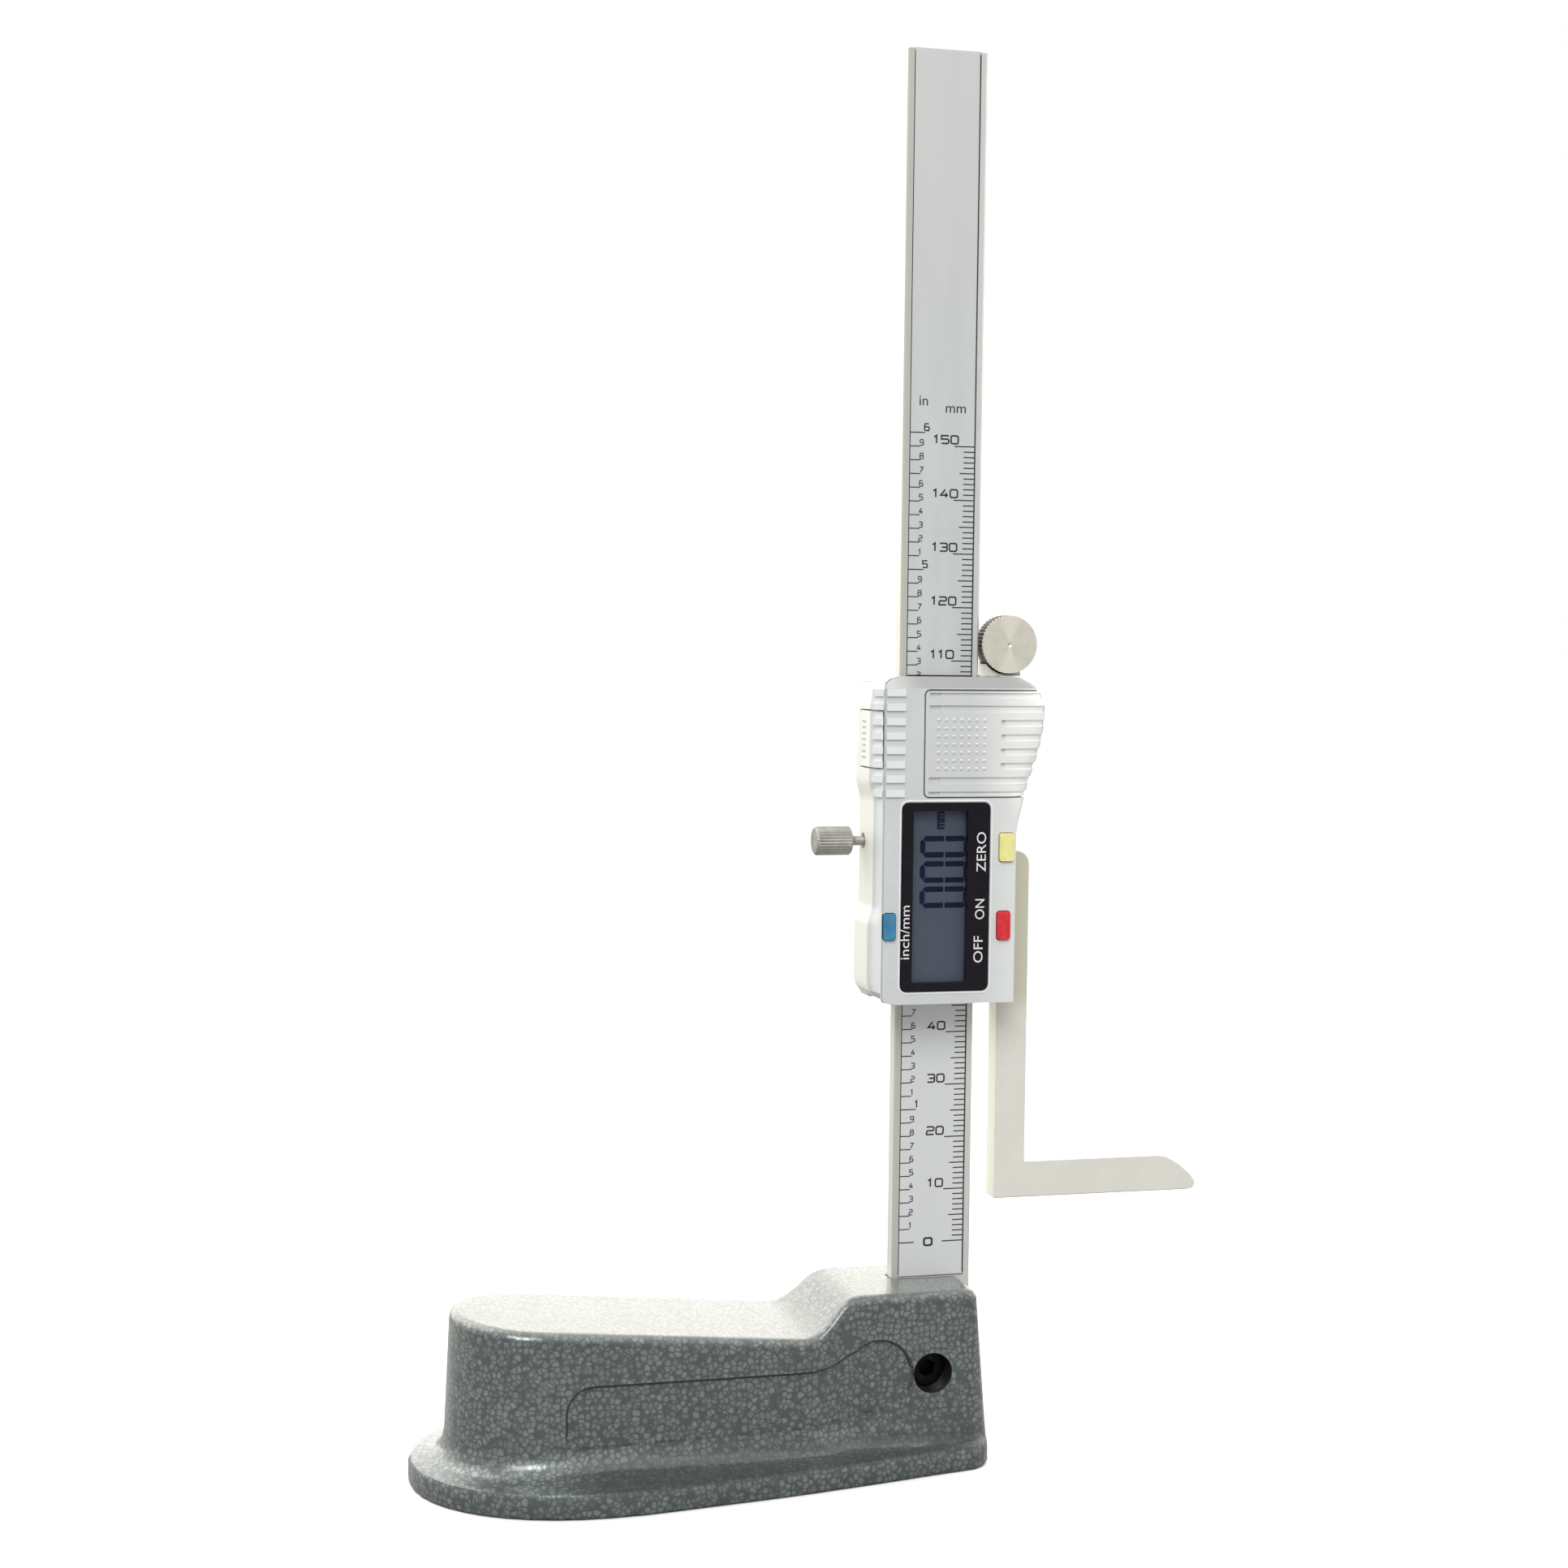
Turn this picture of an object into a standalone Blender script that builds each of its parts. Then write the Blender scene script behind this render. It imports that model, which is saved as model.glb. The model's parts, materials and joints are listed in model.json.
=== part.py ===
"""Digital height gauge: a cast base, an upright beam with a scale, and a slider
that carries the read-out, a thumb roller, a lock screw and an L-shaped scriber.

Frame: the sole stands on z = 0, x runs along the width of the beam with x = 0 on
its centre line, and y = 0 is the centre plane of the base and the face of the
scale. The scale looks towards -Y.
"""
import math

import bmesh
import bpy
from mathutils import Matrix, Vector

MM = 0.001

# Fits
SEAT_GAP = 0.3 * MM
SLIP_GAP = 0.15 * MM
OVERRUN = 8.0 * MM
ROUND_SIDES = 28
SMALL_SIDES = 16

# Base casting
BASE_LENGTH = 106.6 * MM
BASE_END_X = 8.2 * MM
SOLE_TO_RIM_TOP = 4.7 * MM
FLANGE_HALF_WIDTH = 26.0 * MM
FLANGE_NOSE_LENGTH = 32.4 * MM
FLANGE_CORNER = 6.0 * MM
SOLE_EDGE = 0.8 * MM
RIM_EDGE = 1.3 * MM
BODY_HALF_WIDTH = 15.0 * MM
BLOCK_HALF_WIDTH = 12.0 * MM
BODY_END_INSET = 7.4 * MM
BLOCK_END_INSET = 2.45 * MM
WALL_DRAFT = 0.035
END_DRAFT = 0.083
NARROW_FROM_X = -29.5 * MM
NARROW_TO_X = -16.5 * MM
BLOCK_CORNER = 2.6 * MM
COVE_HEIGHT = 4.9 * MM
BLOCK_HEIGHT = 32.8 * MM
BODY_HEIGHT_AT_END = 32.1 * MM
BODY_HEIGHT_AT_STEP = 26.2 * MM
STEP_FOOT_X = -28.5 * MM
STEP_HEAD_X = -17.0 * MM
TOP_EDGE_ROUND = 1.8 * MM
PANEL_DEPTH = 0.8 * MM
PANEL_LEFT_X = -72.6 * MM
PANEL_LOW_Z = 9.2 * MM
PANEL_HIGH_Z = 20.5 * MM
PANEL_LEFT_ROUND = 5.0 * MM
PANEL_BULB_X = -13.6 * MM
PANEL_BULB_Z = 18.2 * MM
PANEL_BULB_RADIUS = 6.6 * MM
RELIEF_DEPTH = 1.0 * MM
RELIEF_LEFT_X = -84.0 * MM
RELIEF_RIGHT_X = -24.0 * MM
RELIEF_HALF_WIDTH = 13.0 * MM
RELIEF_CORNER = 8.0 * MM

# Side of the flange from its widest place to the beam end: the place is a share
# of that run, the half width a share of the largest one
FLANGE_SIDE_SHARES = ((0.0, 1.0), (0.09, 0.993), (0.18, 0.965), (0.28, 0.93), (0.37, 0.9),
                      (0.46, 0.868), (0.55, 0.83), (0.64, 0.786), (0.73, 0.742), (0.82, 0.695),
                      (0.91, 0.645), (1.0, 0.603))
# Cove between the flange and the wall: how far out, and how high
COVE_SHARES = ((0.5, 0.06), (0.22, 0.26), (0.08, 0.55), (0.02, 1.0))
# Round of the top edge: how far in, and how far up
ROUND_SHARES = ((0.0, 0.0), (0.08, 0.38), (0.29, 0.71), (0.62, 0.92), (1.0, 1.0))
# Step up to the block: along the step and up the step
STEP_SHARES = ((0.0, 0.0), (0.16, 0.05), (0.3, 0.17), (0.44, 0.38), (0.58, 0.64), (0.7, 0.83),
               (0.83, 0.95), (1.0, 1.0))

STATION_SPACING_SHARE = 0.012
NOSE_POWER = 0.95

# Beam and its scale
BEAM_WIDTH = 15.5 * MM
BEAM_THICKNESS = 3.2 * MM
BEAM_TOP_Z = 262.5 * MM
BEAM_FOOT_Z = 5.3 * MM
BEAM_EDGE = 0.35 * MM
SCALE_WIDTH = 12.75 * MM
SCALE_THICKNESS = 0.5 * MM
SCALE_SINK = 0.2 * MM
SCALE_MARGIN = 0.12 * MM
SCALE_BED = 0.1 * MM

# Screw that clamps the beam in the base
CLAMP_HOLE_X = -3.3 * MM
CLAMP_HOLE_Z = 17.95 * MM
CLAMP_HOLE_RADIUS = 3.75 * MM
CLAMP_SCREW_LENGTH = 8.2 * MM
CLAMP_SOCKET_RADIUS = 1.75 * MM
CLAMP_SOCKET_DEPTH = 3.0 * MM
CLAMP_TIP_RADIUS = 1.9 * MM
CLAMP_TIP_LENGTH = 1.2 * MM

# Slider housing
HOUSING_LOW_Z = 86.1 * MM
HOUSING_HEIGHT = 60.5 * MM
HOUSING_FRONT_Y = -8.5 * MM
HOUSING_BACK_Y = 3.9 * MM
HOUSING_SEAM_X = -13.05 * MM
SIDE_X = -14.8 * MM
SIDE_LOW_X = -14.8 * MM
WAIST_X = -14.0 * MM
SIDE_EDGE_Y = -4.4 * MM
WAIST_EDGE_Y = -3.4 * MM
WAIST_LOW_Z = 104.5 * MM
WAIST_DROP = 19.1 * MM
WAIST_RUN = 4.0 * MM
TOP_CORNER = 4.2 * MM
FOOT_CORNER_WIDTH = 5.8 * MM
FOOT_CORNER_HEIGHT = 3.8 * MM
TOP_BEVEL_HEIGHT = 2.1 * MM
TOP_BEVEL_DEPTH = 1.5 * MM
RIGHT_X = 13.0 * MM
RIGHT_ROUND = 0.8 * MM
RIGHT_BACK_Y = -0.9 * MM
GRIP_REACH = 6.7 * MM
GRIP_FLAT_X = 9.7 * MM
GRIP_TURN_Y = -4.0 * MM
GRIP_BACK_Y = 2.6 * MM
GRIP_HEIGHT = 29.1 * MM
HOUSING_WALL = 2.3 * MM
HOUSING_END_WALL = 1.6 * MM
HOUSING_SIDE_WALL = 1.5 * MM
SEAM_WIDTH = 0.3 * MM
SEAM_DEPTH = 0.35 * MM
# Outline of the finger grip: height along it and reach, from its foot to its head
GRIP_SHARES = ((0.0, 0.0), (0.08, 0.08), (0.16, 0.24), (0.27, 0.43), (0.4, 0.63), (0.55, 0.85),
               (0.69, 0.97), (0.82, 1.0), (0.91, 0.84), (0.96, 0.6), (1.0, 0.3))

# Grip ribs moulded on the left edge
RIB_COUNT = 8
RIB_TOP_DROP = 2.95 * MM
RIB_PITCH = 2.64 * MM
RIB_HEIGHT = 1.3 * MM
RIB_RISE = 0.35 * MM
RIB_FRONT_LENGTH = 3.6 * MM
RIB_SIDE_SHARE = 0.62

# Display
BEZEL_LEFT_X = -9.4 * MM
BEZEL_WIDTH = 16.9 * MM
BEZEL_RISE_Z = 2.45 * MM
BEZEL_HEIGHT_SHARE = 0.5752
BEZEL_ROUND = 1.1 * MM
BEZEL_RISE = 0.25 * MM
BEZEL_THICKNESS = 1.4 * MM
WINDOW_LEFT_X = -7.35 * MM
WINDOW_WIDTH = 10.6 * MM
WINDOW_INSET_Z = 1.55 * MM
WINDOW_INSET_TOP = 1.45 * MM
WINDOW_SINK = 0.15 * MM
WINDOW_THICKNESS = 0.8 * MM
BEZEL_LEDGE = 0.7 * MM
LCD_THICKNESS = 2.0 * MM
ZEBRA_WIDTH = 1.2 * MM

# Buttons
BUTTON_ZERO_WIDTH = 2.8 * MM
BUTTON_POWER_WIDTH = 2.5 * MM
BUTTON_UNIT_WIDTH = 2.3 * MM
BUTTON_HEIGHT = 5.25 * MM
BUTTON_UNIT_HEIGHT = 4.9 * MM
BUTTON_ROUND = 0.45 * MM
BUTTON_RISE = 0.55 * MM
BUTTON_FLANGE = 0.5 * MM
BUTTON_FLANGE_SIDE = 0.2 * MM
BUTTON_FLANGE_THICKNESS = 0.7 * MM
BUTTON_TRAVEL = 0.5 * MM
BUTTON_ZERO = (10.85 * MM, 115.1 * MM, BUTTON_ZERO_WIDTH, BUTTON_HEIGHT)
BUTTON_POWER = (10.45 * MM, 100.5 * MM, BUTTON_POWER_WIDTH, BUTTON_HEIGHT)
BUTTON_UNIT = (-11.7 * MM, 100.6 * MM, BUTTON_UNIT_WIDTH, BUTTON_UNIT_HEIGHT)
DOME_WIDTH = 2.2 * MM

# Circuit board, battery and their room
BOARD_FRONT_Y = -1.5 * MM
BOARD_THICKNESS = 0.8 * MM
BATTERY_X = 3.4 * MM
BATTERY_RADIUS = 5.8 * MM
BATTERY_THICKNESS = 5.4 * MM
BATTERY_RIM = 0.5 * MM
CONTACT_THICKNESS = 0.15 * MM
CONTACT_WIDTH = 2.4 * MM

# Battery cover
LID_LEFT_X = -5.5 * MM
LID_DROP = 2.25 * MM
LID_FOOT_WALL = 0.9 * MM
LID_BACK_Y = -3.4 * MM
LID_THICKNESS = 1.0 * MM
LID_GAP = 0.3 * MM
LID_CORNER = 1.1 * MM
FLUTE_HEIGHT = 1.25 * MM
FLUTE_DEPTH = 0.3 * MM
FLUTE_END_DROP = 0.95 * MM
FLUTE_END_RISE = 0.6 * MM
FLUTE_COUNT = 8
FLUTE_RIM = 0.35 * MM
# The four flutes in the middle are short, the two at each end run the whole width
SHORT_FLUTE_LEFT_X = 9.5 * MM
SHORT_MOUTH_DEPTH = 0.6 * MM
SHORT_MOUTH_WIDTH = 0.9 * MM
LONG_FLUTE_COUNT = 2
LONG_FLUTE_LEFT_X = -4.5 * MM
LONG_MOUTH_DEPTH = 0.45 * MM
LONG_MOUTH_WIDTH = 2.2 * MM

# Cover of the data port
PORT_DROP = 6.1 * MM
PORT_HEIGHT = 10.9 * MM
PORT_BACK_Y = 1.6 * MM
PORT_THICKNESS = 1.0 * MM

# Slider frame
FRAME_LEFT_X = -13.2 * MM
FRAME_RIGHT_X = 12.0 * MM
FRAME_FRONT_Y = -0.4 * MM
FRAME_BACK_Y = 5.6 * MM
FRAME_END_INSET = 0.5 * MM
FRAME_EDGE = 0.4 * MM
GIB_THICKNESS = 0.95 * MM
GIB_DEPTH = 2.6 * MM
GIB_END_INSET = 3.4 * MM
LUG_RIGHT_X = 17.6 * MM
LUG_LOW_Z = 88.0 * MM
LUG_HIGH_Z = 112.0 * MM
BACK_PLATE_THICKNESS = 0.6 * MM
BACK_PLATE_ROUND = 1.5 * MM
TAB_NOTCH_DROP = 9.4 * MM
TAB_NOTCH_LEFT_X = 7.6 * MM

# Small screws
SCREW_RADIUS = 0.9 * MM
SCREW_HOLE_RADIUS = 1.2 * MM
SCREW_HEAD_RADIUS = 1.8 * MM
SCREW_HEAD_HEIGHT = 0.9 * MM
SCREW_SLOT_WIDTH = 0.5 * MM
SCREW_SLOT_DEPTH = 0.4 * MM
SCREW_LEFT_X = -11.3 * MM
SCREW_RIGHT_X = 10.2 * MM
SCREW_RISE = 5.3 * MM
SCREW_DROP = 4.6 * MM
SCREW_REACH_Y = -4.4 * MM
BOSS_RADIUS = 1.9 * MM
GIB_SCREW_RISE = 10.9 * MM
GIB_SCREW_DROP = 11.6 * MM
SIDE_SCREW_Y = 1.4 * MM

# Lock screw
LOCK_Z = 115.8 * MM
LOCK_HEAD_RADIUS = 2.7 * MM
LOCK_HEAD_LEFT_X = -23.5 * MM
LOCK_HEAD_LENGTH = 6.9 * MM
LOCK_NECK_LENGTH = 0.8 * MM
LOCK_NECK_RADIUS = 1.7 * MM
LOCK_KNURL_COUNT = 30
LOCK_KNURL_DEPTH = 0.16 * MM
LOCK_HOLE_RADIUS = 1.5 * MM

# Thumb roller
ROLLER_RADIUS = 5.5 * MM
ROLLER_THICKNESS = 4.2 * MM
ROLLER_FRONT_Y = -1.5 * MM
ROLLER_RISE = 6.1 * MM
ROLLER_TO_BEAM = 0.15 * MM
ROLLER_KNURL_COUNT = 48
ROLLER_KNURL_DEPTH = 0.2 * MM
ROLLER_BORE_RADIUS = 1.3 * MM
ROLLER_BORE_DEPTH = 3.2 * MM
ROLLER_DIMPLE_RADIUS = 0.5 * MM
ROLLER_EDGE = 0.3 * MM
AXLE_RADIUS = 1.22 * MM
AXLE_HEAD_RADIUS = 2.2 * MM
AXLE_HEAD_THICKNESS = 0.8 * MM
BRACKET_THICKNESS = 1.1 * MM
BRACKET_LEFT_X = 9.2 * MM
BRACKET_RIGHT_X = 17.2 * MM
BRACKET_TOP_RISE = 4.2 * MM
BRACKET_TOP_ROUND = 3.0 * MM
BRACKET_TAB_LEFT_X = 7.9 * MM
BRACKET_TAB_THICKNESS = 0.8 * MM
CRADLE_FRONT_Y = -0.5 * MM
CRADLE_RIGHT_X = 15.2 * MM
CRADLE_TOP_RISE = 3.0 * MM
CRADLE_GAP = 0.2 * MM

# Scriber
SCRIBER_LEFT_X = 12.3 * MM
SCRIBER_ARM_WIDTH = 6.15 * MM
SCRIBER_TOP_Z = 113.8 * MM
SCRIBER_LOW_Z = 47.3 * MM
SCRIBER_FOOT_HEIGHT = 6.9 * MM
SCRIBER_REACH = 41.5 * MM
SCRIBER_FRONT_Y = -0.5 * MM
SCRIBER_THICKNESS = 4.6 * MM
SCRIBER_TOP_ROUND = 2.6 * MM
SCRIBER_NOSE_LENGTH = 7.6 * MM
SCRIBER_EDGE = 0.25 * MM
SCRIBER_SCREW_X = 15.1 * MM
SCRIBER_SCREW_LOW_Z = 92.5 * MM
SCRIBER_SCREW_HIGH_Z = 107.5 * MM
SCRIBER_SCREW_DEPTH = 3.0 * MM
# Nose of the scriber: back from the tip and up from the face
NOSE_SHARES = ((0.26, 0.0), (0.07, 0.03), (0.0, 0.14), (0.02, 0.26), (0.1, 0.4), (0.42, 0.72),
               (0.78, 0.95), (1.0, 1.0))

# Derived places
HOUSING_HIGH_Z = HOUSING_LOW_Z + HOUSING_HEIGHT
WAIST_HIGH_Z = HOUSING_HIGH_Z - WAIST_DROP
GRIP_LOW_Z = HOUSING_HIGH_Z - GRIP_HEIGHT
RIB_TOP_Z = HOUSING_HIGH_Z - RIB_TOP_DROP
BEZEL_HEIGHT = HOUSING_HEIGHT * BEZEL_HEIGHT_SHARE
BEZEL_LOW_Z = HOUSING_LOW_Z + BEZEL_RISE_Z
BEZEL_HIGH_Z = BEZEL_LOW_Z + BEZEL_HEIGHT
WINDOW_LOW_Z = BEZEL_LOW_Z + WINDOW_INSET_Z
WINDOW_HEIGHT = BEZEL_HEIGHT - WINDOW_INSET_Z - WINDOW_INSET_TOP
LID_HIGH_Z = HOUSING_HIGH_Z - LID_DROP
LID_LOW_Z = BEZEL_HIGH_Z + LID_FOOT_WALL
FLUTE_TOP_Z = LID_HIGH_Z - FLUTE_END_DROP
FLUTE_PITCH = (FLUTE_TOP_Z - LID_LOW_Z - FLUTE_END_RISE) / (FLUTE_COUNT - 1)
PORT_HIGH_Z = HOUSING_HIGH_Z - PORT_DROP
PORT_LOW_Z = PORT_HIGH_Z - PORT_HEIGHT
BATTERY_Z = (LID_LOW_Z + LID_HIGH_Z) / 2
FRAME_LOW_Z = HOUSING_LOW_Z + FRAME_END_INSET
FRAME_HIGH_Z = HOUSING_HIGH_Z - FRAME_END_INSET
TAB_NOTCH_LOW_Z = HOUSING_HIGH_Z - TAB_NOTCH_DROP
SCREW_LOW_Z = HOUSING_LOW_Z + SCREW_RISE
SCREW_HIGH_Z = HOUSING_HIGH_Z - SCREW_DROP
GIB_SCREW_LOW_Z = HOUSING_LOW_Z + GIB_SCREW_RISE
GIB_SCREW_HIGH_Z = HOUSING_HIGH_Z - GIB_SCREW_DROP
ROLLER_Z = HOUSING_HIGH_Z + ROLLER_RISE
BRACKET_TOP_Z = ROLLER_Z + BRACKET_TOP_RISE
BRACKET_TAB_LOW_Z = TAB_NOTCH_LOW_Z + SEAT_GAP
CRADLE_TOP_Z = HOUSING_HIGH_Z + CRADLE_TOP_RISE
BASE_LEFT_X = BASE_END_X - BASE_LENGTH
BEAM_HALF = BEAM_WIDTH / 2
BEAM_FRONT_Y = -SCALE_SINK
BEAM_BACK_Y = BEAM_FRONT_Y + BEAM_THICKNESS
CHANNEL_LEFT_X = -BEAM_HALF - SEAT_GAP - GIB_THICKNESS - SEAT_GAP
CHANNEL_RIGHT_X = BEAM_HALF + SEAT_GAP
CHANNEL_BACK_Y = BEAM_BACK_Y + SEAT_GAP
BOARD_BACK_Y = BOARD_FRONT_Y + BOARD_THICKNESS
INNER_FRONT_Y = HOUSING_FRONT_Y + HOUSING_WALL
PLATE_FRONT_Y = FRAME_BACK_Y + SEAT_GAP
PLATE_BACK_Y = PLATE_FRONT_Y + BACK_PLATE_THICKNESS
ROLLER_X = BEAM_HALF + ROLLER_TO_BEAM + ROLLER_RADIUS
SCRIBER_BACK_Y = SCRIBER_FRONT_Y + SCRIBER_THICKNESS
LUG_FRONT_Y = SCRIBER_BACK_Y + SEAT_GAP
LUG_BACK_Y = FRAME_BACK_Y - SEAT_GAP

PARTS = None
CUTTERS = None


def clear_scene():
    """Remove what the file already holds."""
    for obj in list(bpy.data.objects):
        bpy.data.objects.remove(obj, do_unlink=True)


def make_collection(name):
    """Make a collection and link it to the scene."""
    collection = bpy.data.collections.new(name)
    bpy.context.scene.collection.children.link(collection)
    return collection


def make_material(name, color, roughness, metallic=0.0, alpha=1.0):
    """Make a Principled material."""
    material = bpy.data.materials.new(name)
    material.use_nodes = True
    shader = material.node_tree.nodes["Principled BSDF"]
    shader.inputs["Base Color"].default_value = (*color, 1.0)
    shader.inputs["Roughness"].default_value = roughness
    shader.inputs["Metallic"].default_value = metallic
    shader.inputs["Alpha"].default_value = alpha
    return material


def new_object(name, mesh, collection=None):
    """Wrap a mesh in an object of the parts collection."""
    obj = bpy.data.objects.new(name, mesh)
    (collection or PARTS).objects.link(obj)
    return obj


def as_cutter(obj):
    """Turn an object into a guide that shapes others and is not a piece."""
    if obj.name in PARTS.objects:
        PARTS.objects.unlink(obj)
        CUTTERS.objects.link(obj)
    obj.hide_render = True
    obj.display_type = 'WIRE'
    return obj


def shade(obj, angle=35.0):
    """Smooth shading that keeps the sharp edges."""
    obj.data.shade_smooth()
    obj.data.set_sharp_from_angle(angle=math.radians(angle))
    return obj


def finish(obj, material, angle=35.0):
    """Give a piece its material and shading."""
    obj.data.materials.clear()
    obj.data.materials.append(material)
    return shade(obj, angle)


def bake(obj):
    """Apply the modifiers of an object to its mesh."""
    graph = bpy.context.evaluated_depsgraph_get()
    mesh = bpy.data.meshes.new_from_object(obj.evaluated_get(graph))
    obj.modifiers.clear()
    obj.data = mesh
    return obj


def box(name, x0, x1, y0, y1, z0, z1):
    """Box between two corners."""
    mesh = bpy.data.meshes.new(name)
    bm = bmesh.new()
    bmesh.ops.create_cube(bm, size=1.0)
    size = Matrix.Diagonal((x1 - x0, y1 - y0, z1 - z0, 1.0))
    centre = Matrix.Translation(((x0 + x1) / 2, (y0 + y1) / 2, (z0 + z1) / 2))
    bmesh.ops.transform(bm, matrix=centre @ size, verts=bm.verts)
    bm.to_mesh(mesh)
    bm.free()
    return new_object(name, mesh)


AXIS_TURN = {
    "X": Matrix.Rotation(math.radians(90.0), 4, 'Y'),
    "Y": Matrix.Rotation(math.radians(-90.0), 4, 'X'),
    "Z": Matrix.Identity(4),
}


def rod(name, axis, start, end, centre, radius, sides=SMALL_SIDES, end_radius=None):
    """Cylinder or cone along an axis between two places on it."""
    mesh = bpy.data.meshes.new(name)
    bm = bmesh.new()
    bmesh.ops.create_cone(bm, cap_ends=True, segments=sides, radius1=radius,
                          radius2=radius if end_radius is None else end_radius, depth=end - start)
    place = {
        "X": ((start + end) / 2, centre[0], centre[1]),
        "Y": (centre[0], (start + end) / 2, centre[1]),
        "Z": (centre[0], centre[1], (start + end) / 2),
    }[axis]
    bmesh.ops.transform(bm, matrix=Matrix.Translation(place) @ AXIS_TURN[axis], verts=bm.verts)
    bm.to_mesh(mesh)
    bm.free()
    return new_object(name, mesh)


def plate(name, points, start, end, axis="Y", holes=()):
    """Flat outline given a thickness along an axis, with holes of their own outlines.

    For Y the points are (x, z), for Z they are (x, y) and for X they are (y, z).
    """
    curve = bpy.data.curves.new(name, 'CURVE')
    curve.dimensions = '2D'
    curve.fill_mode = 'BOTH'
    curve.extrude = (end - start) / 2
    for outline in (points, *holes):
        spline = curve.splines.new('POLY')
        spline.points.add(len(outline) - 1)
        for point, (u, v) in zip(spline.points, outline):
            point.co = (u, v, 0.0, 1.0)
        spline.use_cyclic_u = True
    source = new_object(name + "_outline", curve)
    graph = bpy.context.evaluated_depsgraph_get()
    mesh = bpy.data.meshes.new_from_object(source.evaluated_get(graph))
    bpy.data.objects.remove(source, do_unlink=True)
    middle = (start + end) / 2
    turn = {
        "Z": Matrix.Translation((0.0, 0.0, middle)),
        "Y": Matrix.Translation((0.0, middle, 0.0)) @ Matrix.Rotation(math.radians(90.0), 4, 'X'),
        "X": Matrix.Translation((middle, 0.0, 0.0))
        @ Matrix(((0, 0, 1, 0), (1, 0, 0, 0), (0, 1, 0, 0), (0, 0, 0, 1))),
    }[axis]
    bm = bmesh.new()
    bm.from_mesh(mesh)
    bmesh.ops.remove_doubles(bm, verts=bm.verts, dist=MM / 1000)
    bmesh.ops.transform(bm, matrix=turn, verts=bm.verts)
    bmesh.ops.recalc_face_normals(bm, faces=bm.faces)
    bm.to_mesh(mesh)
    bm.free()
    mesh.name = name
    return new_object(name, mesh)


def circle(x, z, radius, sides=SMALL_SIDES):
    """Outline of a round hole."""
    turns = [2 * math.pi * index / sides for index in range(sides)]
    return [(x + radius * math.cos(turn), z + radius * math.sin(turn)) for turn in turns]


def knurled(name, axis, centre, rows, teeth):
    """Knurled round piece through rows of (place along the axis, radius, knurl depth)."""
    mesh = bpy.data.meshes.new(name)
    bm = bmesh.new()
    rings = []
    for along, radius, depth in rows:
        ring = []
        for index in range(2 * teeth):
            angle = math.pi * index / teeth
            reach = radius if index % 2 == 0 else radius - depth
            ring.append(bm.verts.new((reach * math.cos(angle), reach * math.sin(angle), along)))
        rings.append(ring)
    for low, high in zip(rings, rings[1:]):
        for i in range(2 * teeth):
            j = (i + 1) % (2 * teeth)
            bm.faces.new((low[i], low[j], high[j], high[i]))
    bm.faces.new(rings[0])
    bm.faces.new(rings[-1])
    place = {
        "X": (0.0, centre[0], centre[1]),
        "Y": (centre[0], 0.0, centre[1]),
    }[axis]
    bmesh.ops.transform(bm, matrix=Matrix.Translation(place) @ AXIS_TURN[axis], verts=bm.verts)
    bmesh.ops.recalc_face_normals(bm, faces=bm.faces)
    bm.to_mesh(mesh)
    bm.free()
    return new_object(name, mesh)


def turned(name, axis, centre, profile, sides=ROUND_SIDES):
    """Turned piece from (radius, place along the axis), from its far end to its near end."""
    mesh = bpy.data.meshes.new(name)
    bm = bmesh.new()
    verts = [bm.verts.new((radius, 0.0, along)) for radius, along in profile]
    for first, second in zip(verts, verts[1:]):
        bm.edges.new((first, second))
    bm.to_mesh(mesh)
    bm.free()
    obj = new_object(name, mesh)
    screw = obj.modifiers.new("turn", 'SCREW')
    screw.axis = 'Z'
    screw.steps = sides
    screw.render_steps = sides
    screw.use_merge_vertices = True
    screw.merge_threshold = MM / 1000
    bake(obj)
    turn = AXIS_TURN[axis]
    place = {
        "X": (0.0, centre[0], centre[1]),
        "Y": (centre[0], 0.0, centre[1]),
        "Z": (centre[0], centre[1], 0.0),
    }[axis]
    bm = bmesh.new()
    bm.from_mesh(obj.data)
    bmesh.ops.remove_doubles(bm, verts=bm.verts, dist=MM / 1000)
    bmesh.ops.transform(bm, matrix=Matrix.Translation(place) @ turn, verts=bm.verts)
    bmesh.ops.recalc_face_normals(bm, faces=bm.faces)
    bm.to_mesh(obj.data)
    bm.free()
    return obj


def loft(name, rings):
    """Closed skin through rings that have the same number of points."""
    mesh = bpy.data.meshes.new(name)
    bm = bmesh.new()
    rows = [[bm.verts.new(point) for point in ring] for ring in rings]
    count = len(rows[0])
    for low, high in zip(rows, rows[1:]):
        for i in range(count):
            j = (i + 1) % count
            bm.faces.new((low[i], low[j], high[j], high[i]))
    bm.faces.new(rows[0])
    bm.faces.new(rows[-1])
    bmesh.ops.recalc_face_normals(bm, faces=bm.faces)
    bm.to_mesh(mesh)
    bm.free()
    return new_object(name, mesh)


def combine(obj, other, operation, keep=False):
    """Boolean of two objects, with the second one used up unless it is kept."""
    modifier = obj.modifiers.new(operation.lower(), 'BOOLEAN')
    modifier.operation = operation
    modifier.solver = 'EXACT'
    modifier.object = other
    bake(obj)
    if keep:
        as_cutter(other)
    else:
        bpy.data.objects.remove(other, do_unlink=True)
    return obj


def cut(obj, *others):
    """Cut other shapes out of an object."""
    for other in others:
        combine(obj, other, 'DIFFERENCE')
    return obj


def join(obj, *others):
    """Fuse other shapes with an object."""
    for other in others:
        combine(obj, other, 'UNION')
    return obj


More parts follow.
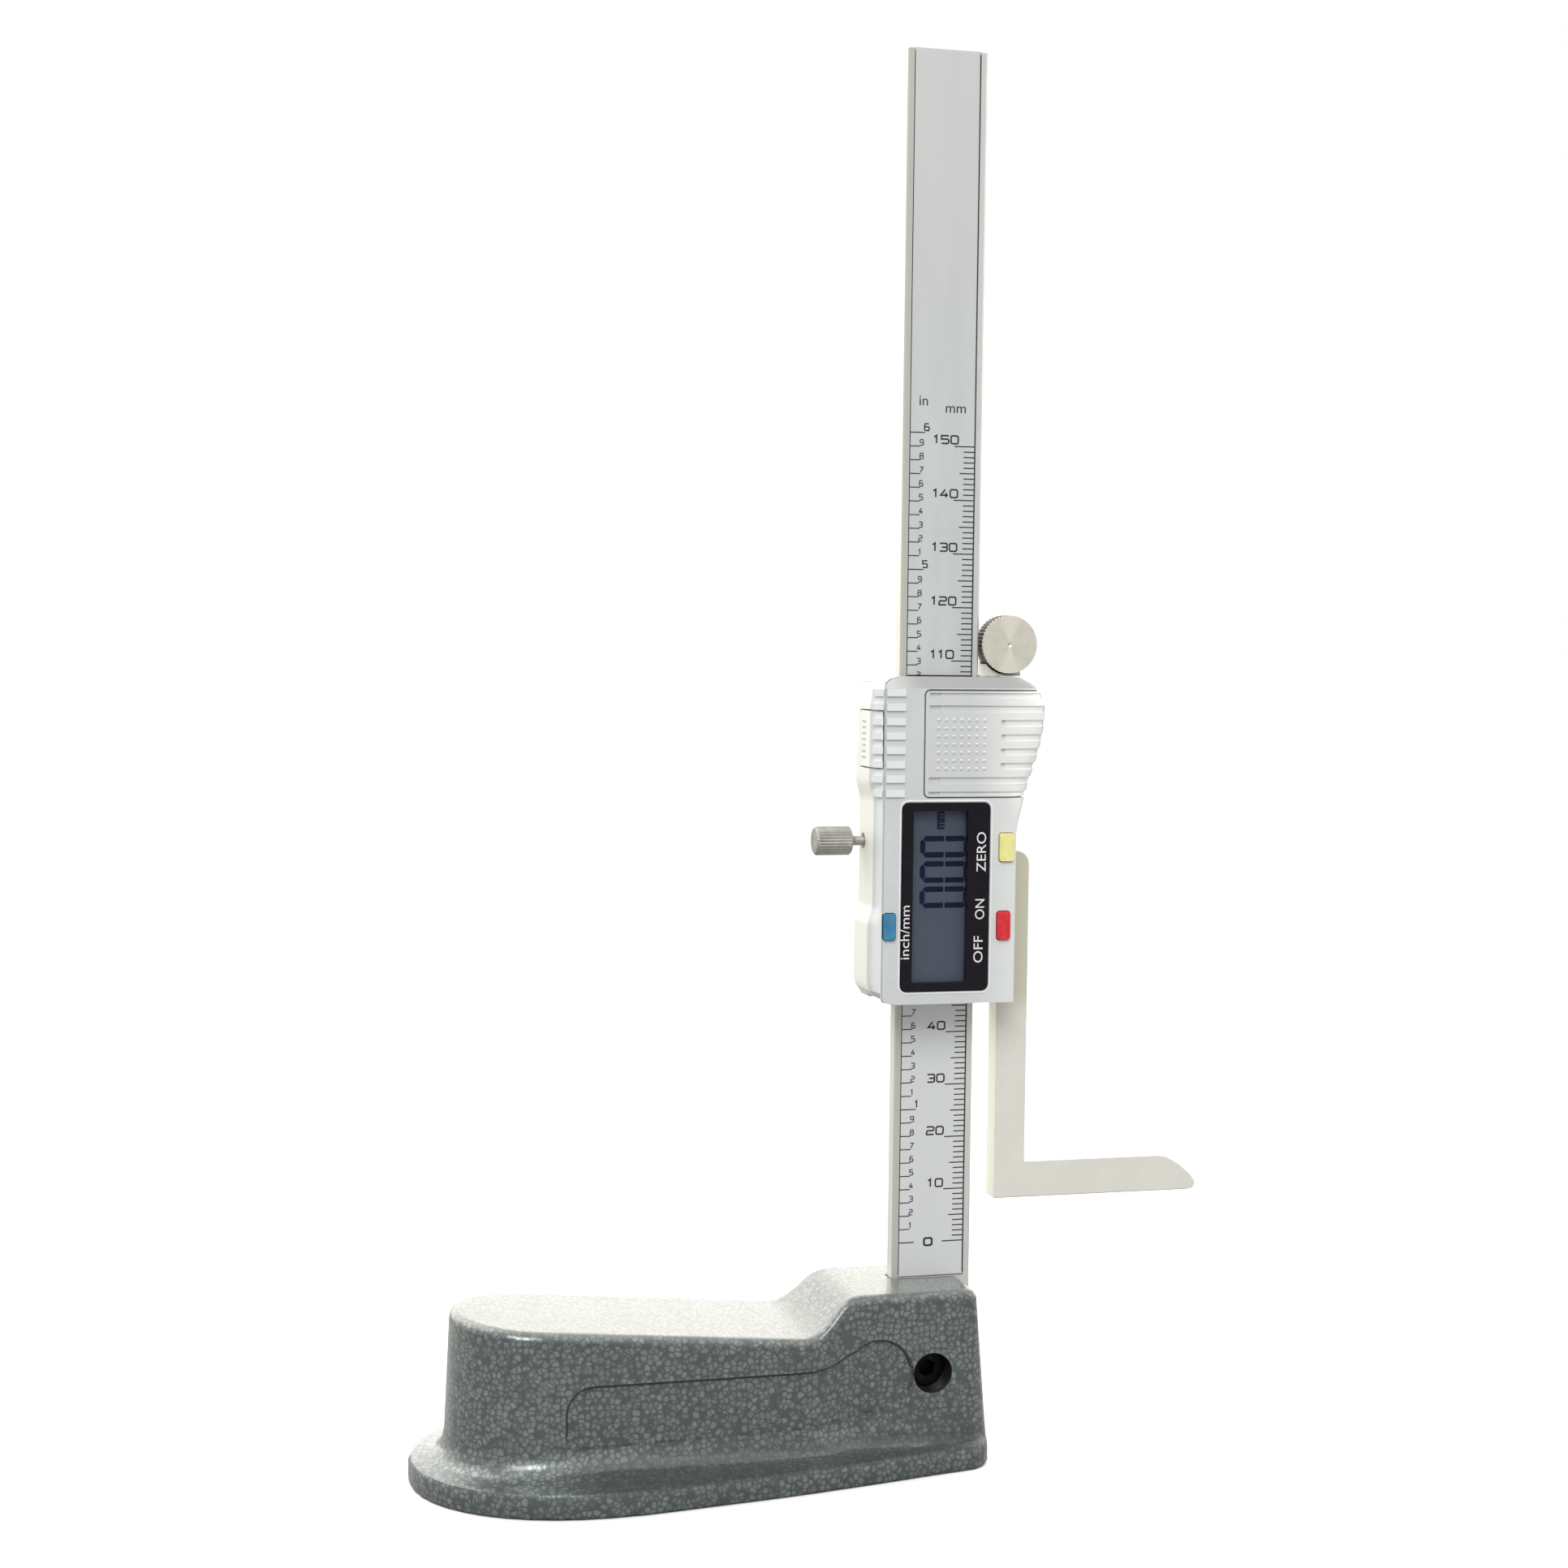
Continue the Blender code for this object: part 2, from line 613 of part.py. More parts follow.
def soften(obj, width, segments=1, angle=40.0):
    """Round the sharp edges of an object."""
    modifier = obj.modifiers.new("edge", 'BEVEL')
    modifier.width = width
    modifier.segments = segments
    modifier.limit_method = 'ANGLE'
    modifier.angle_limit = math.radians(angle)
    modifier.use_clamp_overlap = True
    return bake(obj)


def copy_of(obj, name):
    """Independent copy of an object."""
    return new_object(name, obj.data.copy())


def rounded(x0, x1, z0, z1, radius, steps=4):
    """Outline of a rectangle with round corners."""
    points = []
    for cx, cz, turn in ((x1 - radius, z1 - radius, 0), (x0 + radius, z1 - radius, 1),
                         (x0 + radius, z0 + radius, 2), (x1 - radius, z0 + radius, 3)):
        for step in range(steps + 1):
            angle = math.radians(90.0) * (turn + step / steps)
            points.append((cx + radius * math.cos(angle), cz + radius * math.sin(angle)))
    return points


def blend(a, b, share):
    """Value between two others."""
    return a + (b - a) * share


def smooth(share):
    """Share eased at both ends."""
    share = min(max(share, 0.0), 1.0)
    return share * share * (3 - 2 * share)


def read_table(table, place):
    """Value of a table of pairs at a place."""
    for (x0, y0), (x1, y1) in zip(table, table[1:]):
        if place <= x1:
            return blend(y0, y1, (place - x0) / (x1 - x0))
    return table[-1][1]


# Base casting

def side_stations():
    """Stations along the side of the base, as shares of the way to the beam end."""
    nose_x = BASE_LEFT_X + BODY_END_INSET + BODY_HALF_WIDTH
    run = BASE_END_X - BLOCK_END_INSET - BLOCK_CORNER - nose_x
    shares = {share for share, _ in FLANGE_SIDE_SHARES}
    for along, _ in STEP_SHARES:
        shares.add((blend(STEP_FOOT_X, STEP_HEAD_X, along) - nose_x) / run)
    kept = []
    for share in sorted(shares):
        if not kept or share - kept[-1] > STATION_SPACING_SHARE or share == 1.0:
            kept.append(share)
    return kept


def plan_ring(left_x, right_x, nose_length, side, corner, inset=0.0):
    """Plan of the base at one level, as (x, y) from the nose round to the beam end.

    side gives the half width at each (share of the way, x).
    """
    nose_x = left_x + nose_length
    side_end_x = right_x - corner
    widest = side(0.0, nose_x) - inset
    near = []
    nose_steps = 11
    for step in range(nose_steps):
        angle = math.radians(90.0) * step / nose_steps
        reach = abs(math.cos(angle)) ** NOSE_POWER
        rise = abs(math.sin(angle)) ** NOSE_POWER
        near.append((nose_x - (nose_length - inset) * reach, widest * rise))
    for share in side_stations():
        x = blend(nose_x, side_end_x, share)
        near.append((x, side(share, x) - inset))
    corner_steps = 4
    last = side(1.0, side_end_x)
    for step in range(1, corner_steps + 1):
        angle = math.radians(90.0) * step / corner_steps
        near.append((side_end_x + (corner - inset) * math.sin(angle),
                     last - corner + (corner - inset) * math.cos(angle)))
    ring = [(x, -y) for x, y in near]
    ring.extend((x, y) for x, y in reversed(near[1:]))
    return ring


def flange_side(share, x):
    """Half width of the flange along its side."""
    return FLANGE_HALF_WIDTH * read_table(FLANGE_SIDE_SHARES, share)


def flange_ring(inset=0.0, end_inset=0.0):
    """Plan of the flange, drawn in by an inset that can differ at the beam end."""
    return plan_ring(BASE_LEFT_X, BASE_END_X + inset - end_inset, FLANGE_NOSE_LENGTH, flange_side,
                     FLANGE_CORNER, inset)


def body_side(share, x):
    """Half width of the upright walls along their side."""
    narrow = smooth((x - NARROW_FROM_X) / (NARROW_TO_X - NARROW_FROM_X))
    return blend(BODY_HALF_WIDTH, BLOCK_HALF_WIDTH, narrow)


def wall_ring(z, inset=0.0):
    """Plan of the upright walls at a level, wider towards the foot."""
    depth = BLOCK_HEIGHT - z
    right_x = BASE_END_X - BLOCK_END_INSET + (END_DRAFT - WALL_DRAFT) * depth
    return plan_ring(BASE_LEFT_X + BODY_END_INSET, right_x, BODY_HALF_WIDTH, body_side,
                     BLOCK_CORNER, inset - WALL_DRAFT * depth)


def at_level(ring, z):
    """Plan ring lifted to a level."""
    return [(x, y, z) for x, y in ring]


def between(outer, inner, share):
    """Ring that lies a share of the way out from one ring to another."""
    return [(blend(b[0], a[0], share), blend(b[1], a[1], share)) for a, b in zip(outer, inner)]


def panel_outline():
    """Outline of the sunk panel on the side of the base."""
    points = []
    steps = 5
    for step in range(steps + 1):
        angle = math.radians(90.0) * (1 + step / steps)
        points.append((PANEL_LEFT_X + PANEL_LEFT_ROUND * (1 + math.cos(angle)),
                       PANEL_HIGH_Z - PANEL_LEFT_ROUND * (1 - math.sin(angle))))
    small = PANEL_LEFT_ROUND / 2
    for step in range(steps + 1):
        angle = math.radians(90.0) * (2 + step / steps)
        points.append((PANEL_LEFT_X + small * (1 + math.cos(angle)),
                       PANEL_LOW_Z + small * (1 + math.sin(angle))))
    start = 280.0
    stop = 490.0
    bulb_steps = 14
    points.append((PANEL_BULB_X - 2 * PANEL_BULB_RADIUS, PANEL_LOW_Z + PANEL_DEPTH))
    for step in range(bulb_steps + 1):
        angle = math.radians(blend(start, stop, step / bulb_steps))
        points.append((PANEL_BULB_X + PANEL_BULB_RADIUS * math.cos(angle),
                       PANEL_BULB_Z + PANEL_BULB_RADIUS * math.sin(angle)))
    neck_x = PANEL_BULB_X - 1.5 * PANEL_BULB_RADIUS
    points.append((neck_x, PANEL_HIGH_Z + PANEL_DEPTH / 2))
    points.append((neck_x - PANEL_BULB_RADIUS / 2, PANEL_HIGH_Z))
    return points


def top_z(x):
    """Height of the top of the base at a place along it."""
    if x <= STEP_FOOT_X:
        share = (x - BASE_LEFT_X) / (STEP_FOOT_X - BASE_LEFT_X)
        return blend(BODY_HEIGHT_AT_END, BODY_HEIGHT_AT_STEP, share)
    share = min((x - STEP_FOOT_X) / (STEP_HEAD_X - STEP_FOOT_X), 1.0)
    return blend(BODY_HEIGHT_AT_STEP, BLOCK_HEIGHT, read_table(STEP_SHARES, share))


def top_ring(inset, drop):
    """Ring on the rounded top edge, which follows the slope and the step."""
    ring = []
    count = len(wall_ring(BLOCK_HEIGHT))
    for index in range(count):
        x, y = wall_ring(BLOCK_HEIGHT, inset)[index]
        z = top_z(x) - drop
        x, y = wall_ring(z, inset)[index]
        ring.append((x, y, z))
    return ring


def base_form(rings):
    """Skin of the base, with its top closed by faces that run across it."""
    mesh = bpy.data.meshes.new("base_casting")
    bm = bmesh.new()
    rows = [[bm.verts.new(point) for point in ring] for ring in rings]
    count = len(rows[0])
    for low, high in zip(rows, rows[1:]):
        for i in range(count):
            j = (i + 1) % count
            bm.faces.new((low[i], low[j], high[j], high[i]))
    bm.faces.new(rows[0])
    top = rows[-1]
    bm.faces.new((top[0], top[1], top[count - 1]))
    for i in range(1, count // 2):
        bm.faces.new((top[i], top[i + 1], top[count - i - 1], top[count - i]))
    bmesh.ops.recalc_face_normals(bm, faces=bm.faces)
    bm.to_mesh(mesh)
    bm.free()
    return new_object("base_casting", mesh)


def build_base(material):
    """Cast base with its flange, sunk side panels, beam slot and clamp hole."""
    flange = flange_ring()
    lip = flange_ring(RIM_EDGE, RIM_EDGE / 8)
    rings = [
        at_level(flange_ring(SOLE_EDGE, SOLE_EDGE), 0.0),
        at_level(flange_ring(SOLE_EDGE / 4, SOLE_EDGE / 4), SOLE_EDGE / 3),
        at_level(flange, SOLE_EDGE),
        at_level(flange, SOLE_TO_RIM_TOP - RIM_EDGE),
        at_level(flange_ring(RIM_EDGE / 3, RIM_EDGE / 16), SOLE_TO_RIM_TOP - RIM_EDGE / 4),
        at_level(lip, SOLE_TO_RIM_TOP),
    ]
    for out, up in COVE_SHARES:
        z = SOLE_TO_RIM_TOP + COVE_HEIGHT * up
        rings.append(at_level(between(lip, wall_ring(z), out), z))
    for share, rise in ROUND_SHARES:
        rings.append(top_ring(TOP_EDGE_ROUND * share, TOP_EDGE_ROUND * (1 - rise)))
    base = base_form(rings)

    reach = 2 * FLANGE_HALF_WIDTH
    high = BLOCK_HEIGHT + OVERRUN
    core = loft("panel_core", [at_level(wall_ring(-OVERRUN, PANEL_DEPTH), -OVERRUN),
                               at_level(wall_ring(high, PANEL_DEPTH), high)])
    panel = plate("panel_cut", panel_outline(), -reach, reach)
    cut(panel, core)
    cut(base, panel)

    slot = box("slot_cut", -BEAM_HALF - SEAT_GAP, BASE_END_X + OVERRUN, BEAM_FRONT_Y - SEAT_GAP,
               BEAM_BACK_Y + SEAT_GAP, BEAM_FOOT_Z - SEAT_GAP, high)
    cut(base, slot)
    hole = rod("clamp_cut", "Y", -reach, BEAM_FRONT_Y, (CLAMP_HOLE_X, CLAMP_HOLE_Z),
               CLAMP_HOLE_RADIUS, ROUND_SIDES)
    cut(base, hole)
    relief = plate("relief_cut", rounded(RELIEF_LEFT_X, RELIEF_RIGHT_X, -RELIEF_HALF_WIDTH,
                                         RELIEF_HALF_WIDTH, RELIEF_CORNER),
                   -OVERRUN, RELIEF_DEPTH, "Z")
    cut(base, relief)
    return finish(base, material, 30.0)


def build_clamp_screw(material):
    """Socket set screw that presses the beam against the back of its slot."""
    tip_y = BEAM_FRONT_Y - SEAT_GAP
    head_y = tip_y - CLAMP_SCREW_LENGTH
    radius = CLAMP_HOLE_RADIUS - SEAT_GAP
    profile = [(0.0, tip_y), (CLAMP_TIP_RADIUS, tip_y), (radius, tip_y - CLAMP_TIP_LENGTH),
               (radius, head_y + SEAT_GAP), (radius - SEAT_GAP, head_y), (0.0, head_y)]
    screw = turned("base_clamp_screw", "Y", (CLAMP_HOLE_X, CLAMP_HOLE_Z), profile)
    socket = rod("socket_cut", "Y", head_y - OVERRUN, head_y + CLAMP_SOCKET_DEPTH,
                 (CLAMP_HOLE_X, CLAMP_HOLE_Z), CLAMP_SOCKET_RADIUS, 6)
    cut(screw, socket)
    return finish(screw, material)


# Beam

def build_beam(material):
    """Steel beam with a sunk bed for the scale."""
    beam = box("beam", -BEAM_HALF, BEAM_HALF, BEAM_FRONT_Y, BEAM_BACK_Y, BEAM_FOOT_Z, BEAM_TOP_Z)
    soften(beam, BEAM_EDGE, 1)
    bed_half = SCALE_WIDTH / 2 + SCALE_MARGIN
    bed = box("bed_cut", -bed_half, bed_half, BEAM_FRONT_Y - OVERRUN, SCALE_THICKNESS + SCALE_BED,
              BLOCK_HEIGHT, BEAM_TOP_Z + OVERRUN)
    cut(beam, bed)
    return finish(beam, material)


def build_scale(material):
    """Graduated strip laid in the bed of the beam."""
    strip = box("scale_strip", -SCALE_WIDTH / 2, SCALE_WIDTH / 2, 0.0, SCALE_THICKNESS,
                BLOCK_HEIGHT + SEAT_GAP, BEAM_TOP_Z - BEAM_EDGE)
    return finish(strip, material)


# Slider housing

def waist_share(z):
    """How far the left side is drawn in to the waist at a height."""
    low = smooth((z - WAIST_LOW_Z) / WAIST_RUN + 1)
    high = smooth((z - WAIST_HIGH_Z) / WAIST_RUN + 1)
    return low - high


def side_x(z):
    """Left face of the housing at a height, with its waist and round corners."""
    side = SIDE_LOW_X if z < WAIST_LOW_Z else SIDE_X
    x = blend(side, WAIST_X, waist_share(z))
    head = (z - (HOUSING_HIGH_Z - TOP_CORNER)) / TOP_CORNER
    if head > 0:
        x = x + TOP_CORNER * (1 - math.sqrt(max(1 - head * head, 0.0)))
    foot = (HOUSING_LOW_Z + FOOT_CORNER_HEIGHT - z) / FOOT_CORNER_HEIGHT
    if foot > 0:
        x = x + FOOT_CORNER_WIDTH * (1 - math.sqrt(max(1 - foot * foot, 0.0)))
    return x


def grip_share(z):
    """How far the right side has grown into the finger grip."""
    return smooth((z - GRIP_LOW_Z) / (HOUSING_HIGH_Z - GRIP_LOW_Z) / 0.3)


def housing_ring(z, inset=0.0, groove=False):
    """Section of the housing at a height, from its back left corner round the front."""
    left = side_x(z) + inset
    edge_y = blend(SIDE_EDGE_Y, WAIST_EDGE_Y, waist_share(z)) + inset / 2
    top = max(z - (HOUSING_HIGH_Z - TOP_BEVEL_HEIGHT), 0.0) / TOP_BEVEL_HEIGHT
    front = HOUSING_FRONT_Y + TOP_BEVEL_DEPTH * top + inset
    seam = max(HOUSING_SEAM_X, left + RIGHT_ROUND) + inset / 2
    place = max(z - GRIP_LOW_Z, 0.0) / (HOUSING_HIGH_Z - GRIP_LOW_Z)
    grown = grip_share(z)
    right = RIGHT_X + GRIP_REACH * read_table(GRIP_SHARES, place) - inset
    flat = blend(right - RIGHT_ROUND, GRIP_FLAT_X, grown)
    turn_y = blend(HOUSING_FRONT_Y + RIGHT_ROUND, GRIP_TURN_Y, grown) + TOP_BEVEL_DEPTH * top
    turn_y = max(turn_y, front)
    back_right = blend(RIGHT_BACK_Y, GRIP_BACK_Y, grown)
    ring = [(left, HOUSING_BACK_Y), (left, edge_y)]
    mid_x = (left + seam) / 2 - (seam - left) / 8
    mid_y = (edge_y + front) / 2 - (edge_y - front) / 8
    ring.append((mid_x, mid_y))
    if groove:
        deep = front + SEAM_DEPTH
        near = seam - SEAM_WIDTH / 2
        far = seam + SEAM_WIDTH / 2
        ring.append((near, front + SEAM_WIDTH / 4))
        ring.append((near, deep))
        ring.append((far, deep))
        ring.append((far, front))
    else:
        ring.append((seam, front))
    steps = 6
    for step in range(steps + 1):
        angle = math.radians(90.0) * step / steps
        ring.append((flat + (right - flat) * math.sin(angle),
                     turn_y - (turn_y - front) * math.cos(angle)))
    ring.append((right, blend(turn_y, back_right, 0.75)))
    ring.append((blend(right, flat, 0.12), back_right))
    return [(x, y, z) for x, y in ring]


def housing_levels():
    """Heights of the sections, closer where the form turns."""
    levels = {HOUSING_LOW_Z, HOUSING_HIGH_Z}
    for share in (0.04, 0.13, 0.3, 0.6, 1.0):
        levels.add(HOUSING_LOW_Z + FOOT_CORNER_HEIGHT * share)
    for share in (0.0, 0.25, 0.5, 0.75, 1.0):
        levels.add(WAIST_LOW_Z - WAIST_RUN * share)
        levels.add(WAIST_HIGH_Z - WAIST_RUN * share)
    for share, _ in GRIP_SHARES:
        levels.add(blend(GRIP_LOW_Z, HOUSING_HIGH_Z, share))
    levels.add(HOUSING_HIGH_Z - TOP_BEVEL_HEIGHT)
    levels.add(HOUSING_HIGH_Z - TOP_BEVEL_HEIGHT / 2)
    levels.add(HOUSING_HIGH_Z - TOP_BEVEL_HEIGHT / 5)
    levels = sorted(levels)
    kept = [levels[0]]
    for level in levels[1:-1]:
        if level - kept[-1] > HOUSING_LOW_Z / 400 and levels[-1] - level > HOUSING_LOW_Z / 800:
            kept.append(level)
    kept.append(levels[-1])
    return kept


def housing_form(name, inset=0.0, groove=False):
    """Outer form of the housing, or the same form drawn in by an inset."""
    return loft(name, [housing_ring(z, inset, groove) for z in housing_levels()])


def rib_band(index):
    """Lower and upper edge of one grip rib."""
    middle = RIB_TOP_Z - RIB_PITCH * index
    return middle - RIB_HEIGHT / 2, middle + RIB_HEIGHT / 2


def rib_edge(low, high):
    """Part of a grip rib that lies on the slanted left edge."""
    ring = housing_ring((low + high) / 2)
    seam = ring[3]
    corner = ring[1]
    x0 = blend(seam[0], corner[0], RIB_SIDE_SHARE)
    y0 = blend(seam[1], corner[1], RIB_SIDE_SHARE)
    start_x = HOUSING_SEAM_X - 1.5 * SEAM_WIDTH
    outline = [(start_x, seam[1] - RIB_RISE), (start_x, seam[1] + 2 * RIB_RISE),
               (x0 + 2 * RIB_RISE, y0), (x0 - 2 * RIB_RISE, y0),
               (ring[2][0] - RIB_RISE, ring[2][1] - RIB_RISE)]
    return plate("rib_edge", outline, low, high, "Z")


def add_ribs(form):
    """Raise the grip ribs from the front and the edge of the housing."""
    front_left = HOUSING_SEAM_X + SEAM_WIDTH
    for index in range(RIB_COUNT):
        low, high = rib_band(index)
        rib = box("rib", front_left, front_left + RIB_FRONT_LENGTH, HOUSING_FRONT_Y - RIB_RISE,
                  HOUSING_FRONT_Y + RIB_RISE, low, high)
        join(form, rib, rib_edge(low, high))
    return form


def add_flutes(lid):
    """Cut the row of finger flutes into the battery cover."""
    for index in range(FLUTE_COUNT):
        middle = FLUTE_TOP_Z - FLUTE_PITCH * index
        low = max(middle - FLUTE_HEIGHT / 2, LID_LOW_Z + LID_GAP + FLUTE_RIM)
        high = min(middle + FLUTE_HEIGHT / 2, LID_HIGH_Z - LID_GAP - FLUTE_RIM)
        left, mouth_width, mouth_depth = SHORT_FLUTE_LEFT_X, SHORT_MOUTH_WIDTH, SHORT_MOUTH_DEPTH
        if index < LONG_FLUTE_COUNT or index >= FLUTE_COUNT - LONG_FLUTE_COUNT:
            left, mouth_width, mouth_depth = LONG_FLUTE_LEFT_X, LONG_MOUTH_WIDTH, LONG_MOUTH_DEPTH
        flute = box("flute", left, RIGHT_X + GRIP_REACH + OVERRUN,
                    HOUSING_FRONT_Y - OVERRUN, LID_BACK_Y - SEAM_WIDTH, low, high)
        cut(flute, housing_form("flute_core", FLUTE_DEPTH))
        mouth = box("mouth", left, left + mouth_width,
                    HOUSING_FRONT_Y - OVERRUN, HOUSING_FRONT_Y + mouth_depth, low, high)
        cut(lid, flute, mouth)


def build_housing(material):
    """Housing shell, and the two covers that are split from the same form."""
    form = housing_form("housing_shell", groove=True)
    add_ribs(form)
    lid = copy_of(form, "battery_cover")
    port = copy_of(form, "port_cover")

    # the covers
    lid_outline = rounded(LID_LEFT_X + LID_GAP, RIGHT_X + GRIP_REACH + OVERRUN,
                          LID_LOW_Z + LID_GAP, LID_HIGH_Z - LID_GAP, LID_CORNER - LID_GAP)
    combine(lid, plate("lid_room", lid_outline, HOUSING_FRONT_Y - OVERRUN, LID_BACK_Y - LID_GAP),
            'INTERSECT')
    cut(lid, housing_form("lid_inside", LID_THICKNESS))
    add_flutes(lid)

    port_room = box("port_room", SIDE_X - OVERRUN, HOUSING_SEAM_X - SEAM_WIDTH,
                    HOUSING_FRONT_Y - OVERRUN, PORT_BACK_Y - LID_GAP,
                    PORT_LOW_Z + LID_GAP, PORT_HIGH_Z - LID_GAP)
    combine(port, port_room, 'INTERSECT')
    cut(port, housing_form("port_inside", PORT_THICKNESS))

    # room for the covers
    bed_outline = rounded(LID_LEFT_X, RIGHT_X + GRIP_REACH + OVERRUN, LID_LOW_Z, LID_HIGH_Z,
                          LID_CORNER)
    lid_bed = plate("lid_bed", bed_outline, HOUSING_FRONT_Y - OVERRUN, LID_BACK_Y)
    cut(lid_bed, housing_form("lid_core", LID_THICKNESS + SEAT_GAP))
    port_bed = box("port_bed", SIDE_X - OVERRUN, HOUSING_SEAM_X,
                   HOUSING_FRONT_Y - OVERRUN, PORT_BACK_Y, PORT_LOW_Z, PORT_HIGH_Z)
    cut(port_bed, housing_form("port_core", PORT_THICKNESS + SEAT_GAP))
    cut(form, lid_bed, port_bed)

    # room for the frame, open at the back, the top and the foot
    frame_room = box("frame_room", FRAME_LEFT_X - SEAT_GAP, FRAME_RIGHT_X + SEAT_GAP,
                     FRAME_FRONT_Y - SEAT_GAP, HOUSING_BACK_Y + OVERRUN,
                     HOUSING_LOW_Z - OVERRUN, HOUSING_HIGH_Z + OVERRUN)
    # room for the board and the read-out
    inner = box("inner_room", FRAME_LEFT_X + HOUSING_SIDE_WALL, FRAME_RIGHT_X - SEAT_GAP,
                INNER_FRONT_Y, FRAME_FRONT_Y, HOUSING_LOW_Z + HOUSING_END_WALL,
                HOUSING_HIGH_Z - HOUSING_END_WALL)
    for x in (SCREW_LEFT_X, SCREW_RIGHT_X):
        for z in (SCREW_LOW_Z, SCREW_HIGH_Z):
            cut(inner, rod("boss_cut", "Y", INNER_FRONT_Y - MM, FRAME_FRONT_Y - SEAT_GAP, (x, z),
                           BOSS_RADIUS))
    cut(form, frame_room, inner)
    for x in (SCREW_LEFT_X, SCREW_RIGHT_X):
        for z in (SCREW_LOW_Z, SCREW_HIGH_Z):
            cut(form, rod("pilot_cut", "Y", SCREW_REACH_Y - SEAT_GAP, FRAME_BACK_Y, (x, z),
                          SCREW_HOLE_RADIUS))

    # display opening with its ledge
    bezel_right = BEZEL_LEFT_X + BEZEL_WIDTH
    bezel_high = BEZEL_LOW_Z + BEZEL_HEIGHT
    bezel_back = HOUSING_FRONT_Y - BEZEL_RISE + BEZEL_THICKNESS + SLIP_GAP
    cut(form, plate("bezel_cut", rounded(BEZEL_LEFT_X - SLIP_GAP, bezel_right + SLIP_GAP,
                                         BEZEL_LOW_Z - SLIP_GAP, bezel_high + SLIP_GAP,
                                         BEZEL_ROUND + SLIP_GAP),
                    HOUSING_FRONT_Y - OVERRUN, bezel_back))
    cut(form, box("lcd_cut", BEZEL_LEFT_X + BEZEL_LEDGE, bezel_right - BEZEL_LEDGE,
                  HOUSING_FRONT_Y, BOARD_FRONT_Y, BEZEL_LOW_Z + BEZEL_LEDGE,
                  bezel_high - BEZEL_LEDGE))
    # button openings
    for x, z, width, height in (BUTTON_ZERO, BUTTON_POWER, BUTTON_UNIT):
        half_width = width / 2 + SLIP_GAP
        half_height = height / 2 + SLIP_GAP
        cut(form, plate("button_cut", rounded(x - half_width, x + half_width, z - half_height,
                                              z + half_height, BUTTON_ROUND + SLIP_GAP, 3),
                        HOUSING_FRONT_Y - OVERRUN, INNER_FRONT_Y + SEAT_GAP))
        half_width = half_width + BUTTON_FLANGE_SIDE
        half_height = half_height + BUTTON_FLANGE
        cut(form, box("flange_cut", x - half_width, x + half_width, INNER_FRONT_Y - SEAT_GAP,
                      BOARD_FRONT_Y, z - half_height, z + half_height))
    # battery hole, lock screw hole
    cut(form, rod("battery_cut", "Y", HOUSING_FRONT_Y, BOARD_FRONT_Y, (BATTERY_X, BATTERY_Z),
                  BATTERY_RADIUS + SEAT_GAP, ROUND_SIDES))
    cut(form, rod("lock_cut", "X", SIDE_X - OVERRUN, FRAME_LEFT_X, (SIDE_SCREW_Y, LOCK_Z),
                  LOCK_HOLE_RADIUS))
    finish(form, material, 30.0)
    finish(lid, material, 30.0)
    finish(port, material, 30.0)
    return form


# Display, buttons and electronics

def build_display(black, clear, screen, rubber):
    """Bezel, clear window, liquid crystal panel and its rubber connectors."""
    right = BEZEL_LEFT_X + BEZEL_WIDTH
    high = BEZEL_LOW_Z + BEZEL_HEIGHT
    front = HOUSING_FRONT_Y - BEZEL_RISE
    back = front + BEZEL_THICKNESS
    bezel = plate("bezel", rounded(BEZEL_LEFT_X, right, BEZEL_LOW_Z, high, BEZEL_ROUND), front, back)
    window_right = WINDOW_LEFT_X + WINDOW_WIDTH
    window_high = WINDOW_LOW_Z + WINDOW_HEIGHT
    cut(bezel, box("window_cut", WINDOW_LEFT_X, window_right, front - OVERRUN, back + OVERRUN,
                   WINDOW_LOW_Z, window_high))
    finish(bezel, black)
    window = box("display_window", WINDOW_LEFT_X + SLIP_GAP, window_right - SLIP_GAP,
                 front + WINDOW_SINK, front + WINDOW_SINK + WINDOW_THICKNESS,
                 WINDOW_LOW_Z + SLIP_GAP, window_high - SLIP_GAP)
    finish(window, clear)
    lcd_front = back + SEAT_GAP
    lcd_left = BEZEL_LEFT_X + BEZEL_LEDGE + SEAT_GAP
    lcd_right = right - BEZEL_LEDGE - SEAT_GAP
    lcd = box("lcd_panel", lcd_left, lcd_right, lcd_front, lcd_front + LCD_THICKNESS,
              BEZEL_LOW_Z + BEZEL_LEDGE + SEAT_GAP, high - BEZEL_LEDGE - SEAT_GAP)
    finish(lcd, screen)
    zebra_front = lcd_front + LCD_THICKNESS + SEAT_GAP
    zebra_back = BOARD_FRONT_Y - SEAT_GAP
    for name, x0 in (("zebra_left", lcd_left), ("zebra_right", lcd_right - ZEBRA_WIDTH)):
        zebra = box(name, x0, x0 + ZEBRA_WIDTH, zebra_front, zebra_back,
                    WINDOW_LOW_Z, window_high)
        finish(zebra, rubber)


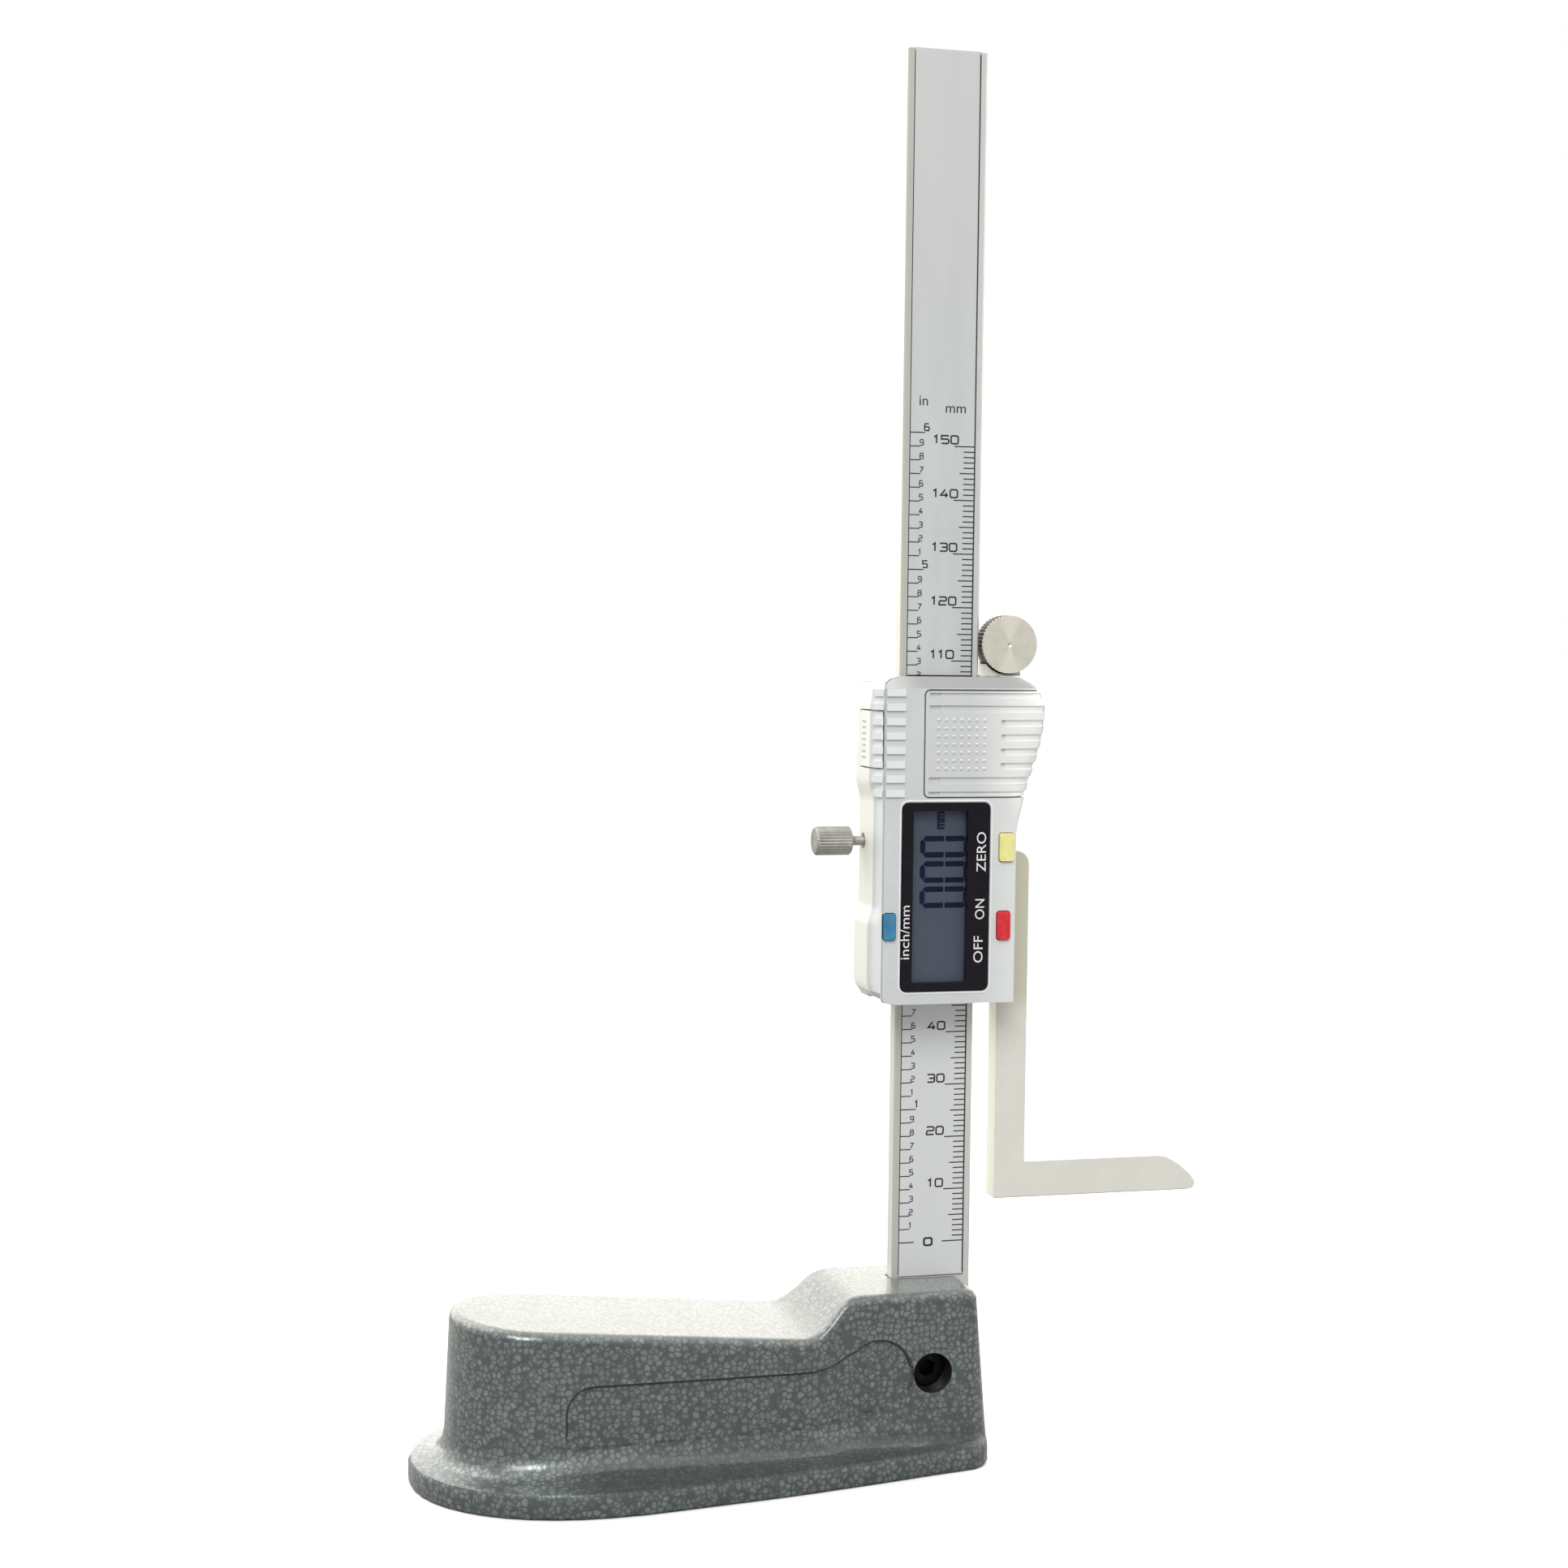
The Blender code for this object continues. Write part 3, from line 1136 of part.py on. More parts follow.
def build_button(name, place, material):
    """Push button with a flange behind the front wall."""
    x, z, width, height = place
    half_width = width / 2
    half_height = height / 2
    front = HOUSING_FRONT_Y - BUTTON_RISE
    flange_front = INNER_FRONT_Y
    cap = plate(name, rounded(x - half_width, x + half_width, z - half_height, z + half_height,
                              BUTTON_ROUND, 3), front, flange_front + BUTTON_FLANGE_THICKNESS / 2)
    soften(cap, BUTTON_ROUND / 2, 2, 60.0)
    flange = box("button_flange", x - half_width - BUTTON_FLANGE_SIDE,
                 x + half_width + BUTTON_FLANGE_SIDE,
                 flange_front, flange_front + BUTTON_FLANGE_THICKNESS,
                 z - half_height - BUTTON_FLANGE, z + half_height + BUTTON_FLANGE)
    join(cap, flange)
    return finish(cap, material)


def build_dome(name, place, material):
    """Rubber dome between a button and the board."""
    x, z = place[0:2]
    half = DOME_WIDTH / 2
    front = INNER_FRONT_Y + BUTTON_FLANGE_THICKNESS + BUTTON_TRAVEL + SLIP_GAP
    back = BOARD_FRONT_Y - SEAT_GAP
    dome = rod(name, "Y", front, back, (x, z), half * 0.7, SMALL_SIDES, half)
    return finish(dome, material)


def build_board(board_material, cell_material, contact_material):
    """Circuit board, button cell and the contact springs of the cell."""
    low = HOUSING_LOW_Z + HOUSING_END_WALL + SEAT_GAP
    high = HOUSING_HIGH_Z - HOUSING_END_WALL - SEAT_GAP
    board = box("circuit_board", FRAME_LEFT_X + HOUSING_SIDE_WALL + SEAT_GAP,
                FRAME_RIGHT_X - SEAT_GAP - SEAT_GAP, BOARD_FRONT_Y, BOARD_BACK_Y, low, high)
    for x in (SCREW_LEFT_X, SCREW_RIGHT_X):
        for z in (SCREW_LOW_Z, SCREW_HIGH_Z):
            cut(board, rod("board_cut", "Y", BOARD_FRONT_Y - OVERRUN, BOARD_BACK_Y + OVERRUN,
                           (x, z), BOSS_RADIUS + SEAT_GAP))
    finish(board, board_material)
    cell_front = HOUSING_FRONT_Y + LID_THICKNESS + SLIP_GAP
    cell_back = cell_front + BATTERY_THICKNESS
    profile = [(0.0, cell_back), (BATTERY_RADIUS - BATTERY_RIM, cell_back),
               (BATTERY_RADIUS, cell_back - BATTERY_RIM), (BATTERY_RADIUS, cell_front + BATTERY_RIM / 2),
               (BATTERY_RADIUS - BATTERY_RIM / 2, cell_front), (0.0, cell_front)]
    cell = turned("button_cell", "Y", (BATTERY_X, BATTERY_Z), profile)
    finish(cell, cell_material)
    contact = box("cell_contact", BATTERY_X - CONTACT_WIDTH / 2, BATTERY_X + CONTACT_WIDTH / 2,
                  BOARD_FRONT_Y - SLIP_GAP - CONTACT_THICKNESS, BOARD_FRONT_Y - SLIP_GAP,
                  BATTERY_Z - BATTERY_RADIUS, BATTERY_Z + BATTERY_RADIUS)
    finish(contact, contact_material)


# Slider frame

def build_frame(material):
    """Steel frame that wraps the beam and carries the scriber on a lug."""
    frame = box("slider_frame", FRAME_LEFT_X, FRAME_RIGHT_X, FRAME_FRONT_Y, FRAME_BACK_Y,
                FRAME_LOW_Z, FRAME_HIGH_Z)
    lug = box("lug", CHANNEL_RIGHT_X + SEAT_GAP, LUG_RIGHT_X, LUG_FRONT_Y, LUG_BACK_Y, LUG_LOW_Z,
              LUG_HIGH_Z)
    soften(frame, FRAME_EDGE, 1)
    soften(lug, FRAME_EDGE / 2, 1)
    join(frame, lug)
    cut(frame, box("channel_cut", CHANNEL_LEFT_X, CHANNEL_RIGHT_X, FRAME_FRONT_Y - OVERRUN,
                   CHANNEL_BACK_Y, FRAME_LOW_Z - OVERRUN, FRAME_HIGH_Z + OVERRUN))
    for x in (SCREW_LEFT_X, SCREW_RIGHT_X):
        for z in (SCREW_LOW_Z, SCREW_HIGH_Z):
            cut(frame, rod("rear_cut", "Y", FRAME_FRONT_Y - OVERRUN, FRAME_BACK_Y + OVERRUN,
                           (x, z), SCREW_HOLE_RADIUS))
    for z in (GIB_SCREW_LOW_Z, LOCK_Z, GIB_SCREW_HIGH_Z):
        cut(frame, rod("side_cut", "X", FRAME_LEFT_X - OVERRUN, CHANNEL_LEFT_X + SEAT_GAP,
                       (SIDE_SCREW_Y, z), SCREW_HOLE_RADIUS))
    for z in (SCRIBER_SCREW_LOW_Z, SCRIBER_SCREW_HIGH_Z):
        cut(frame, rod("lug_cut", "Y", SCRIBER_BACK_Y, FRAME_BACK_Y + OVERRUN,
                       (SCRIBER_SCREW_X, z), SCREW_HOLE_RADIUS))
    return finish(frame, material)


def build_gib(brass, steel):
    """Brass gib strip and the two set screws that bear on it."""
    y = SIDE_SCREW_Y
    left = CHANNEL_LEFT_X + SEAT_GAP
    gib = box("gib_strip", left, left + GIB_THICKNESS, y - GIB_DEPTH / 2, y + GIB_DEPTH / 2,
              FRAME_LOW_Z + GIB_END_INSET, FRAME_HIGH_Z - GIB_END_INSET)
    finish(gib, brass)
    for name, z in (("gib_screw_low", GIB_SCREW_LOW_Z), ("gib_screw_high", GIB_SCREW_HIGH_Z)):
        screw = rod(name, "X", FRAME_LEFT_X + SEAT_GAP, CHANNEL_LEFT_X, (y, z), SCREW_RADIUS)
        slot = box("slot_cut", FRAME_LEFT_X - OVERRUN, FRAME_LEFT_X + SEAT_GAP + SCREW_SLOT_DEPTH,
                   y - SCREW_RADIUS - SEAT_GAP, y + SCREW_RADIUS + SEAT_GAP,
                   z - SCREW_SLOT_WIDTH / 2, z + SCREW_SLOT_WIDTH / 2)
        cut(screw, slot)
        finish(screw, steel)


def build_back_plate(material):
    """Thin cover on the back of the frame, notched for the roller bracket."""
    outline = rounded(FRAME_LEFT_X, FRAME_RIGHT_X, FRAME_LOW_Z, FRAME_HIGH_Z, BACK_PLATE_ROUND)
    outline = [(x, z) for x, z in outline if x < TAB_NOTCH_LEFT_X or z < TAB_NOTCH_LOW_Z]
    outline.insert(0, (TAB_NOTCH_LEFT_X, FRAME_HIGH_Z))
    outline.insert(0, (TAB_NOTCH_LEFT_X, TAB_NOTCH_LOW_Z))
    outline.insert(0, (FRAME_RIGHT_X, TAB_NOTCH_LOW_Z))
    holes = [circle(x, z, SCREW_HOLE_RADIUS)
             for x, z in ((SCREW_LEFT_X, SCREW_LOW_Z), (SCREW_LEFT_X, SCREW_HIGH_Z),
                          (SCREW_RIGHT_X, SCREW_LOW_Z))]
    cover = plate("back_plate", outline, PLATE_FRONT_Y, PLATE_BACK_Y, "Y", holes)
    return finish(cover, material)


def build_rear_screw(name, x, z, head_y, tip_y, material):
    """Small slotted screw put in from the back."""
    head_back = head_y + SCREW_HEAD_HEIGHT
    profile = [(0.0, head_back), (SCREW_HEAD_RADIUS * 0.7, head_back),
               (SCREW_HEAD_RADIUS, head_y + SCREW_HEAD_HEIGHT / 2), (SCREW_HEAD_RADIUS, head_y),
               (SCREW_RADIUS, head_y), (SCREW_RADIUS, tip_y), (0.0, tip_y)]
    screw = turned(name, "Y", (x, z), profile, SMALL_SIDES)
    slot = box("screw_slot", x - SCREW_HEAD_RADIUS - SEAT_GAP, x + SCREW_HEAD_RADIUS + SEAT_GAP,
               head_back - SCREW_SLOT_DEPTH, head_back + OVERRUN, z - SCREW_SLOT_WIDTH / 2,
               z + SCREW_SLOT_WIDTH / 2)
    cut(screw, slot)
    return finish(screw, material)


def build_lock_screw(material):
    """Knurled thumb screw that locks the slider on the beam."""
    head_right = LOCK_HEAD_LEFT_X + LOCK_HEAD_LENGTH
    neck_right = head_right + LOCK_NECK_LENGTH
    tip = CHANNEL_LEFT_X
    centre = (SIDE_SCREW_Y, LOCK_Z)
    small = LOCK_HEAD_RADIUS - 2 * LOCK_KNURL_DEPTH
    head = knurled("lock_screw", "X", centre,
                   [(LOCK_HEAD_LEFT_X, small, 0.0),
                    (LOCK_HEAD_LEFT_X + 2 * LOCK_KNURL_DEPTH, LOCK_HEAD_RADIUS, LOCK_KNURL_DEPTH),
                    (head_right - 2 * LOCK_KNURL_DEPTH, LOCK_HEAD_RADIUS, LOCK_KNURL_DEPTH),
                    (head_right, small, 0.0)], LOCK_KNURL_COUNT)
    shank = turned("lock_shank", "X", centre,
                   [(0.0, tip), (SCREW_RADIUS - SEAT_GAP, tip), (SCREW_RADIUS, tip - SEAT_GAP),
                    (SCREW_RADIUS, neck_right), (LOCK_NECK_RADIUS, head_right - SEAT_GAP),
                    (0.0, head_right - SEAT_GAP)], SMALL_SIDES)
    join(head, shank)
    return finish(head, material)


def build_roller(steel, plated):
    """Knurled thumb roller, the shouldered axle it turns on and its bracket."""
    centre = (ROLLER_X, ROLLER_Z)
    back = ROLLER_FRONT_Y + ROLLER_THICKNESS
    inner = ROLLER_RADIUS - ROLLER_KNURL_DEPTH - ROLLER_EDGE
    roller = knurled("thumb_roller", "Y", centre,
                     [(ROLLER_FRONT_Y, inner, 0.0),
                      (ROLLER_FRONT_Y + ROLLER_EDGE, ROLLER_RADIUS, ROLLER_KNURL_DEPTH),
                      (back - ROLLER_EDGE, ROLLER_RADIUS, ROLLER_KNURL_DEPTH),
                      (back, inner, 0.0)], ROLLER_KNURL_COUNT)
    cut(roller, rod("bore_cut", "Y", back - ROLLER_BORE_DEPTH, back + OVERRUN, centre,
                    ROLLER_BORE_RADIUS, SMALL_SIDES))
    cut(roller, rod("dimple_cut", "Y", ROLLER_FRONT_Y - ROLLER_DIMPLE_RADIUS,
                    ROLLER_FRONT_Y + ROLLER_DIMPLE_RADIUS, centre, 2 * ROLLER_DIMPLE_RADIUS, 12, 0.0))
    finish(roller, plated)

    plate_front = back + SEAT_GAP
    plate_back = plate_front + BRACKET_THICKNESS
    head_y = plate_back + SLIP_GAP
    axle = turned("roller_axle", "Y", centre,
                  [(0.0, head_y + AXLE_HEAD_THICKNESS),
                   (AXLE_HEAD_RADIUS * 0.8, head_y + AXLE_HEAD_THICKNESS),
                   (AXLE_HEAD_RADIUS, head_y + AXLE_HEAD_THICKNESS / 2),
                   (AXLE_HEAD_RADIUS, head_y), (AXLE_RADIUS, head_y),
                   (AXLE_RADIUS, back - ROLLER_BORE_DEPTH + SEAT_GAP),
                   (0.0, back - ROLLER_BORE_DEPTH + SEAT_GAP)], SMALL_SIDES)
    finish(axle, steel)

    foot_low = HOUSING_HIGH_Z + SLIP_GAP
    tab_front = PLATE_FRONT_Y
    tab_back = PLATE_FRONT_Y + BRACKET_TAB_THICKNESS
    ear = [(x, z) for x, z in rounded(BRACKET_LEFT_X, BRACKET_RIGHT_X, foot_low, BRACKET_TOP_Z,
                                      BRACKET_TOP_ROUND) if z > foot_low + BRACKET_TOP_ROUND]
    ear.extend([(BRACKET_LEFT_X, foot_low), (BRACKET_RIGHT_X, foot_low)])
    bracket = plate("roller_bracket", ear, plate_front, plate_back)
    cradle = box("cradle", BRACKET_LEFT_X - CRADLE_GAP / 2, CRADLE_RIGHT_X, CRADLE_FRONT_Y,
                 plate_back - CRADLE_GAP, foot_low - CRADLE_GAP / 4, CRADLE_TOP_Z)
    cut(cradle, rod("cradle_cut", "Y", CRADLE_FRONT_Y - OVERRUN, plate_front - SLIP_GAP, centre,
                    ROLLER_RADIUS + CRADLE_GAP, 48))
    foot = box("foot", BRACKET_TAB_LEFT_X, FRAME_RIGHT_X, FRAME_FRONT_Y, tab_back,
               FRAME_HIGH_Z + SEAT_GAP, foot_low + CRADLE_GAP)
    tab = box("tab", BRACKET_TAB_LEFT_X, FRAME_RIGHT_X, tab_front, tab_back, BRACKET_TAB_LOW_Z,
              FRAME_HIGH_Z + SEAT_GAP + CRADLE_GAP)
    join(foot, tab)
    join(cradle, foot)
    join(bracket, cradle)
    cut(bracket, rod("axle_cut", "Y", plate_front - SLIP_GAP, plate_back + SEAT_GAP, centre,
                     AXLE_RADIUS + SLIP_GAP, SMALL_SIDES))
    cut(bracket, rod("tab_hole", "Y", tab_front - SEAT_GAP, tab_back + OVERRUN,
                     (SCREW_RIGHT_X, SCREW_HIGH_Z), SCREW_HOLE_RADIUS))
    finish(bracket, steel)


def scriber_outline():
    """Side view of the L-shaped scriber."""
    arm_right = SCRIBER_LEFT_X + SCRIBER_ARM_WIDTH
    tip_x = SCRIBER_LEFT_X + SCRIBER_REACH
    foot_high = SCRIBER_LOW_Z + SCRIBER_FOOT_HEIGHT
    points = [(SCRIBER_LEFT_X, SCRIBER_TOP_Z), (SCRIBER_LEFT_X, SCRIBER_LOW_Z)]
    points.extend((tip_x - SCRIBER_NOSE_LENGTH * back, SCRIBER_LOW_Z + SCRIBER_FOOT_HEIGHT * up)
                  for back, up in NOSE_SHARES)
    points.append((arm_right, foot_high))
    steps = 5
    for step in range(steps + 1):
        angle = math.radians(90.0) * step / steps
        points.append((arm_right - SCRIBER_TOP_ROUND * (1 - math.cos(angle)),
                       SCRIBER_TOP_Z - SCRIBER_TOP_ROUND * (1 - math.sin(angle))))
    return points


def build_scriber(steel, screw_steel):
    """Hardened scriber and the two screws that hold it on the lug."""
    scriber = plate("scriber", scriber_outline(), SCRIBER_FRONT_Y, SCRIBER_BACK_Y)
    soften(scriber, SCRIBER_EDGE, 1, 60.0)
    for z in (SCRIBER_SCREW_LOW_Z, SCRIBER_SCREW_HIGH_Z):
        cut(scriber, rod("scriber_cut", "Y", SCRIBER_BACK_Y - SCRIBER_SCREW_DEPTH,
                         SCRIBER_BACK_Y + SEAT_GAP, (SCRIBER_SCREW_X, z), SCREW_HOLE_RADIUS))
    finish(scriber, steel)
    for name, z in (("scriber_screw_low", SCRIBER_SCREW_LOW_Z),
                    ("scriber_screw_high", SCRIBER_SCREW_HIGH_Z)):
        build_rear_screw(name, SCRIBER_SCREW_X, z, LUG_BACK_Y + SLIP_GAP,
                         SCRIBER_BACK_Y - SCRIBER_SCREW_DEPTH + SEAT_GAP, screw_steel)


def set_origin(name, place):
    """Put an object's origin on its joint, with the shape where it is."""
    obj = bpy.data.objects[name]
    shift = Vector(place)
    obj.data.transform(Matrix.Translation(-shift))
    obj.location = shift


def main():
    """Build every piece of the gauge."""
    global PARTS, CUTTERS
    clear_scene()
    PARTS = make_collection("digital_height_gauge")
    CUTTERS = make_collection("guides")

    hammer_grey = make_material("hammer_grey", (0.30, 0.34, 0.34), 0.42, 0.1)
    beam_steel = make_material("beam_steel", (0.60, 0.58, 0.56), 0.32, 1.0)
    scale_silver = make_material("scale_silver", (0.74, 0.76, 0.77), 0.45, 0.2)
    dark_steel = make_material("dark_steel", (0.05, 0.05, 0.05), 0.45, 0.8)
    frame_steel = make_material("frame_steel", (0.60, 0.60, 0.60), 0.35, 1.0)
    scriber_steel = make_material("scriber_steel", (0.63, 0.60, 0.56), 0.34, 1.0)
    nickel = make_material("nickel", (0.70, 0.67, 0.62), 0.28, 1.0)
    brass = make_material("brass", (0.72, 0.53, 0.25), 0.35, 1.0)
    housing_grey = make_material("housing_grey", (0.74, 0.77, 0.78), 0.38)
    black_gloss = make_material("black_gloss", (0.015, 0.015, 0.02), 0.12)
    clear = make_material("clear", (0.85, 0.9, 0.95), 0.05, 0.0, 0.3)
    lcd_blue = make_material("lcd_blue", (0.16, 0.21, 0.27), 0.3)
    rubber = make_material("rubber", (0.12, 0.12, 0.13), 0.8)
    yellow = make_material("button_yellow", (0.85, 0.75, 0.25), 0.4)
    red = make_material("button_red", (0.75, 0.05, 0.05), 0.35)
    blue = make_material("button_blue", (0.10, 0.33, 0.50), 0.4)
    board_green = make_material("board_green", (0.05, 0.25, 0.12), 0.5)

    build_base(hammer_grey)
    build_clamp_screw(dark_steel)
    build_beam(beam_steel)
    build_scale(scale_silver)
    build_housing(housing_grey)
    build_display(black_gloss, clear, lcd_blue, rubber)
    build_button("button_zero", BUTTON_ZERO, yellow)
    build_button("button_power", BUTTON_POWER, red)
    build_button("button_unit", BUTTON_UNIT, blue)
    build_dome("key_dome_zero", BUTTON_ZERO, rubber)
    build_dome("key_dome_power", BUTTON_POWER, rubber)
    build_dome("key_dome_unit", BUTTON_UNIT, rubber)
    build_board(board_green, nickel, brass)
    build_frame(frame_steel)
    build_gib(brass, dark_steel)
    build_back_plate(frame_steel)
    plate_seat = PLATE_BACK_Y + SLIP_GAP
    bracket_seat = PLATE_FRONT_Y + BRACKET_TAB_THICKNESS + SLIP_GAP
    build_rear_screw("rear_screw_low_left", SCREW_LEFT_X, SCREW_LOW_Z, plate_seat, SCREW_REACH_Y, nickel)
    build_rear_screw("rear_screw_high_left", SCREW_LEFT_X, SCREW_HIGH_Z, plate_seat, SCREW_REACH_Y, nickel)
    build_rear_screw("rear_screw_low_right", SCREW_RIGHT_X, SCREW_LOW_Z, plate_seat, SCREW_REACH_Y, nickel)
    build_rear_screw("rear_screw_bracket", SCREW_RIGHT_X, SCREW_HIGH_Z, bracket_seat, SCREW_REACH_Y, nickel)
    build_lock_screw(nickel)
    build_roller(frame_steel, nickel)
    build_scriber(scriber_steel, nickel)

    set_origin("lock_screw", (LOCK_HEAD_LEFT_X, SIDE_SCREW_Y, LOCK_Z))
    set_origin("thumb_roller", (ROLLER_X, ROLLER_FRONT_Y, ROLLER_Z))
    for name, place in (("button_zero", BUTTON_ZERO), ("button_power", BUTTON_POWER),
                        ("button_unit", BUTTON_UNIT)):
        set_origin(name, (place[0], HOUSING_FRONT_Y, place[1]))
    set_origin("battery_cover", (LID_LEFT_X, HOUSING_FRONT_Y, BATTERY_Z))
    set_origin("port_cover", (SIDE_X, HOUSING_FRONT_Y, (PORT_LOW_Z + PORT_HIGH_Z) / 2))


main()
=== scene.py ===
"""Dresses the digital height gauge with its finishes, its printed scale, its display and its studio."""

import json
import logging
import math
from collections.abc import Callable, Sequence
from dataclasses import dataclass, field
from enum import Enum

import bmesh
import bpy
from mathutils import Matrix, Vector

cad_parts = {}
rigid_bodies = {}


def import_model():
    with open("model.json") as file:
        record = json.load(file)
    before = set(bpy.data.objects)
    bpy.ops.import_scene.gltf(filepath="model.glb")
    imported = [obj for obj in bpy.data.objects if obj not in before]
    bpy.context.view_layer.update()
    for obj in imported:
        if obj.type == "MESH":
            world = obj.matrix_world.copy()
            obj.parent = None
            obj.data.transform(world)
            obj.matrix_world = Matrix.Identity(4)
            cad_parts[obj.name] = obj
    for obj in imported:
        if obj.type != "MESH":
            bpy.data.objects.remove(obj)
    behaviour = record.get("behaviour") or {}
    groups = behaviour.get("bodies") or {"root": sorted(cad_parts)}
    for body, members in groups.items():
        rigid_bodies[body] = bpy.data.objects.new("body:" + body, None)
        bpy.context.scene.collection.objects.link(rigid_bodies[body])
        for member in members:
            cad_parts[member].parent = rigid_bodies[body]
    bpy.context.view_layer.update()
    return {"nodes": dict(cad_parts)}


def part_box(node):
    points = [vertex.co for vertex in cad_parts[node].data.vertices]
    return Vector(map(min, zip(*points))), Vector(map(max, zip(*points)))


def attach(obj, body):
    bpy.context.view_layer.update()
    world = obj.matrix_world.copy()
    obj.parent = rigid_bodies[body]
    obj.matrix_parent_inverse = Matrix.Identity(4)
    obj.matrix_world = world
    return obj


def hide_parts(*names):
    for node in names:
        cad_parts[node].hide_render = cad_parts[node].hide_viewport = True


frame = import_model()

Colour = tuple[float, float, float]
Point = tuple[float, float]
Place = tuple[float, float, float]
Stroke = tuple[bool, list[Point]]

MM = 0.001
log = logging.getLogger("height_gauge")

# Corners closer than this, in metres, are merged
MERGE = 0.000001

# How far print stands on its face, in millimetres
PRINT_DEPTH = 0.02

# The colour sockets of a Mix node, which share their names with its other sockets
MIX_FIRST, MIX_SECOND, MIX_RESULT = 6, 7, 2

# The curve between a colour as the eye names it and its linear value
CURVE_KNEE, CURVE_SLOPE, CURVE_LIFT, CURVE_POWER = 0.04045, 12.92, 0.055, 2.4


def linear(red: float, green: float, blue: float) -> tuple[float, float, float, float]:
    """Turns a colour as the eye names it into the linear colour that a shader works in.

    Args:
        red: Share of red, from 0 to 1.
        green: Share of green, from 0 to 1.
        blue: Share of blue, from 0 to 1.

    Returns:
        The linear colour with full cover.
    """
    parts = []
    for share in (red, green, blue):
        if share <= CURVE_KNEE:
            parts.append(share / CURVE_SLOPE)
        else:
            parts.append(((share + CURVE_LIFT) / (1.0 + CURVE_LIFT)) ** CURVE_POWER)
    return (*parts, 1.0)


class Body(Enum):
    """The rigid bodies of the gauge that a piece can ride on."""

    BASE = "base"
    SLIDER = "slider"
    ROLLER = "roller"
    LOCK = "lock"
    KEY_ZERO = "key_zero"
    KEY_POWER = "key_power"
    KEY_UNIT = "key_unit"
    CELL_LID = "cell_lid"
    PORT_LID = "port_lid"


class Facing(Enum):
    """How a flat figure lies on the front of the gauge."""

    UPRIGHT = Matrix(((1, 0, 0), (0, 0, -1), (0, 1, 0)))
    SIDEWAYS = Matrix(((0, -1, 0), (0, 0, -1), (1, 0, 0)))


# Shader maths


class Wire:
    """One shader socket, which adds a Math node wherever it is used in an expression."""

    def __init__(self, sheet: "Sheet", socket: bpy.types.NodeSocket) -> None:
        """Keeps the sheet that the socket is on.

        Args:
            sheet: The node sheet.
            socket: The output socket that the wire starts from.
        """
        self.sheet = sheet
        self.socket = socket

    def _maths(self, operation: str, first: "Value", second: "Value") -> "Wire":
        """Adds one Math node.

        Args:
            operation: The name of the Math node's operation.
            first: The first value.
            second: The second value.

        Returns:
            The wire of the result.
        """
        return self.sheet.add("ShaderNodeMath", {"operation": operation}, {0: first, 1: second})

    def __add__(self, other: "Value") -> "Wire":
        """Adds a value."""
        return self._maths("ADD", self, other)

    def __radd__(self, other: "Value") -> "Wire":
        """Is added to a number."""
        return self._maths("ADD", other, self)

    def __sub__(self, other: "Value") -> "Wire":
        """Takes a value away."""
        return self._maths("SUBTRACT", self, other)

    def __rsub__(self, other: "Value") -> "Wire":
        """Is taken from a number."""
        return self._maths("SUBTRACT", other, self)

    def __mul__(self, other: "Value") -> "Wire":
        """Multiplies by a value."""
        return self._maths("MULTIPLY", self, other)

    def __rmul__(self, other: "Value") -> "Wire":
        """Multiplies a number."""
        return self._maths("MULTIPLY", other, self)

    def __truediv__(self, other: "Value") -> "Wire":
        """Divides by a value."""
        return self._maths("DIVIDE", self, other)

    def __rtruediv__(self, other: "Value") -> "Wire":
        """Divides a number."""
        return self._maths("DIVIDE", other, self)

    def __pow__(self, other: "Value") -> "Wire":
        """Raises to a power."""
        return self._maths("POWER", self, other)


Value = float | Wire


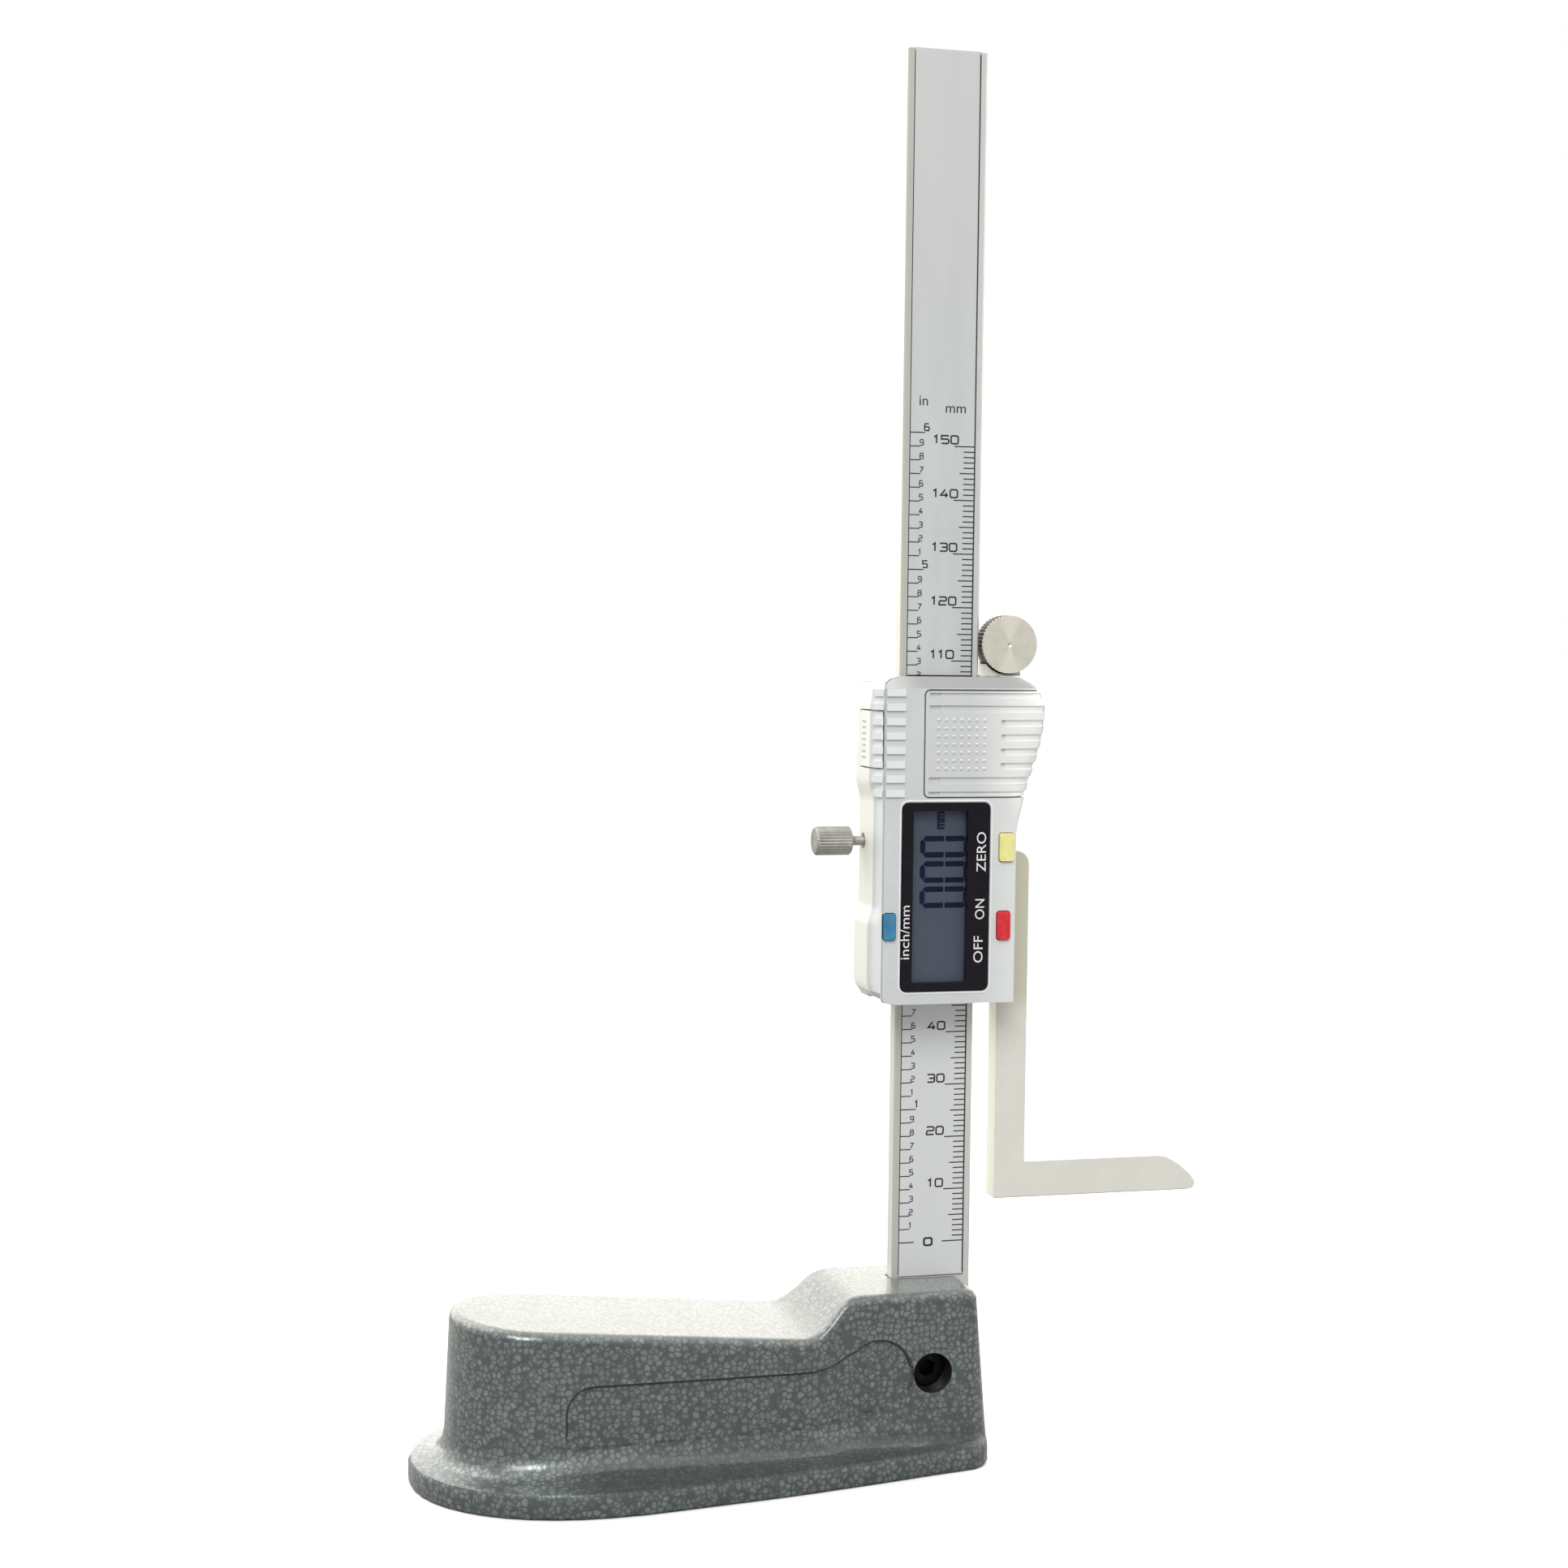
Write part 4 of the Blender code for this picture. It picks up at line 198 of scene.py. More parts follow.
class Sheet:
    """The node sheet of a material or of the world."""

    def __init__(self, owner: bpy.types.Material | bpy.types.World) -> None:
        """Empties the sheet.

        Args:
            owner: The material or the world that the sheet belongs to.
        """
        owner.use_nodes = True
        self.tree = owner.node_tree
        self.tree.nodes.clear()

    def add(
        self, kind: str, settings: dict | None = None, inputs: dict | None = None, out: int | str = 0
    ) -> Wire:
        """Adds one node, sets it, then feeds its sockets.

        Args:
            kind: The type of the node.
            settings: The node's own settings.
            inputs: Values or wires by the name or number of their socket.
            out: The name or number of the output that is asked for.

        Returns:
            The wire of that output.
        """
        node = self.tree.nodes.new(kind)
        for key, value in (settings or {}).items():
            setattr(node, key, value)
        for key, value in (inputs or {}).items():
            if isinstance(value, Wire):
                self.tree.links.new(value.socket, node.inputs[key])
            else:
                node.inputs[key].default_value = value
        return Wire(self, node.outputs[out])

    def grain(self, scale: Place = (1.0, 1.0, 1.0), centre: Place = (0.0, 0.0, 0.0)) -> Wire:
        """Gives the coordinates of the piece in millimetres, so that a pattern keeps its real size.

        Args:
            scale: How fine the pattern is along each axis.
            centre: The point in millimetres that becomes the pattern's middle.

        Returns:
            The wire of the coordinates.
        """
        place = self.add("ShaderNodeTexCoord", out="Object")
        shift = tuple(-value * MM for value in centre)
        moved = self.add("ShaderNodeMapping", {}, {"Vector": place, "Location": shift})
        sizes = tuple(value / MM for value in scale)
        return self.add("ShaderNodeMapping", {}, {"Vector": moved, "Scale": sizes})

    def part(self, vector: Wire, axis: str) -> Wire:
        """Takes one number out of coordinates or a normal.

        Args:
            vector: The coordinates or the normal.
            axis: X, Y or Z.

        Returns:
            The wire of that number.
        """
        return self.add("ShaderNodeSeparateXYZ", {}, {"Vector": vector}, axis)

    def noise(
        self, place: Wire, scale: float, detail: float = 3.0, rough: float = 0.5, warp: float = 0.0
    ) -> Wire:
        """Adds cloudy noise.

        Args:
            place: The coordinates, in millimetres.
            scale: Clouds to the millimetre.
            detail: Layers of finer clouds.
            rough: Weight of the finer clouds.
            warp: How far the clouds are pulled about.

        Returns:
            The wire of the noise, from 0 to 1.
        """
        sizes = {"Vector": place, "Scale": scale, "Detail": detail}
        layers = {"Roughness": rough, "Distortion": warp}
        return self.add("ShaderNodeTexNoise", {"noise_dimensions": "3D"}, sizes | layers, "Fac")

    def fade(self, value: Wire, low: float, high: float, start: float = 0.0, end: float = 1.0) -> Wire:
        """Fades smoothly from one number to another while a value runs through a span.

        Args:
            value: The value that is read.
            low: Where the fade starts.
            high: Where the fade ends.
            start: The number before the fade.
            end: The number after the fade.

        Returns:
            The wire of the faded number.
        """
        sizes = {"Value": value, "From Min": low, "From Max": high, "To Min": start, "To Max": end}
        return self.add("ShaderNodeMapRange", {"interpolation_type": "SMOOTHSTEP"}, sizes, "Result")

    def weigh(self, first: Wire, second: Wire, weight: float, low: float, high: float) -> Wire:
        """Adds two patterns by weight and draws the sum out to its full range.

        Args:
            first: The pattern that has the weight.
            second: The pattern that has the rest.
            weight: The share of the first pattern.
            low: The sum that becomes 0.
            high: The sum that becomes 1.

        Returns:
            The wire of the pattern, from 0 to 1.
        """
        return self.fade(first * weight + second * (1.0 - weight), low, high)

    def blend(self, share: Wire, first: tuple | Wire, second: tuple | Wire) -> Wire:
        """Mixes two colours.

        Args:
            share: The share of the second colour.
            first: The first colour.
            second: The second colour.

        Returns:
            The wire of the mixed colour.
        """
        colours = {0: share, MIX_FIRST: first, MIX_SECOND: second}
        return self.add("ShaderNodeMix", {"data_type": "RGBA"}, colours, MIX_RESULT)

    def relief(self, height: Wire, depth: float, strength: float = 1.0) -> Wire:
        """Turns a height into a bump.

        Args:
            height: The height pattern, from 0 to 1.
            depth: The real depth of the pattern in millimetres.
            strength: The strength of the bump.

        Returns:
            The wire of the normal.
        """
        sizes = {"Height": height, "Distance": depth * MM, "Strength": strength}
        return self.add("ShaderNodeBump", {}, sizes, "Normal")

    def close(self, kind: str, surface: Wire) -> None:
        """Adds the output node and feeds it.

        Args:
            kind: The type of the output node.
            surface: The wire of the finished shader.
        """
        self.tree.links.new(surface.socket, self.tree.nodes.new(kind).inputs["Surface"])


class MaterialSheet(Sheet):
    """The node sheet of one new material."""

    def __init__(self, name: str) -> None:
        """Starts an empty material.

        Args:
            name: The name of the material.
        """
        self.material = bpy.data.materials.new(name)
        super().__init__(self.material)

    def finish(self, inputs: dict) -> bpy.types.Material:
        """Adds the surface shader and the output.

        Args:
            inputs: Values or wires for the surface shader.

        Returns:
            The finished material.
        """
        surface = self.add("ShaderNodeBsdfPrincipled", {}, inputs, "BSDF")
        self.close("ShaderNodeOutputMaterial", surface)
        return self.material


# Finishes


@dataclass(frozen=True)
class Finish:
    """A surface finish that can be made into a material."""

    name: str

    def make(self) -> bpy.types.Material:
        """Makes the material of the finish."""
        raise NotImplementedError


@dataclass(frozen=True)
class HammertonePaint(Finish):
    """Stove enamel that dries into pale islands with darker veins between them."""

    island: Colour = (0.50, 0.525, 0.515)
    island_dim: Colour = (0.41, 0.44, 0.435)
    vein: Colour = (0.285, 0.32, 0.32)
    cell: float = 1.1
    drift: float = 0.55
    pull: float = 1.3
    sway: float = 0.12
    rim_span: Point = (-0.05, 0.24)
    reach_span: Point = (0.36, 0.74)
    metal: float = 0.4
    rough: Point = (0.4, 0.3)
    coat_rough: float = 0.2
    depth: float = 0.03
    # Painted shade: a dark band over the cove at the foot of the wall, where the wall shades it
    soil: Colour = (0.19, 0.205, 0.20)
    soil_share: float = 0.68
    cove_foot: Point = (3.6, 4.4)
    cove_head: Point = (6.2, 8.4)
    cove_left: Point = (-78.0, -64.0)
    # Painted glare: upward faces high on the casting are blended to an even mid-tone and their cells
    # flattened, as glare hides them
    settled: Colour = (0.43, 0.44, 0.42)
    settled_share: float = 0.5
    settled_tilt: Point = (0.5, 0.95)
    settled_from: Point = (12.0, 15.0)

    def make(self) -> bpy.types.Material:
        """Makes the paint: warped cells give the islands, painted shade darkens the cove, a painted
        glare evens out the top.
        """
        sheet = MaterialSheet(self.name)
        place = sheet.grain()
        blur = {"Vector": place, "Scale": self.drift, "Detail": 3.0}
        drift = sheet.add("ShaderNodeTexNoise", {}, blur, "Color")
        pulls = {0: drift, 1: (self.pull, self.pull, self.pull), 2: place}
        pulled = sheet.add("ShaderNodeVectorMath", {"operation": "MULTIPLY_ADD"}, pulls)
        cells = {"Vector": pulled, "Scale": 1.0 / self.cell, "Randomness": 0.8}
        edge = sheet.add("ShaderNodeTexVoronoi", {"feature": "DISTANCE_TO_EDGE"}, cells, "Distance")
        reach = sheet.add("ShaderNodeTexVoronoi", {"feature": "F1"}, cells, "Distance")
        tone = sheet.add("ShaderNodeTexVoronoi", {"feature": "F1"}, cells, "Color")
        share = sheet.add("ShaderNodeSeparateColor", {}, {"Color": tone}, "Red")
        cloud = sheet.noise(place, 0.16, 2.0)
        rim = edge + (cloud - 0.5) * self.sway
        mask = sheet.fade(rim, *self.rim_span) * sheet.fade(reach, *self.reach_span, 1.0, 0.0)
        island = sheet.blend(share, linear(*self.island), linear(*self.island_dim))
        colour = sheet.blend(mask, linear(*self.vein), island)
        across = sheet.part(place, "X")
        up = sheet.part(place, "Z")
        # Painted shade laid over the cove, right of its left end
        hollow = sheet.fade(up, *self.cove_foot) * sheet.fade(up, *self.cove_head, 1.0, 0.0)
        painted_cove_shade = hollow * sheet.fade(across, *self.cove_left) * self.soil_share
        colour = sheet.blend(painted_cove_shade, colour, linear(*self.soil))
        facing = sheet.add("ShaderNodeTexCoord", out="Normal")
        lying = sheet.fade(sheet.part(facing, "Z"), *self.settled_tilt)
        # Painted glare mask on the upward faces high on the casting
        dust = lying * sheet.fade(up, *self.settled_from) * self.settled_share
        colour = sheet.blend(dust, colour, linear(*self.settled))
        fine = sheet.noise(place, 3.2, 2.0)
        height = (mask * 0.8 + fine * 0.2) * (1.0 - dust) + cloud * 0.5
        return sheet.finish(
            {
                "Base Color": colour,
                "Metallic": self.metal,
                "Roughness": sheet.fade(mask, 0.0, 1.0, *self.rough),
                "Coat Weight": 1.0,
                "Coat Roughness": self.coat_rough,
                "Normal": sheet.relief(height, self.depth, 0.7),
            }
        )


@dataclass(frozen=True)
class GroundSteel(Finish):
    """Bare steel with the fine parallel scratches of the grinding wheel."""

    tint: Colour = (0.88, 0.865, 0.82)
    dark: Colour = (0.78, 0.765, 0.725)
    stretch: Place = (9.0, 9.0, 0.25)
    rough: float = 0.36
    metal: float = 0.8
    depth: float = 0.006
    # Painted highlight: the left side is coloured paler than the rest
    side_end: float = -100.0
    side_fade: float = 0.04
    side: Colour = (0.90, 0.90, 0.87)
    # Painted shade: a darker zone along one axis, used for the beam's left rail and for the scriber
    # under the housing
    shade_axis: str = "X"
    shade_span: Point = (-100.0, -101.0)
    shade: Colour = (0.755, 0.76, 0.73)

    def make(self) -> bpy.types.Material:
        """Makes the steel: scratches, handling marks, a painted highlight on the left side and a zone
        of painted shade.
        """
        sheet = MaterialSheet(self.name)
        place = sheet.grain()
        streak = sheet.noise(sheet.grain(self.stretch), 1.0, 4.0, 0.65)
        cloud = sheet.noise(place, 0.12, 3.0, 0.55)
        share = sheet.weigh(streak, cloud, 0.65, 0.32, 0.68)
        # Painted shade over the darker zone
        zone = sheet.part(place, self.shade_axis)
        near, far = self.shade_span
        dull = sheet.fade(zone, min(near, far), max(near, far), float(near > far), float(near < far))
        across = sheet.part(place, "X")
        # Painted highlight on the left side
        painted_side_light = sheet.fade(across, self.side_end, self.side_end + self.side_fade, 1.0, 0.0)
        steel = sheet.blend(share, linear(*self.dark), linear(*self.tint))
        steel = sheet.blend(dull, steel, linear(*self.shade))
        steel = sheet.blend(painted_side_light, steel, linear(*self.side))
        return sheet.finish(
            {
                "Base Color": steel,
                "Metallic": self.metal,
                "Roughness": (1.0 - share) * 0.14 + (self.rough - 0.05),
                "Normal": sheet.relief(streak, self.depth),
            }
        )


@dataclass(frozen=True)
class PrintedScale(Finish):
    """The satin silver face of the scale strip under its print."""

    face: Colour = (0.81, 0.83, 0.835)
    shade: Colour = (0.76, 0.78, 0.79)
    # Painted light: the strip is coloured paler low down
    foot: Colour = (0.855, 0.865, 0.865)
    foot_span: Point = (72.0, 112.0)
    foot_share: float = 0.8
    head: Colour = (0.80, 0.80, 0.80)
    head_span: Point = (170.0, 240.0)
    head_share: float = 0.7
    metal: float = 0.25
    rough: Point = (0.46, 0.38)
    depth: float = 0.004

    def make(self) -> bpy.types.Material:
        """Makes the face: a tight satin grain across the strip, faint clouds along it, painted light
        low down and a neutral grey towards the top.
        """
        sheet = MaterialSheet(self.name)
        satin = sheet.noise(sheet.grain((0.4, 5.0, 12.0)), 1.0, 4.0, 0.6)
        cloud = sheet.noise(sheet.grain((0.15, 0.15, 0.03)), 1.0, 2.0)
        share = sheet.weigh(satin, cloud, 0.5, 0.35, 0.65)
        up = sheet.part(sheet.grain(), "Z")
        # Painted light low on the strip
        low = sheet.fade(up, *self.foot_span, self.foot_share, 0.0)
        high = sheet.fade(up, *self.head_span, 0.0, self.head_share)
        face = sheet.blend(share, linear(*self.shade), linear(*self.face))
        face = sheet.blend(low, face, linear(*self.foot))
        return sheet.finish(
            {
                "Base Color": sheet.blend(high, face, linear(*self.head)),
                "Metallic": self.metal,
                "Roughness": sheet.fade(satin, 0.3, 0.7, *self.rough),
                "Normal": sheet.relief(satin, self.depth),
            }
        )


@dataclass(frozen=True)
class SprayedPlastic(Finish):
    """Moulded plastic under silver paint, with fine flakes and a light orange peel."""

    light: Colour = (0.835, 0.85, 0.85)
    dark: Colour = (0.785, 0.80, 0.805)
    metal: float = 0.2
    rough: float = 0.38
    flakes: float = 11.0
    depth: float = 0.012
    # A paler colour, used for the rib crests and for the painted light on the left corner
    crest: Colour = (0.90, 0.915, 0.915)
    crest_depth: Point = (-8.75, -8.6)
    # Painted highlight: the paint grows paler towards the right
    sheen: Colour = (0.955, 0.965, 0.955)
    sheen_span: Point = (3.0, 15.0)
    sheen_share: float = 0.0
    # Painted shade: the top bevel is coloured darker
    crown: Colour = (0.60, 0.605, 0.605)
    crown_from: float = 144.35
    crown_fade: float = 0.3
    crown_span: Point = (-14.0, -5.0)
    crown_left: float = 0.3
    seam: Point = (-13.15, -13.05)
    # Painted light: the front's left corner near the seam is coloured paler
    turn_depth: Point = (-7.2, -5.4)
    turn_share: float = 0.7
    # Painted highlight: the left side is coloured paler
    side: Colour = (0.955, 0.955, 0.925)
    side_from: float = -4.8
    side_fade: float = 0.4

    def make(self) -> bpy.types.Material:
        """Makes the paint: flakes, a soft peel, paler rib crests, a painted highlight towards the
        right, painted shade on the top bevel, painted light on the left corner and a painted highlight
        on the left side.
        """
        sheet = MaterialSheet(self.name)
        place = sheet.grain()
        across = sheet.part(place, "X")
        depth = sheet.part(place, "Y")
        up = sheet.part(place, "Z")
        grid = {"Vector": place, "Scale": self.flakes}
        flake = sheet.add("ShaderNodeTexVoronoi", {"feature": "F1"}, grid, "Color")
        spark = sheet.add("ShaderNodeSeparateColor", {}, {"Color": flake}, "Green")
        cloud = sheet.noise(place, 0.1, 2.0)
        peel = sheet.noise(place, 2.6, 2.0)
        share = sheet.weigh(spark, cloud, 0.45, 0.25, 0.75)
        paint = sheet.blend(share, linear(*self.dark), linear(*self.light))
        # Painted highlight towards the right
        shine = sheet.fade(across, *self.sheen_span) * self.sheen_share
        paint = sheet.blend(shine, paint, linear(*self.sheen))
        # The rib crests in front of a set depth are paler
        rubbed = sheet.fade(depth, *self.crest_depth, 1.0, 0.0)
        paint = sheet.blend(rubbed, paint, linear(*self.crest))
        # Painted shade on the top bevel, weaker towards the left
        crown = sheet.fade(up, self.crown_from, self.crown_from + self.crown_fade)
        crown = crown * sheet.fade(across, *self.crown_span, self.crown_left, 1.0)
        paint = sheet.blend(crown, paint, linear(*self.crown))
        left = sheet.fade(across, *self.seam, 1.0, 0.0)
        # Painted light on the left corner beside the seam
        turn = left * sheet.fade(depth, *self.turn_depth, self.turn_share, 0.0)
        paint = sheet.blend(turn, paint, linear(*self.crest))
        # Painted highlight on the left side
        painted_side_light = left * sheet.fade(depth, self.side_from, self.side_from + self.side_fade)
        return sheet.finish(
            {
                "Base Color": sheet.blend(painted_side_light, paint, linear(*self.side)),
                "Metallic": self.metal,
                "Roughness": (1.0 - share) * 0.08 + self.rough,
                "Normal": sheet.relief(peel * 0.8 + spark * 0.2, self.depth, 0.7),
            }
        )


@dataclass(frozen=True)
class GlossPlastic(Finish):
    """Hard plastic polished by its mould, with light rubbing."""

    colour: Colour = (0.06, 0.045, 0.08)
    worn: Colour = (0.085, 0.07, 0.11)
    rough: float = 0.14
    shine: float = 0.25
    depth: float = 0.004

    def make(self) -> bpy.types.Material:
        """Makes the gloss: rubbed patches lift the colour and dull the shine a little."""
        sheet = MaterialSheet(self.name)
        place = sheet.grain()
        rub = sheet.fade(sheet.noise(place, 0.45, 4.0, 0.6), 0.42, 0.75)
        grit = sheet.noise(place, 7.0, 2.0)
        return sheet.finish(
            {
                "Base Color": sheet.blend(rub, linear(*self.colour), linear(*self.worn)),
                "Roughness": rub * 0.1 + grit * 0.06 + self.rough,
                "Specular IOR Level": self.shine,
                "Normal": sheet.relief(grit, self.depth),
            }
        )


@dataclass(frozen=True)
class ClearPane(Finish):
    """The clear acrylic pane over the display."""

    tint: Colour = (0.42, 0.47, 0.55)
    smeared: Colour = (0.55, 0.60, 0.66)
    cover: float = 0.015
    rough: float = 0.05

    def make(self) -> bpy.types.Material:
        """Makes the pane: a see-through body with a glossy face that holds faint smears."""
        sheet = MaterialSheet(self.name)
        smear = sheet.noise(sheet.grain((0.35, 0.35, 0.12)), 1.0, 4.0, 0.6, 0.6)
        share = sheet.fade(smear, 0.45, 0.8)
        return sheet.finish(
            {
                "Base Color": sheet.blend(share, linear(*self.tint), linear(*self.smeared)),
                "Roughness": share * 0.08 + self.rough,
                "Alpha": share * 0.01 + self.cover,
            }
        )


@dataclass(frozen=True)
class LiquidCrystal(Finish):
    """The unlit face of the liquid crystal panel."""

    face: Colour = (0.26, 0.29, 0.35)
    deep: Colour = (0.23, 0.265, 0.33)
    span: Point = (92.0, 128.0)
    grit: float = 6.0
    rough: float = 0.38

    def make(self) -> bpy.types.Material:
        """Makes the face: a slow fade up the panel with a fine speckle of the reflector."""
        sheet = MaterialSheet(self.name)
        place = sheet.grain()
        up = sheet.part(place, "Z")
        speck = sheet.noise(place, 9.0, 2.0)
        share = sheet.fade(up + speck * self.grit, *self.span)
        return sheet.finish(
            {
                "Base Color": sheet.blend(share, linear(*self.face), linear(*self.deep)),
                "Roughness": speck * 0.1 + self.rough,
            }
        )


@dataclass(frozen=True)
class SoftKey(Finish):
    """The silicone rubber of a key, satin, with dust in its pores."""

    colour: Colour = (0.88, 0.86, 0.54)
    pale: Colour = (0.92, 0.90, 0.62)
    rough: float = 0.38
    depth: float = 0.01

    def make(self) -> bpy.types.Material:
        """Makes the rubber: faint clouds of colour over a finely pored skin."""
        sheet = MaterialSheet(self.name)
        place = sheet.grain()
        cloud = sheet.fade(sheet.noise(place, 0.7, 3.0, 0.6), 0.35, 0.7)
        pore = sheet.noise(place, 9.0, 3.0)
        return sheet.finish(
            {
                "Base Color": sheet.blend(cloud, linear(*self.colour), linear(*self.pale)),
                "Roughness": pore * 0.12 + self.rough,
                "Normal": sheet.relief(pore, self.depth),
            }
        )


@dataclass(frozen=True)
class TurnedNickel(Finish):
    """Nickel plate over a face turned on the lathe, with the tool's rings left in it."""

    tint: Colour = (0.94, 0.93, 0.88)
    dark: Colour = (0.86, 0.85, 0.79)
    centre: Place = (13.4, 0.0, 152.7)
    axis: str = "Y"
    rough: float = 0.24
    depth: float = 0.01
    rings: float = 9.0
    fan: float = 0.3
    # Painted shade: the knurl behind the face is coloured dark, as the beam beside it shades it
    soil: Colour = (0.36, 0.345, 0.33)
    soil_from: float = 100.0
    soil_fade: float = 0.3
    # Painted highlight: a bright fan through the turning axis
    glint: Colour = (0.97, 0.96, 0.91)
    glint_share: float = 0.0
    metal: float = 0.6

    def make(self) -> bpy.types.Material:
        """Makes the plate: rings round the turning axis, a painted highlight fan, and painted shade on
        the knurl.
        """
        sheet = MaterialSheet(self.name)
        place = sheet.grain(centre=self.centre)
        first, second = (name for name in "XYZ" if name != self.axis)
        across = sheet.part(place, first)
        along = sheet.part(place, second)
        reach = (across * across + along * along) ** 0.5
        rings = {"W": reach, "Scale": self.rings, "Detail": 2.0}
        ring = sheet.add("ShaderNodeTexNoise", {"noise_dimensions": "1D"}, rings)
        cloud = sheet.noise(place, 0.5, 2.0)
        share = sheet.weigh(ring, cloud, 0.35, 0.3, 0.7)
        # Painted shade behind the face
        down = sheet.part(place, self.axis)
        painted_shade_mask = sheet.fade(down, self.soil_from, self.soil_from + self.soil_fade)
        # Painted highlight fan
        lean = across * across / (reach * reach + 0.001)
        fan = sheet.fade(lean, 0.0, self.fan, 1.0, 0.0) * self.glint_share
        plate = sheet.blend(share, linear(*self.dark), linear(*self.tint))
        plate = sheet.blend(fan, plate, linear(*self.glint))
        return sheet.finish(
            {
                "Base Color": sheet.blend(painted_shade_mask, plate, linear(*self.soil)),
                "Metallic": self.metal,
                "Roughness": (1.0 - share) * 0.12 + painted_shade_mask * 0.2 + self.rough,
                "Normal": sheet.relief(ring, self.depth),
            }
        )


@dataclass(frozen=True)
class PlatedMetal(Finish):
    """Plated or plain small metal parts with a faint mottling and handling marks."""

    tint: Colour = (0.62, 0.60, 0.57)
    dark: Colour = (0.48, 0.46, 0.44)
    rough: float = 0.26
    metal: float = 1.0
    depth: float = 0.004

    def make(self) -> bpy.types.Material:
        """Makes the metal: mottled colour and shine over a fine grain."""
        sheet = MaterialSheet(self.name)
        place = sheet.grain()
        mottle = sheet.noise(place, 0.9, 4.0, 0.6)
        grit = sheet.noise(place, 8.0, 2.0)
        share = sheet.weigh(mottle, grit, 0.7, 0.35, 0.65)
        return sheet.finish(
            {
                "Base Color": sheet.blend(share, linear(*self.dark), linear(*self.tint)),
                "Metallic": self.metal,
                "Roughness": (1.0 - share) * 0.15 + self.rough,
                "Normal": sheet.relief(grit, self.depth),
            }
        )


@dataclass(frozen=True)
class SolderMask(Finish):
    """The green lacquer of a circuit board with copper lines showing through it."""

    lacquer: Colour = (0.06, 0.30, 0.16)
    copper: Colour = (0.16, 0.42, 0.20)
    blocks: float = 0.4
    tracks: float = 4.0
    track_span: Point = (0.3, 0.36)
    rough: float = 0.32
    depth: float = 0.02

    def make(self) -> bpy.types.Material:
        """Makes the lacquer: ranks of lines, broken up, stand for the tracks beneath."""
        sheet = MaterialSheet(self.name)
        place = sheet.grain()
        cells = {"Vector": place, "Scale": self.blocks}
        square = {"feature": "F1", "distance": "CHEBYCHEV"}
        block = sheet.add("ShaderNodeTexVoronoi", square, cells, "Distance")
        lines = sheet.add("ShaderNodeMath", {"operation": "PINGPONG"}, {0: block * self.tracks, 1: 0.5})
        track = sheet.fade(lines, *self.track_span)
        return sheet.finish(
            {
                "Base Color": sheet.blend(track, linear(*self.lacquer), linear(*self.copper)),
                "Roughness": self.rough - track * 0.08,
                "Normal": sheet.relief(track, self.depth),
            }
        )


@dataclass(frozen=True)
class PrintInk(Finish):
    """Screen printed ink, a little uneven in its cover."""

    colour: Colour = (0.17, 0.18, 0.19)
    thin: Colour = (0.30, 0.31, 0.32)
    rough: float = 0.5
    shine: float = 0.5

    def make(self) -> bpy.types.Material:
        """Makes the ink: fine clouds where the mesh of the screen left less of it."""
        sheet = MaterialSheet(self.name)
        place = sheet.grain()
        cover = sheet.fade(sheet.noise(place, 4.0, 3.0, 0.6), 0.45, 0.8)
        return sheet.finish(
            {
                "Base Color": sheet.blend(cover, linear(*self.colour), linear(*self.thin)),
                "Roughness": cover * 0.15 + self.rough,
                "Specular IOR Level": self.shine,
            }
        )


@dataclass(frozen=True)
class StudioPaper(Finish):
    """The pale paper that the gauge stands on."""

    pale: Colour = (0.93, 0.93, 0.935)
    white: Colour = (0.95, 0.95, 0.955)
    bounce: Colour = (0.55, 0.55, 0.545)
    rough: float = 0.9

    def make(self) -> bpy.types.Material:
        """Makes the paper: near white to the camera, and a soft grey in what it throws back."""
        sheet = MaterialSheet(self.name)
        cloud = sheet.noise(sheet.grain(), 0.01, 3.0)
        seen = sheet.add("ShaderNodeLightPath", out="Is Camera Ray")
        paper = sheet.blend(cloud, linear(*self.pale), linear(*self.white))
        return sheet.finish(
            {
                "Base Color": sheet.blend(seen, linear(*self.bounce), paper),
                "Roughness": self.rough,
            }
        )


# Modelling bench


